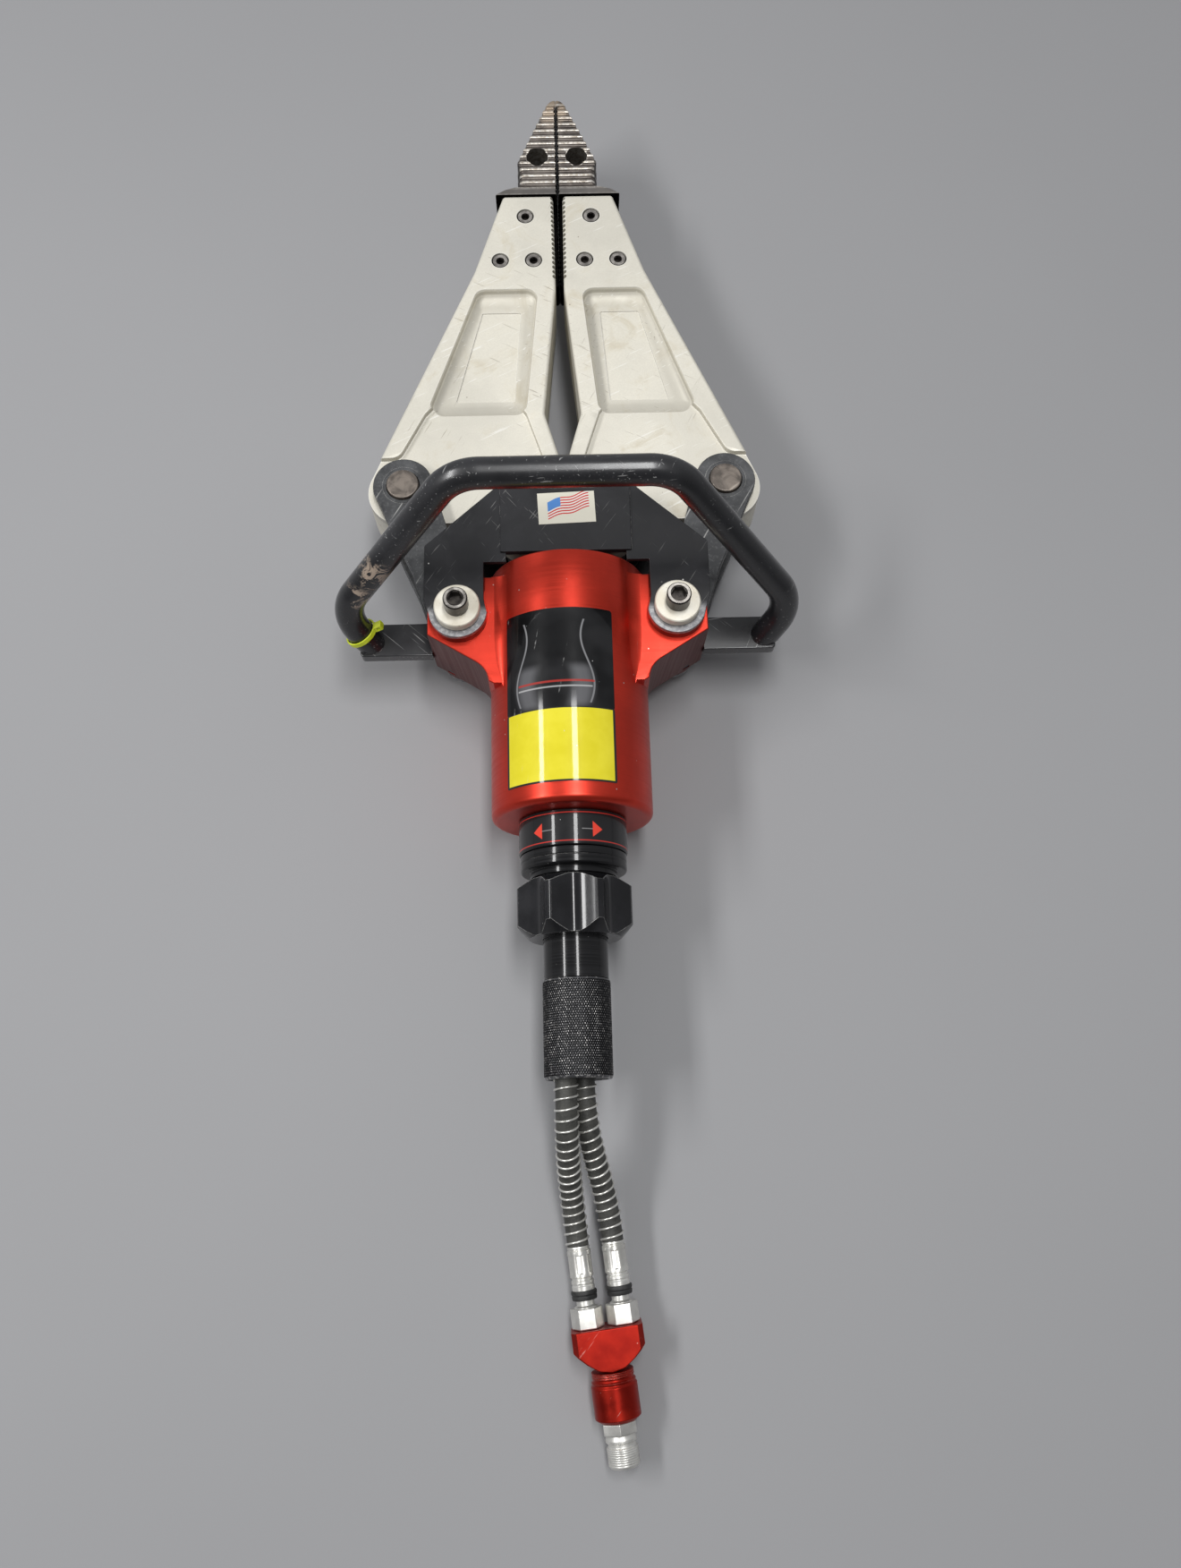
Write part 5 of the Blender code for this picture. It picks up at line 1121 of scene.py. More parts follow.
def sticker_print():
    """Cream film with a waving striped cloth and a blue corner."""

    def pattern(look, u, v):
        colour = (0.74, 0.71, 0.60)
        tilt = look.math("ADD", v, look.times(look.minus(u, 0.5), -0.42))
        wave = look.math("ADD", tilt, look.times(look.math("SINE", look.times(u, 13.0)), 0.035))
        inside = look.times(band(look, u, 0.17, 0.90, 0.008), band(look, wave, 0.30, 0.86, 0.008))
        stripe = look.math("FRACT", look.times(look.minus(wave, 0.30), 11.6))
        cloth = look.mix(band(look, stripe, 0.0, 0.5, 0.06), (0.80, 0.78, 0.72), (0.62, 0.07, 0.06))
        cloth = look.mix(
            look.times(band(look, u, 0.0, 0.40, 0.006), band(look, wave, 0.56, 0.9, 0.006)), cloth,
            (0.09, 0.25, 0.60),
        )
        return look.mix(inside, colour, cloth)

    return printed("sticker_print", pattern)


def floor_paint():
    look = Finish("floor_paint", roughness=0.75)
    floor = tuple(colours().floor)
    cloud = look.noise(1.4, 3, 0.5)
    colour = look.mix(look.range(cloud, 0.3, 0.7), tint(floor, 0.98), tint(floor, 1.02))
    return look.done(colour)


MADE = {}


def finish(make):
    """The material that a function makes, made once."""
    if make.__name__ not in MADE:
        MADE[make.__name__] = make()
    return MADE[make.__name__]


# Stage

STRIP_DISTANCE = 2.3
STRIP_LENGTH = 1.55
FLOOR_HALF = 5.0


def build_camera():
    spot = ORIGIN + Vector((0, -0.379, 0.855))
    aim = ORIGIN + Vector((0.0136, -0.1196, 0))
    forward = (aim - spot).normalized()
    level = forward.cross(Vector((0, 0, 1))).normalized()
    above = level.cross(forward)
    roll = math.atan(0.0241) - math.atan2(above.x, level.x)
    up = above * math.cos(roll) + level * math.sin(roll)
    right = level * math.cos(roll) - above * math.sin(roll)
    data = bpy.data.cameras.new("photo_camera")
    data.lens = 28.29
    data.sensor_width = 36
    data.clip_end = 50
    camera = bpy.data.objects.new("photo_camera", data)
    turn = Matrix((right, up, -forward)).transposed().to_4x4()
    camera.matrix_world = Matrix.Translation(spot) @ turn
    bpy.context.scene.collection.objects.link(camera)
    bpy.context.scene.camera = camera


def add_strip(name, tilt, width, power):
    """A long soft lamp above the tool, in line with it, tilted to one side by an angle."""
    data = bpy.data.lights.new(name, "AREA")
    data.shape = "RECTANGLE"
    data.size = width
    data.size_y = STRIP_LENGTH
    data.energy = power
    lamp = bpy.data.objects.new(name, data)
    away = Vector((math.sin(tilt), 0, math.cos(tilt)))
    place = Vector((0, ORIGIN.y, ORIGIN.z)) + away * STRIP_DISTANCE
    turn = Matrix(((away.z, 0, -away.x), (0, 1, 0), tuple(away))).transposed().to_4x4()
    lamp.matrix_world = Matrix.Translation(place) @ turn
    bpy.context.scene.collection.objects.link(lamp)


def build_stage():
    scene = bpy.context.scene
    scene.view_settings.view_transform = "Standard"
    floor = bpy.data.meshes.new("floor")
    corners = [(x * FLOOR_HALF, y * FLOOR_HALF, 0) for x, y in ((-1, -1), (1, -1), (1, 1), (-1, 1))]
    floor.from_pydata(corners, [], [(0, 1, 2, 3)])
    floor.materials.append(finish(floor_paint))
    loose(floor, "floor")
    world = bpy.data.worlds.new("studio")
    world.use_nodes = True
    nodes, links = world.node_tree.nodes, world.node_tree.links
    axes = nodes.new("ShaderNodeSeparateXYZ")
    links.new(nodes.new("ShaderNodeTexCoord").outputs["Generated"], axes.inputs[0])
    fade = nodes.new("ShaderNodeMapRange")
    for key, value in (("From Min", -0.75), ("From Max", 0.5), ("To Min", 0.16), ("To Max", 0.68)):
        fade.inputs[key].default_value = value
    links.new(axes.outputs["Y"], fade.inputs["Value"])
    links.new(fade.outputs["Result"], nodes["Background"].inputs["Strength"])
    nodes["Background"].inputs["Color"].default_value = (0.55, 0.56, 0.58, 1)
    scene.world = world
    add_strip("strip_right", math.radians(6), 0.30, 31)
    add_strip("strip_left", math.radians(-41.5), 0.25, 27)


# Hoses

HOSE_EXITS = {"left": (-0.0088, 0.0058), "right": (0.0036, -0.0062)}
HOSE_R = 0.0082
HOSE_COVER_R = HOSE_R - 0.0009
HOSE_STRAIGHT = 0.004
PORT_X = 0.012
FERRULE_Z = -0.0526


def hose_route(name, side):
    """The middle of a hose, from its end plate to its ferrule."""
    x, z = HOSE_EXITS[name]
    start = Vector((x, GRIP_REAR + 0.0057, z))
    out = Vector((x, GRIP_REAR - HOSE_STRAIGHT, z))
    end = COUPLER @ Vector((side * PORT_X, 0, FERRULE_Z - 0.0003))
    ahead = COUPLER.to_3x3() @ Vector((0, 0, HOSE_STRAIGHT))
    near = end - ahead
    pull = 0.42 * (near - out).length / HOSE_STRAIGHT
    first = out + Vector((0, -HOSE_STRAIGHT, 0)) * pull
    second = near - ahead * pull
    points = [start]
    for step in range(13):
        t = step / 12
        pulled = first * 3 * t * (1 - t) ** 2 + second * 3 * t * t * (1 - t)
        points.append(out * (1 - t) ** 3 + pulled + near * t**3)
    return [*points, end]


def build_hoses():
    for name, side in SIDES.items():
        route = [ORIGIN + point for point in hose_route(name, side)]
        curve = bpy.data.curves.new(f"hose_{name}_cover", "CURVE")
        curve.dimensions = "3D"
        curve.bevel_depth = HOSE_COVER_R
        curve.bevel_resolution = 5
        curve.use_fill_caps = True
        spline = curve.splines.new("POLY")
        spline.points.add(len(route) - 1)
        for point, place in zip(spline.points, route):
            point.co = (*place, 1)
        curve.materials.append(finish(hose_rubber))
        hose = loose(curve, f"hose_{name}_cover")
        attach(hose, "housing")
        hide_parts("hose_" + name)
        path = hose_route(name, side)
        fine = fine_path([path[0].lerp(path[1], 0.62), *path[1:]], 6)
        wire = sizes().coil_wire
        guard = coiled(fine, finish(bright_steel), HOSE_COVER_R + wire * 0.6, wire, sizes().coil_pitch)
        guard = piece(f"hose_{name}_guard", guard, bright_steel, sharp=60)
        rigid = ["ferrule", "boot_ring", "hose_nut"]
        pieces = [guard] + [f"{kind}_{name}" for kind in rigid]
        if name == "right":
            pieces += ["coupler_manifold", "coupler_collar", "coupler_nipple", "coupler_poppet"]


def fine_path(points, steps):
    """A smooth path through the points with steps spans between each two."""
    result = []
    spots = [Vector(point) for point in points]
    for index in range(len(spots) - 1):
        before = spots[max(index - 1, 0)]
        first, second = spots[index], spots[index + 1]
        after = spots[min(index + 2, len(spots) - 1)]
        for step in range(steps):
            t = step / steps
            result.append(
                0.5
                * (
                    2 * first
                    + (second - before) * t
                    + (2 * before - 5 * first + 4 * second - after) * t * t
                    + (3 * first - before - 3 * second + after) * t**3
                )
            )
    result.append(spots[-1])
    return result


# Coupler


def hexagon(radius):
    return arc((0, 0), radius, 0, 360, 6)[:-1]


def build_coupler():
    for name, side in SIDES.items():
        port = COUPLER @ beside(side * PORT_X)
        nut = solid([rounded(hexagon(0.011), 0.0005, 2)], edge_layers(-0.0135, -0.0003, 0.0009, 3), port)
        cone = turned(
            rounded(
                [(0, -0.0194), (0.0060, -0.0194), (0.0060, -0.0150), (0.0088, -0.0132), (0, -0.0128)],
                0.0004, 2, False,
            ),
            48, port,
        )
        piece(
            f"hose_nut_{name}_fitting", joined(nut, cone), bright_steel,
            stands_for=["hose_nut_" + name],
        )
        boot = turned(
            rounded(
                [
                    (0, -0.0244), (0.0088, -0.0244), (0.0088, -0.0219), (0.0080, -0.0214),
                    (0.0087, -0.0209), (0.0084, -0.0183), (0, -0.0183),
                ],
                0.0006, 2, False,
            ),
            48, port,
        )
        piece(f"boot_ring_{name}_seal", boot, rubber, stands_for=["boot_ring_" + name])
        piece(
            f"ferrule_{name}_crimp", crimped_ferrule(port), bright_steel,
            stands_for=["ferrule_" + name],
        )
    build_manifold()
    collar = [
        (0, 0.0273), (0.0138, 0.0273), (0.0144, 0.0279), (0.0138, 0.0286), (0.0144, 0.0293),
        (0.0138, 0.0300), (0.0144, 0.0307), (0.0138, 0.0314), (0.0138, 0.0326), (0.0150, 0.0336),
        (0.0146, 0.0350), (0.0155, 0.0364), (0.0155, 0.0562), (0.0128, 0.0583), (0, 0.0583),
    ]
    piece(
        "coupler_collar_sleeve", turned(rounded(collar, 0.0006, 2, False), 96, COUPLER),
        coupler_red, stands_for=["coupler_collar"],
    )
    hexed = solid(
        [turned_by(rounded(hexagon(0.0125), 0.0006, 2), 30)], edge_layers(0.0586, 0.0664, 0.0011, 3), COUPLER
    )
    nose = [(0, 0.0684), (0.0060, 0.0684), (0.0060, 0.0866), (0.0092, 0.0866), (0.0105, 0.0850)]
    height = 0.0842
    while height > 0.0752:
        nose += [(0.0105, height), (0.0102, height - 0.0003), (0.0105, height - 0.0006)]
        height -= 0.0014
    nose += [
        (0.0105, 0.0744), (0.0092, 0.0736), (0.0092, 0.0716), (0.0105, 0.0708), (0.0105, 0.0692),
        (0.0096, 0.0668), (0.0096, 0.0640), (0, 0.0640),
    ]
    piece(
        "coupler_nipple_fitting",
        joined(hexed, turned(rounded(nose, 0.0004, 2, False), 72, COUPLER)), bright_steel,
        stands_for=["coupler_nipple"],
    )


def turned_by(outline, degrees):
    turn = Matrix.Rotation(math.radians(degrees), 2)
    return [tuple(turn @ Vector(point)) for point in outline]


def crimped_ferrule(port):
    """A swaged sleeve: a bead behind the hose, six shallow crimps and a plain collar."""
    work = bmesh.new()
    rows = []
    profile = [
        (-0.0526, 0.0070, 0),
        (-0.0526, 0.0075, 0),
        (-0.0516, 0.0078, 0),
        (-0.0510, 0.0074, 0),
        (-0.0504, 0.0074, 0),
        (-0.0498, 0.0081, 0),
        (-0.0474, 0.0081, 0),
        (-0.0468, 0.0074, 1),
        (-0.0400, 0.0074, 1),
        (-0.0358, 0.0074, 1),
        (-0.0350, 0.0080, 0),
        (-0.0332, 0.0080, 0),
        (-0.0324, 0.0070, 0),
        (-0.0312, 0.0070, 0),
        (-0.0306, 0.0077, 0),
        (-0.0290, 0.0077, 0),
        (-0.0284, 0.0073, 0),
        (-0.0278, 0.0073, 0),
        (-0.0272, 0.0077, 0),
        (-0.0246, 0.0077, 0),
        (-0.0242, 0.0068, 0),
    ]
    for height, radius, crimp in profile:
        row = []
        for angle in round_turn(64):
            flat = abs(math.sin(angle * 3)) ** 3 if crimp else 0
            size = radius + 0.0005 * crimp - 0.0006 * flat
            row.append(work.verts.new((size * math.cos(angle), size * math.sin(angle), height)))
        rows.append(row)
    skin(work, rows, ends=True)
    bmesh.ops.transform(work, matrix=port, verts=work.verts)
    return as_mesh(work)


def build_manifold():
    """The twin-port block with chamfered ends and rounded shoulders."""
    flat_turn = COUPLER @ Matrix.Rotation(-math.pi / 2, 4, "X")
    wide = 0.024
    outline = [
        (-wide, 0), (-wide, -0.013), (-wide * 0.66, -0.0205), (-0.0085, -0.0255), (0, -0.027),
        (0.0085, -0.0255), (wide * 0.66, -0.0205), (wide, -0.013), (wide, 0),
    ]
    block = plate(
        [rounded(outline, [0, 0.002, 0.006, 0.006, 0, 0.006, 0.006, 0.002, 0], 4)], -0.0135, 0.0135,
        0.0008, flat_turn,
    )
    for side in SIDES.values():
        for up in (-1, 1):
            corner = [
                (side * (wide + 0.003), up * 0.0165), (side * (wide - 0.006), up * 0.0165),
                (side * (wide + 0.003), up * 0.0060),
            ]
            if side * up < 0:
                corner.reverse()
            block = carved(block, plate([corner], -0.002, 0.030, 0, COUPLER))
    piece(
        "coupler_manifold_block", softened(block, 0.0005, 25), coupler_red,
        stands_for=["coupler_manifold"],
    )


# Cylinder and its panels


EAR_X = PIVOT_X + 0.023
EAR_FLAT_X = CYLINDER_R + 0.003
EAR_ROOT_FRONT = 0.0305
EAR_Z = 0.034
LEAF_Z = 0.031
HUB_Z = 0.020
BOSS_Z = 0.0395
ROOM_R = 0.022


def ear_outline():
    """An ear seen from above, with a hollow where it meets the barrel."""
    fillet = arc((EAR_FLAT_X + 0.0165, -0.053), 0.020, 174, 122, 14)
    return [
        (0.040, EAR_ROOT_FRONT), (0.040, -0.0530), (0.054, -0.0530), *fillet,
        (EAR_X, -0.0142), (EAR_X, 0.012), (EAR_X - 0.010, 0.020), (EAR_FLAT_X, 0.020),
        (EAR_FLAT_X, EAR_ROOT_FRONT),
    ]


FLANK = (
    (EAR_ROOT_FRONT, 0.018), (-0.016, 0.018), (-0.028, 0.0165), (-0.038, 0.013), (-0.046, 0.008),
    (-0.052, 0.003), (-0.055, 0.001),
)


def flank(side):
    """The hollow curve between the barrel and the flats of an ear. It runs out at the rear."""
    strips = []
    for up in (1, -1):
        work = bmesh.new()
        rows = []
        for along, hollow in FLANK:
            z = EAR_Z + hollow - 0.0001
            x = math.sqrt((CYLINDER_R + hollow - 0.0001) ** 2 - z**2)
            turn = math.degrees(math.atan2(z, x))
            points = [(0.036, 0.020), (x, 0.020), *arc((x, z), hollow, 270, 180 + turn, 12)]
            rows.append([work.verts.new((side * px, along, up * pz)) for px, pz in points])
        skin(work, rows, ends=True)
        strips.append(as_mesh(work))
    return strips


def link_room():
    """The room that a link plate has inside an ear."""
    edge = arc((PIVOT_X, 0), ROOM_R, 180, 340, 30)
    past = EAR_X + 0.01
    return [*edge, (past, edge[-1][1]), (past, CYLINDER_FRONT), (PIVOT_X - ROOM_R, CYLINDER_FRONT)]


def build_cylinder():
    profile = rounded(
        [
            (0.044, CYLINDER_FRONT), (CYLINDER_R, CYLINDER_FRONT), (CYLINDER_R, CYLINDER_REAR),
            (0, CYLINDER_REAR), (0, CYLINDER_REAR + 0.020), (0.044, CYLINDER_REAR + 0.020),
        ],
        [0, 0.0012, 0.0050, 0, 0, 0],
        8,
    )
    barrel = turned(profile, 160, ALONG_Y, closed=True)
    parts = []
    for side in SIDES.values():
        ear = plate([mirrored(ear_outline(), side)], -EAR_Z, EAR_Z, 0.0012)
        past = EAR_X + 0.01
        front = [(EAR_FLAT_X, 0.0105), (past, 0.0105), (past, 0.05), (EAR_FLAT_X, 0.05)]
        for low, high in ((LEAF_Z, 0.05), (-0.05, -LEAF_Z)):
            ear = carved(ear, plate([mirrored(front, side)], low, high, 0))
        for vert in ear.vertices:
            if vert.co.z < 0 and vert.co.y < 0.004:
                vert.co.y += 0.003 * min((0.004 - vert.co.y) / 0.018, 1)
        parts += [ear, *flank(side)]
        at = beside(side * PIVOT_X)
        parts.append(disc(-BOSS_Z, BOSS_Z, 0.021, 0.0006, 96, at))
    body = carved(barrel, *parts, operation="UNION")
    holes = [disc(-0.128, 0.05, 0.044, 0, 96)]
    for side in SIDES.values():
        holes.append(disc(-0.05, 0.05, PIVOT_BORE, 0, 48, beside(side * PIVOT_X)))
        for low, high in ((HUB_Z, LEAF_Z), (-LEAF_Z, -HUB_Z)):
            holes.append(plate([mirrored(link_room(), side)], low, high, 0))
    piece(
        "cylinder_barrel", carved(body, *holes), red_anodised,
        stands_for=["cylinder_body"], sharp=28,
    )


FILM_STEPS = 48


def curved_film(name, radius, x_low, x_high, y_low, y_high, corner, look, thick=0.00012):
    """A film laid round the cylinder, with rounded corners and its own UV map."""
    left = math.asin(x_low / radius)
    right = math.asin(x_high / radius)
    width = (right - left) * radius
    height = y_high - y_low
    edge = rounded([(0, 0), (width, 0), (width, height), (0, height)], corner, 5)
    work = bmesh.new()
    rows = []
    for depth in (-0.00005, thick):
        rows.append([work.verts.new((x, y, depth)) for x, y in edge])
    skin(work, rows)
    for row in rows:
        bmesh.ops.triangle_fill(work, use_beauty=True, edges=row_edges(work, row))
    for step in range(1, FILM_STEPS):
        cut_x = width * step / FILM_STEPS
        geometry = work.verts[:] + work.edges[:] + work.faces[:]
        bmesh.ops.bisect_plane(work, geom=geometry, plane_co=(cut_x, 0, 0), plane_no=(1, 0, 0))
    layer = work.loops.layers.uv.new("UVMap")
    for face in work.faces:
        for loop in face.loops:
            loop[layer].uv = (loop.vert.co.x / width, loop.vert.co.y / height)
    for vert in work.verts:
        angle = left + vert.co.x / radius
        out = radius + vert.co.z
        vert.co = Vector((out * math.sin(angle), y_low + vert.co.y, out * math.cos(angle)))
    piece(name, as_mesh(work), look, sharp=40)


def build_panels():
    curved_film("panel_upper", CYLINDER_R, -0.0440, 0.0312, -0.0815, -0.006, 0.0022, panel_black)
    curved_film("panel_lower", CYLINDER_R, -0.0440, 0.0312, -0.1345, -0.0808, 0.0012, panel_yellow, 0.00022)


# Front covers


COVER_X = PIVOT_X + 0.0246
COVER_LOW = 0.040
COVER_HIGH = 0.044


def cover_outline():
    neck_x = PIVOT_X - 0.0186
    half = [
        (0.050, 0.100), (COVER_X, 0.0516), (COVER_X, 0.0084),
        *arc((PIVOT_X, 0), 0.021, -5, -175, 24),
        (neck_x, 0.0084), (neck_x, 0.0376), (0.044, 0.0376), (0.044, 0.045),
    ]
    outline = half + [(-x, y) for x, y in reversed(half)]
    return list(reversed(outline))


def build_covers():
    for level, up in (("top", 1), ("bottom", -1)):
        flip = UPRIGHT if up > 0 else Matrix.Rotation(math.pi, 4, "Y")
        bores = [hole((side * PIVOT_X, 0), PIVOT_BORE, 48) for side in SIDES.values()]
        sheet = plate([cover_outline(), *bores], COVER_LOW, COVER_HIGH, 0.0005, flip)
        block_edge = [(-0.048, 0.0447), (0.048, 0.0447), (0.048, 0.0997), (-0.048, 0.0997)]
        block = plate([rounded(block_edge, 0.0008, 2)], 0.0405, 0.046, 0.0005, flip)
        parts = [sheet, block]
        lip_out, lip_in = COVER_X - 0.0003, COVER_X - 0.0043
        for side in SIDES.values():
            lip = [(lip_in, 0.0126), (lip_out, 0.0126), (lip_out, 0.0513), (lip_in, 0.0513)]
            parts.append(plate([mirrored(lip, side)], 0.032, 0.0425, 0.0005, flip))
        piece(
            f"front_cover_{level}_plate", joined(*parts), cover_paint,
            stands_for=["front_cover_" + level],
        )
    work = bmesh.new()
    layer = work.loops.layers.uv.new("UVMap")
    corners = ((-0.0195, 0.0660), (0.0225, 0.0675), (0.0215, 0.0930), (-0.0205, 0.0915))
    rows = [[work.verts.new((x, y, height)) for x, y in corners] for height in (0.04595, 0.04615)]
    skin(work, rows, ends=True)
    for face in work.faces:
        for loop in face.loops:
            index = rows[0].index(loop.vert) if loop.vert in rows[0] else rows[1].index(loop.vert)
            loop[layer].uv = ((0, 0), (1, 0), (1, 1), (0, 1))[index]
    piece("cover_sticker", as_mesh(work), sticker_print)


# Pivots, links and pins


def socket_head(low, high, radius, socket, depth, place, segments=64):
    """A cap screw's head with a hexagon socket."""
    profile = [
        (0, low), (radius, low), (radius, high - 0.0008), (radius - 0.0008, high),
        (socket * 1.22, high), (socket * 1.1, high - 0.0006), (0, high - 0.0006),
    ]
    head = turned(profile, segments, UPRIGHT)
    head = carved(head, plate([hexagon(socket * 1.12)], high - depth, high + 0.002, 0))
    worn = head.attributes.new("worn", "FLOAT", "FACE")
    for face in head.polygons:
        worn.data[face.index].value = 1.0 if face.normal.z > 0.5 and face.center.z > high - 0.0003 else 0.0
    head.transform(place)
    return head


def build_pivots():
    for name, side in SIDES.items():
        at = beside(side * PIVOT_X)
        shank = turned(
            [
                (0, 0.0523), (0.006, 0.0523), (0.006, 0.0440), (0.009, 0.0437), (0.009, -0.0437),
                (0.006, -0.0440), (0.006, -0.0618), (0.0052, -0.0623), (0, -0.0623),
            ],
            48, at,
        )
        head = socket_head(0.0523, 0.0643, 0.00875, 0.0050, 0.0065, at)
        piece(
            f"pivot_bolt_{name}_screw", joined(head, shank), bolt_steel,
            stands_for=["pivot_bolt_" + name],
        )
        washer = turned(
            rounded(
                [
                    (0.0063, 0.0443), (0.0158, 0.0443), (0.0165, 0.0450), (0.0165, 0.0512),
                    (0.0157, 0.0520), (0.0063, 0.0520),
                ],
                0.0003, 2,
            ),
            72, at, closed=True,
        )
        piece(
            f"pivot_washer_{name}_disc", washer, washer_plate,
            stands_for=["pivot_washer_" + name],
        )
        flange = ring(-0.0520, -0.0443, 0.0063, 0.0165, 0.0006, 72, at)
        nut = solid(
            [rounded(hexagon(0.0135), 0.0005, 2), hole((0, 0), 0.0063, 48)],
            edge_layers(-0.0623, -0.0518, 0.0007, 2), at,
        )
        piece(
            f"pivot_nut_{name}_hexagon", joined(flange, nut), bright_steel,
            stands_for=["pivot_nut_" + name],
        )


def link_outline():
    far = Vector((PIN_X - PIVOT_X, PIN_Y))
    heading = math.degrees(math.atan2(far.y, far.x))
    across = Vector((far.y, -far.x)).normalized()
    centre = far * 0.42
    out = centre + across * (LINK_R - 0.007 * 0.35)
    inside = centre - across * (LINK_R - 0.011 * 0.5)
    points = arc((0, 0), LINK_R, heading + 95, heading + 265, 30)
    points.append(tuple(out))
    points += arc(tuple(far), 0.0225, heading - 85, heading + 85, 30)
    points.append(tuple(inside))
    return [(x + PIVOT_X, y) for x, y in points]


def build_links():
    for name, side in SIDES.items():
        holes = [hole((side * PIVOT_X, 0), PIVOT_BORE, 48), hole((side * PIN_X, PIN_Y), LINK_PIN_BORE, 64)]
        outlines = [mirrored(link_outline(), side), *holes]
        at = beside(side * PIN_X, PIN_Y)
        for level, up in (("upper", 1), ("lower", -1)):
            low, high = sorted((up * 0.0205, up * 0.0305))
            web = plate(outlines, low, high, 0.0007)
            rim = ring(*sorted((up * 0.0302, up * 0.0309)), 0.0126, 0.0152, 0.0003, 72, at)
            body = "link_" + name
            piece(
                f"link_{level}_{name}_plate", joined(web, rim), link_steel, body,
                [f"link_{level}_{name}"],
            )
        pin = turned(
            rounded([(0, -0.033), (0.012, -0.033), (0.012, 0.033), (0, 0.033)], 0.0010, 4, False), 72, at
        )
        piece(f"link_pin_{name}_shaft", pin, pin_brown, "link_" + name, ["link_pin_" + name])


# Arms and tips


ARM_INNER = 0.0038
TEETH_PITCH = 0.0045


def arm_outline():
    pin = (PIN_X, PIN_Y)
    lug = (CROSS_X, CROSS_Y)
    corners = [
        (ARM_INNER, ARM_FRONT), (0.0032, 0.2885), (0.014, 0.174), (0.0045, 0.140), (0.002, 0.127),
        (0.003, CROSS_Y + 0.028),
    ]
    corners = [(0.045, ARM_FRONT), *corners, (CROSS_X - 0.014, CROSS_Y + 0.008)]
    inside = rounded(corners, [0, 0.0031, 0.04, 0.012, 0.004, 0.004, 0.004, 0], 5, False)
    corners = [
        (PIN_X + 0.0255, PIN_Y + 0.0105), (0.1398, 0.1386), (0.0686, 0.306), (0.045, ARM_FRONT),
        (ARM_INNER, ARM_FRONT),
    ]
    outside = rounded(corners, [0, 0.0031, 0.03, 0.0031, 0], 5, False)
    return [
        *inside[1:-1], *arc(lug, 0.016, 150, 290, 20), (CROSS_X + 0.034, PIN_Y - 0.0265),
        *arc(pin, 0.0275, -90, 22, 24), *outside[1:-1],
    ]


def recess_cutter(side, up):
    """The lowered face of an arm between its rims, with a rounded upper edge."""
    corners = [
        (-0.012, 0.050), (0.168, 0.050), (0.168, 0.137), (0.1262, 0.1372), (0.1066, 0.1755),
        (0.0980, 0.1850), (0.0360, 0.1850), (0.0282, 0.1745), (0.0115, 0.122), (0.0120, 0.096),
        (-0.012, 0.096),
    ]
    edge = rounded(corners, [0, 0, 0, 0.010, 0.002, 0.002, 0.002, 0.002, 0.008, 0.002, 0], 6)
    layers = [
        (0.020, 0.0012), (0.0203, 0.0004), (0.0210, 0), (0.0240, 0), (0.0246, -0.0002),
        (0.0250, -0.0009), (0.027, -0.0012),
    ]
    return flipped_solid(edge, layers, side, up)


def flipped_solid(edge, layers, side, up):
    outline = mirrored(edge, side)
    if up < 0:
        layers = [(-height, inset) for height, inset in reversed(layers)]
    return solid([outline], layers)


def pocket_cutter(side, up):
    """The pocket: a crisp edge, a wall that curves in to a flat floor, and a fine step round the floor."""
    corners = [(0.0176, 0.2885), (0.0284, 0.1745), (0.1057, 0.1745), (0.066, 0.2885)]
    floor = [(0.0321, 0.2725), (0.0378, 0.1910), (0.0829, 0.1910), (0.0626, 0.2725)]
    levels = [(0.0275, -0.0012, 0), (0.0251, -0.0006, 0), (0.0243, 0, 0)]
    count = 9
    for step in range(count + 1):
        turn = math.pi / 2 * step / count
        levels.append((0.0215 - 0.0056 * math.sin(turn), 0, 0.04 + 0.92 * (1 - math.cos(turn))))
    levels += [(0.0157, 0, 0.975), (0.0149, 0, 0.985), (0.0148, 0, 1)]
    work = bmesh.new()
    rows = []
    for height, inset, share in levels:
        place = []
        for rim, flat in zip(offset(corners, inset), floor):
            place.append((rim[0] + (flat[0] - rim[0]) * share, rim[1] + (flat[1] - rim[1]) * share))
        loop = rounded(place, 0.0088 - 0.0076 * share, 6)
        rows.append([work.verts.new((side * x, y, up * height)) for x, y in loop])
    skin(work, rows, ends=True)
    return as_mesh(work)


def build_arms():
    for name, side in SIDES.items():
        arm = plate([mirrored(arm_outline(), side)], -ARM_HALF, ARM_HALF, sizes().arm_round, steps=4)
        cutters = []
        for up in (1, -1):
            cutters += [recess_cutter(side, up), pocket_cutter(side, up)]
        arm = carved(arm, *cutters)
        arm = carved(arm, *inner_cutters(side))
        piece(
            f"arm_{name}_casting", arm, arm_aluminium, "arm_" + name,
            ["arm_" + name], sharp=34,
        )


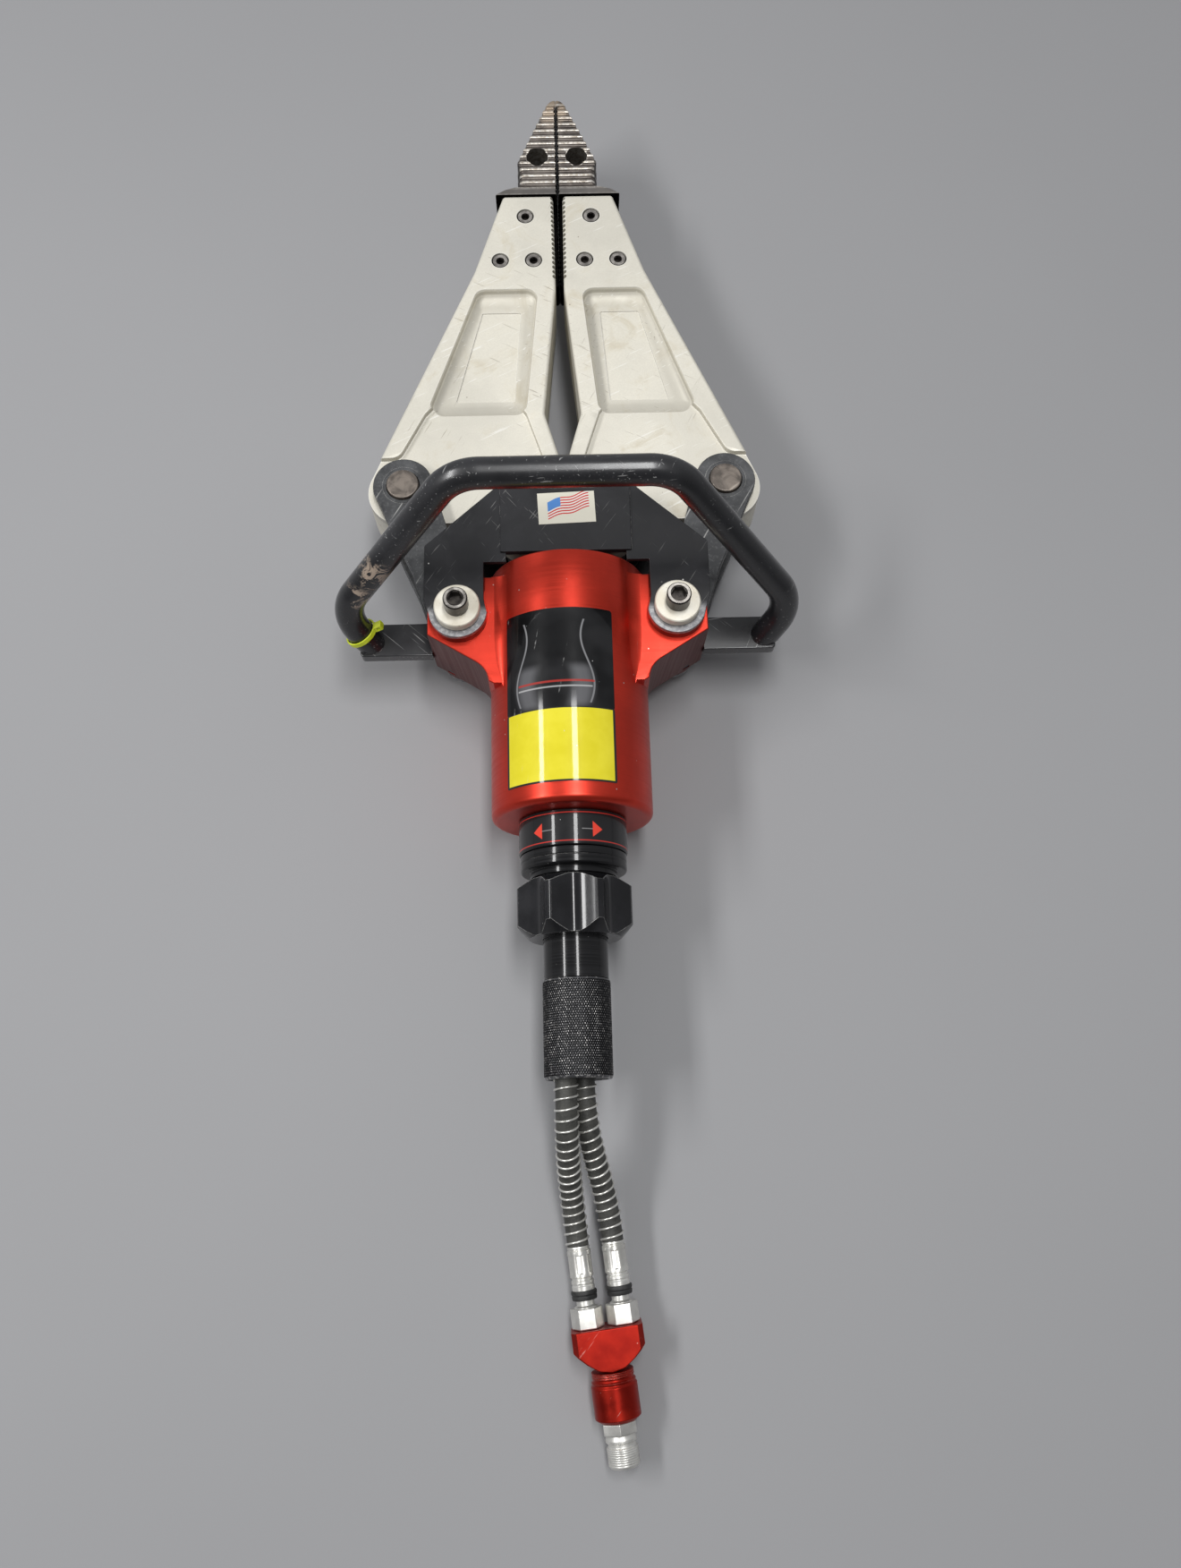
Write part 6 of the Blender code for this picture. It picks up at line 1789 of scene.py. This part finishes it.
def inner_cutters(side):
    """Everything that is cut through an arm or into its hidden faces."""
    cutters = []
    relief = [
        (-0.002, 0.0445), (CROSS_X + SLOT_END.x, 0.0445),
        *arc((CROSS_X + SLOT_END.x, CROSS_Y + SLOT_END.y), 0.0175, -90, 90, 16),
        (-0.002, CROSS_Y + SLOT_END.y + 0.0175),
    ]
    for up in (1, -1):
        cutters.append(flipped_solid(relief, [(0.010, 0), (0.035, 0)], side, up))
    track = [
        *arc((CROSS_X, CROSS_Y), SLOT_R, SLOT_TURN + 90, SLOT_TURN + 270, 16),
        *arc((CROSS_X + SLOT_END.x, CROSS_Y + SLOT_END.y), SLOT_R, SLOT_TURN - 90, SLOT_TURN + 90, 16),
    ]
    cutters.append(plate([mirrored(track, side)], -0.04, 0.04, 0))
    cutters.append(disc(-0.04, 0.04, 0.0153, 0, 64, beside(side * PIN_X, PIN_Y)))
    notches = []
    for notch in range(18):
        at = Matrix.Translation((side * (0.0041 + 0.00003 * notch), 0.3005 + notch * TEETH_PITCH, 0))
        notches.append(disc(-0.04, 0.04, 0.0017, 0, 14, at))
    cutters.append(joined(*notches))
    mortise = tongue_outline(0.0003)
    cutters.append(plate([mirrored(mortise, side)], -0.0123, 0.0123, 0))
    for x, y in TIP_SCREWS:
        at = beside(side * x, y)
        profile = [
            (0, -0.03), (0.0071, -0.03), (0.0071, -0.0151), (SCREW_BORE, -0.0151),
            (SCREW_BORE, 0.0151), (0.0071, 0.0151), (0.0071, 0.03), (0, 0.03),
        ]
        cutters.append(turned(profile, 40, at))
    return cutters


def tongue_outline(gap=0.0):
    rear = ARM_FRONT - 0.079 - gap
    inner = -0.0046 if gap else 0.0014
    front = ARM_FRONT + 0.004
    return [
        (inner, front), (inner, rear), (0.056 + gap, rear), (0.056 + gap, rear + 0.022),
        (0.038 + gap, ARM_FRONT - 0.002), (0.038 + gap, front),
    ]


def saw(points_from, points_to, inner, depth, pitch):
    """A toothed edge along Y at x = inner."""
    count = max(2, round((points_to - points_from) / pitch))
    step = (points_to - points_from) / count
    points = []
    for index in range(count):
        points.append((inner + depth, points_from + step * index))
        points.append((inner, points_from + step * (index + 0.5)))
    points.append((inner + depth, points_to))
    return points


def tip_edge(along):
    """(outer x, half height, width of the chamfer on the outer edge) of a tip at a distance from its base."""
    length = TIP_END - TIP_BASE
    stations = (
        (0.0, 0.0510, 0.0010),
        (0.0015, 0.0510, 0.0010),
        (0.0060, 0.0440, 0.0012),
        (0.0095, 0.0335, 0.0016),
        (0.0130, 0.0330, 0.0046),
        (0.0200, 0.0330, 0.0052),
        (0.0270, 0.0330, 0.0048),
        (0.0340, 0.0330, 0.0014),
        (0.0380, 0.0322, 0.0010),
        (0.0930, 0.0100, 0.0012),
        (0.0975, 0.0078, 0.0016),
        (0.1005, 0.0058, 0.0020),
        (length, 0.0026, 0.0010),
    )
    for (start, x0, c0), (end, x1, c1) in zip(stations, stations[1:]):
        if along <= end + 1e-9:
            share = (along - start) / (end - start)
            outer = x0 + (x1 - x0) * share
            chamfer = c0 + (c1 - c0) * share
            break
    half = ARM_HALF - 0.0045 * along / length
    if along > length - 0.003:
        drop = (along - (length - 0.003)) / 0.003
        half -= 0.0015 * (1 - math.sqrt(max(1 - drop * drop, 0)))
    return outer, half, chamfer


def build_tip(side):
    """A closed wedge of cross-sections, pushed in between its ribs, with an eye; and its toothed tongue."""
    length = TIP_END - TIP_BASE
    work = bmesh.new()
    push = work.verts.layers.float_vector.new("push")
    rows = []
    count = 236
    inner = 0.0001
    for station in range(count + 1):
        along = length * station / count
        outer, half, chamfer = tip_edge(along)
        chamfer = min(chamfer, (outer - inner) * 0.4)
        small = min(0.0006, (outer - inner) * 0.2)
        section = []
        drop = chamfer * 1.9 if chamfer > 0.002 else chamfer
        nose = 1.0 if 0.0075 < along < length - 0.007 else 0.0
        tooth = abs((along / TEETH_PITCH % 1) * 2 - 1) if along < length - 0.008 else 0.0
        seam = inner + 0.0003 + 0.0014 * tooth if tooth else inner
        cross = 6
        for step in range(cross + 1):
            share = step / cross
            start = seam + small
            section.append((start + (outer - chamfer - start) * share, half, (0, 0, -nose)))
        section.append((outer - chamfer * 0.35, half - drop * 0.25, (-0.4 * nose, 0, -0.5 * nose)))
        section.append((outer, half - drop, (-0.55 * nose, 0, 0)))
        section.append((outer, 0.0, (-0.35 * nose, 0, 0)))
        section += [(x, -z, (dx, dy, -dz)) for x, z, (dx, dy, dz) in reversed(section[:-1])]
        for z in (-half + small, -0.013):
            section.append((seam, z, (0, 0, 0)))
        for z in (-TONGUE_HALF, TONGUE_HALF):
            section.append((0.00005, z, (0, 0, 0)))
        for z in (0.013, half - small):
            section.append((seam, z, (0, 0, 0)))
        row = []
        for x, z, shove in section:
            vert = work.verts.new((side * x, TIP_BASE + along, z))
            vert[push] = (side * shove[0], shove[1], shove[2])
            row.append(vert)
        rows.append(row)
    skin(work, rows, ends=True)
    wedge = ribbed(as_mesh(work), finish(tip_steel), TIP_BASE + 0.0042)
    eye = turned(
        [(0, -0.04), (EYE_R, -0.04), (EYE_R, 0.04), (0, 0.04)], 64,
        beside(side * TIP_EYE.x, TIP_EYE.y),
    )
    wedge = carved(wedge, eye)
    tongue_edge = tongue_outline()
    teeth = saw(tongue_edge[1][1], tongue_edge[0][1], 0.00004, 0.0014, TEETH_PITCH)
    outline = [*reversed(teeth), *tongue_edge[2:]]
    tongue = plate([mirrored(outline, side)], -TONGUE_HALF, TONGUE_HALF, 0.0003, steps=2)
    holes = []
    for x, y in TIP_SCREWS:
        holes.append(disc(-0.03, 0.03, SCREW_BORE, 0, 32, beside(side * x, y)))
    return wedge, carved(tongue, *holes)


def build_tips():
    for name, side in SIDES.items():
        wedge, tongue = build_tip(side)
        body = "arm_" + name
        piece(f"tip_{name}_forging", wedge, tip_steel, body, ["tip_" + name], sharp=40)
        piece(f"tip_{name}_tongue", tongue, tongue_steel, body)


def build_tip_screws():
    for name, side in SIDES.items():
        head = socket_head(0.0153, 0.0244, 0.00675, 0.0028, 0.0046, UPRIGHT, 48)
        shank = disc(-0.0005, 0.0156, 0.004, 0, 24, UPRIGHT)
        places = []
        for index, (x, y) in enumerate(TIP_SCREWS):
            for flip in (False, True):
                places.append(((side * x, y, 0.0), flip, 0.35 * index + (0.4 if flip else 0.0)))
        mesh = scattered(joined(head, shank), places, finish(bolt_steel))
        nodes = [f"tip_screw_{name}_{index + 1}" for index in range(3)]
        piece(f"tip_screws_{name}", mesh, bolt_steel, "arm_" + name, nodes)


# Handle


def smooth_bends(corners, radius, steps):
    """The path with each bend rounded in three dimensions."""
    path = [Vector(corners[0])]
    for before, corner, after in zip(corners, corners[1:], corners[2:]):
        before, corner, after = Vector(before), Vector(corner), Vector(after)
        back = (before - corner).normalized()
        ahead = (after - corner).normalized()
        half = back.angle(ahead) / 2
        trim = radius / math.tan(half)
        centre = corner + (back + ahead).normalized() * radius / math.sin(half)
        start = corner + back * trim - centre
        normal = start.cross(corner + ahead * trim - centre).normalized()
        for step in range(steps + 1):
            path.append(centre + Matrix.Rotation((math.pi - 2 * half) * step / steps, 3, normal) @ start)
    path.append(Vector(corners[-1]))
    return path


HANDLE_R = 0.01065
BAR_TOP = -0.0045


def handle_corners():
    lean = math.tan(math.radians(20.5))
    foot_z = BAR_TOP + 0.0003

    def place(x, z):
        return Vector((x, -0.001 + (z - foot_z) * lean, z))

    right = [Vector((0.1506, -0.001, foot_z)), place(0.1665, 0.025), place(0.074, 0.140)]
    return right + [Vector((-spot.x, spot.y, spot.z)) for spot in reversed(right)]


def build_handle():
    corners = handle_corners()
    lower = corners[0] - (corners[1] - corners[0]).normalized() * HANDLE_R
    ends = [lower, *corners[1:-1], Vector((-lower.x, lower.y, lower.z))]
    tube = swept(smooth_bends(ends, 0.036, 14), HANDLE_R, 48)
    below = plate([[(-0.2, -0.03), (0.2, -0.03), (0.2, 0.03), (-0.2, 0.03)]], -0.04, BAR_TOP + 0.0003, 0)
    tube = carved(tube, below)
    piece("carry_handle_tube", tube, black_paint, stands_for=["carry_handle"])
    for name, side in SIDES.items():
        start = PIVOT_X + 0.0233
        edge = [(start, -0.014), (0.1566, -0.014), (0.1566, 0.012), (start, 0.012)]
        bar = plate([mirrored(rounded(edge, [0, 0.003, 0.003, 0], 4), side)], -0.0145, BAR_TOP, 0.0008)
        piece(f"cross_bar_{name}_flat", bar, black_paint, stands_for=["cross_bar_" + name])


def build_tie():
    """A cable tie round the left foot, with its ratchet head."""
    corners = handle_corners()
    foot, bend = corners[-1], corners[-2]
    up = (bend - foot).normalized()
    across = (Vector((1, 0, 0)) - up * up.x).normalized()
    turn = Matrix((across, up.cross(across), up)).transposed().to_4x4()
    at = Matrix.Translation(foot + up * 0.009) @ turn
    band_ring = ring(-0.0018, 0.0018, HANDLE_R + 0.0006, HANDLE_R + 0.0019, 0.0003, 72, at)
    near, far = HANDLE_R + 0.0012, HANDLE_R + 0.0078
    edge = [(near, -0.0032), (far, -0.0032), (far, 0.0032), (near, 0.0032)]
    head = plate([rounded(edge, 0.0008, 3)], -0.0024, 0.0024, 0.0005, at)
    near, far = HANDLE_R + 0.0036, HANDLE_R + 0.0060
    edge = [(near, -0.0036), (far, -0.0036), (far, -0.0022), (near, -0.0022)]
    slot = plate([edge], -0.0013, 0.0013, 0, at)
    piece(
        "cable_tie_band", joined(band_ring, carved(head, slot)), tie_plastic,
        stands_for=["cable_tie"],
    )


# Control valve, knob and grip


KNOB_R = 0.041
KNOB_RIDGES = 7
RIDGE_WIDTH = 0.0042
FLUTE_DEPTH = 0.0089


def knob_radius(angle):
    """Radius at an angle from the top: narrow ridges with hollow flutes between them."""
    step = 2 * math.pi / KNOB_RIDGES
    ridge = RIDGE_WIDTH / KNOB_R / 2
    phase = (angle + step / 2) % step - step / 2
    away = step / 2 - abs(phase)
    if away < ridge:
        return KNOB_R
    inside = (away - ridge) / (step / 2 - ridge)
    return KNOB_R - FLUTE_DEPTH * math.sin(math.pi / 2 * inside) ** 0.9


def build_knob():
    """A fluted wheel whose ends are turned to cones, so that each flute ends in a scallop."""
    front, rear, face = -0.1917, -0.2327, 0.0328
    work = bmesh.new()
    columns = []
    for angle in round_turn(48 * KNOB_RIDGES):
        size = knob_radius(angle)
        least = min(size, face)
        ahead = front - max(size - face, 0) / 1.5 - 0.0005
        behind = rear + max(size - face, 0) / 1.06 + 0.0005
        profile = [(0.0230, front), (least - 0.0006, front), (least, front - 0.0004), (size, ahead)]
        profile += [(size, ahead + (behind - ahead) * share) for share in (0.33, 0.67)]
        profile += [(size, behind), (least, rear + 0.0004), (least - 0.0006, rear), (0.0230, rear)]
        columns.append([work.verts.new((r * math.sin(angle), y, r * math.cos(angle))) for r, y in profile])
    skin(work, [*columns, columns[0]])
    piece("star_knob_body", as_mesh(work), knob_black, "knob", ["star_knob"], sharp=24)


def build_valve():
    front, rear = -0.1483, -0.1736
    top, bottom = front - 0.0012, rear + 0.0014
    body = rounded(
        [
            (0, front), (0.0385, front), (0.0385, rear), (0.029, rear), (0.029, rear + 0.012),
            (0, rear + 0.012),
        ],
        [0, 0.0006, 0.0008, 0.0003, 0, 0],
        3,
        False,
    )
    piece("valve_body_ring", turned(body, 128), black_anodised, stands_for=["valve_body"])
    work = bmesh.new()
    layer = work.loops.layers.uv.new("UVMap")
    rows = []
    for radius, height in ((0.0384, top), (0.03864, top), (0.03864, bottom), (0.0384, bottom)):
        rows.append([
            work.verts.new((radius * math.sin(angle), height, radius * math.cos(angle)))
            for angle in round_turn(144)
        ])
    skin(work, [*rows, rows[0]])
    for face in work.faces:
        centre = face.calc_center_median()
        base = math.atan2(centre.x, centre.z)
        for loop in face.loops:
            angle = math.atan2(loop.vert.co.x, loop.vert.co.z)
            while angle - base > math.pi:
                angle -= 2 * math.pi
            while base - angle > math.pi:
                angle += 2 * math.pi
            loop[layer].uv = (0.5 + angle / (2 * math.pi), (loop.vert.co.y - bottom) / (top - bottom))
    piece("valve_print_band", as_mesh(work), ring_print)
    flange = rounded(
        [
            (0.029, -0.1739), (0.0378, -0.1739), (0.0378, -0.1790), (0.0371, -0.1796),
            (0.0378, -0.1802), (0.0378, -0.1861), (0.031, -0.1861), (0.031, -0.1906),
            (0.029, -0.1906),
        ],
        [0, 0.0008, 0.0003, 0.0003, 0.0003, 0.0016, 0.0004, 0.0005, 0],
        3,
    )
    piece(
        "valve_flange_ring", turned(flange, 128, closed=True), black_anodised,
        stands_for=["valve_flange"],
    )


def build_grip():
    grip_front = -0.2611
    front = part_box("grip_tube")[1].y - ORIGIN.y
    tube = [
        (0.017, front), (0.0225, front), (0.0225, grip_front), (0.0220, grip_front - 0.0003),
        (0.0200, grip_front - 0.0003), (0.0200, GRIP_REAR + 0.0066), (0.017, GRIP_REAR + 0.0066),
    ]
    piece(
        "grip_tube_smooth", turned(tube, 128, closed=True), black_anodised,
        stands_for=["grip_tube"],
    )
    sleeve = knurled(finish(knurl_black), 0.0236, grip_front - 0.0012, GRIP_REAR + 0.0012)
    ends = turned(
        rounded(
            [
                (0.0203, grip_front - 0.0005), (0.0228, grip_front - 0.0005),
                (0.0232, grip_front - 0.0014), (0.0226, grip_front - 0.0030),
                (0.0226, GRIP_REAR + 0.0030), (0.0232, GRIP_REAR + 0.0014), (0.0226, GRIP_REAR),
                (0.0203, GRIP_REAR),
            ],
            0.0002, 1,
        ),
        128, closed=True,
    )
    piece(
        "knurled_grip_sleeve", joined(sleeve, ends), knurl_black,
        stands_for=["knurled_grip"], sharp=60,
    )
    edge = [circle((0, 0), 0.0199, 96)] + [hole((x, -z), 0.0085, 40) for x, z in HOSE_EXITS.values()]
    plug = plate(edge, GRIP_REAR + 0.0003, GRIP_REAR + 0.006, 0.0004, ALONG_Y)
    piece("hose_plate_plug", plug, rubber, stands_for=["hose_plate"])


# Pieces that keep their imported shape

KEPT = {
    "piston": inside_steel, "piston_rod": inside_steel, "piston_seal": rubber, "rod_seal": rubber,
    "gland_nut": bronze, "crosshead": link_steel, "crosshead_pin_left": bright_steel,
    "crosshead_pin_right": bright_steel, "arm_bush_left": bronze, "arm_bush_right": bronze,
    "valve_spool": inside_steel, "return_spring": inside_steel, "coupler_poppet": bronze,
}


def dress_inner_parts():
    for node, look in KEPT.items():
        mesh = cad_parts[node].data
        mesh.materials.clear()
        mesh.materials.append(finish(look))


class Build:
    """What every operator here shares: it calls its own build function."""

    bl_options = {"REGISTER", "UNDO"}

    def execute(self, context):
        self.build()
        return {"FINISHED"}


class SPREADER_OT_camera(Build, bpy.types.Operator):
    """Set the camera where the photograph was taken"""

    bl_idname = "spreader.camera"
    bl_label = "Camera"
    build = staticmethod(build_camera)


class SPREADER_OT_hoses(Build, bpy.types.Operator):
    """Lay both hoses with their spring guards"""

    bl_idname = "spreader.hoses"
    bl_label = "Hoses"
    build = staticmethod(build_hoses)


class SPREADER_OT_stage(Build, bpy.types.Operator):
    """Set the floor, the world and the lamps"""

    bl_idname = "spreader.stage"
    bl_label = "Stage"
    build = staticmethod(build_stage)


class SPREADER_OT_coupler(Build, bpy.types.Operator):
    """Build the twin coupler at the hoses' end"""

    bl_idname = "spreader.coupler"
    bl_label = "Coupler"
    build = staticmethod(build_coupler)


class SPREADER_OT_cylinder(Build, bpy.types.Operator):
    """Build the cylinder with its ears and bosses"""

    bl_idname = "spreader.cylinder"
    bl_label = "Cylinder"
    build = staticmethod(build_cylinder)


class SPREADER_OT_panels(Build, bpy.types.Operator):
    """Lay the plain panels on the cylinder"""

    bl_idname = "spreader.panels"
    bl_label = "Panels"
    build = staticmethod(build_panels)


class SPREADER_OT_covers(Build, bpy.types.Operator):
    """Build the front covers and the sticker"""

    bl_idname = "spreader.covers"
    bl_label = "Covers"
    build = staticmethod(build_covers)


class SPREADER_OT_pivots(Build, bpy.types.Operator):
    """Build the pivot bolts, washers and nuts"""

    bl_idname = "spreader.pivots"
    bl_label = "Pivots"
    build = staticmethod(build_pivots)


class SPREADER_OT_links(Build, bpy.types.Operator):
    """Build the link plates and the arm pins"""

    bl_idname = "spreader.links"
    bl_label = "Links"
    build = staticmethod(build_links)


class SPREADER_OT_arms(Build, bpy.types.Operator):
    """Build both arms"""

    bl_idname = "spreader.arms"
    bl_label = "Arms"
    build = staticmethod(build_arms)


class SPREADER_OT_tips(Build, bpy.types.Operator):
    """Build the ribbed tips"""

    bl_idname = "spreader.tips"
    bl_label = "Tips"
    build = staticmethod(build_tips)


class SPREADER_OT_tip_screws(Build, bpy.types.Operator):
    """Set the screws that hold the tips"""

    bl_idname = "spreader.tip_screws"
    bl_label = "Tip Screws"
    build = staticmethod(build_tip_screws)


class SPREADER_OT_handle(Build, bpy.types.Operator):
    """Build the carrying handle and its cross bars"""

    bl_idname = "spreader.handle"
    bl_label = "Handle"
    build = staticmethod(build_handle)


class SPREADER_OT_tie(Build, bpy.types.Operator):
    """Build the cable tie on the handle"""

    bl_idname = "spreader.tie"
    bl_label = "Cable Tie"
    build = staticmethod(build_tie)


class SPREADER_OT_valve(Build, bpy.types.Operator):
    """Build the valve's ring and flange"""

    bl_idname = "spreader.valve"
    bl_label = "Valve"
    build = staticmethod(build_valve)


class SPREADER_OT_knob(Build, bpy.types.Operator):
    """Build the star knob"""

    bl_idname = "spreader.knob"
    bl_label = "Star Knob"
    build = staticmethod(build_knob)


class SPREADER_OT_grip(Build, bpy.types.Operator):
    """Build the tube, the knurled grip and the hose plate"""

    bl_idname = "spreader.grip"
    bl_label = "Grip"
    build = staticmethod(build_grip)


class SPREADER_OT_inner(Build, bpy.types.Operator):
    """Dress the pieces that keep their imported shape"""

    bl_idname = "spreader.inner"
    bl_label = "Inner Pieces"
    build = staticmethod(dress_inner_parts)


OPERATORS = (
    SPREADER_OT_camera, SPREADER_OT_hoses, SPREADER_OT_stage, SPREADER_OT_coupler,
    SPREADER_OT_cylinder, SPREADER_OT_panels, SPREADER_OT_covers, SPREADER_OT_pivots,
    SPREADER_OT_links, SPREADER_OT_arms, SPREADER_OT_tips, SPREADER_OT_tip_screws,
    SPREADER_OT_handle, SPREADER_OT_tie, SPREADER_OT_valve, SPREADER_OT_knob, SPREADER_OT_grip,
    SPREADER_OT_inner,
)


class SPREADER_PT_panel(bpy.types.Panel):
    """Sizes, colours and operators of the spreader"""

    bl_idname = "SPREADER_PT_panel"
    bl_label = "Rescue Spreader"
    bl_space_type = "VIEW_3D"
    bl_region_type = "UI"
    bl_category = "Spreader"

    def draw(self, context):
        for group in (context.scene.spreader_sizes, context.scene.spreader_colours):
            box = self.layout.box()
            for key in group.bl_rna.properties.keys():
                if key not in ("rna_type", "name"):
                    box.prop(group, key)
        for operator in OPERATORS:
            self.layout.operator(operator.bl_idname)


CLASSES = (SpreaderSizes, SpreaderColours, *OPERATORS, SPREADER_PT_panel)


def register():
    for item in CLASSES:
        bpy.utils.register_class(item)
    bpy.types.Scene.spreader_sizes = PointerProperty(type=SpreaderSizes)
    bpy.types.Scene.spreader_colours = PointerProperty(type=SpreaderColours)


def unregister():
    del bpy.types.Scene.spreader_colours
    del bpy.types.Scene.spreader_sizes
    for item in reversed(CLASSES):
        bpy.utils.unregister_class(item)


def main():
    register()
    for operator in OPERATORS:
        group, name = operator.bl_idname.split(".")
        getattr(getattr(bpy.ops, group), name)()


if __name__ == "__main__":
    main()
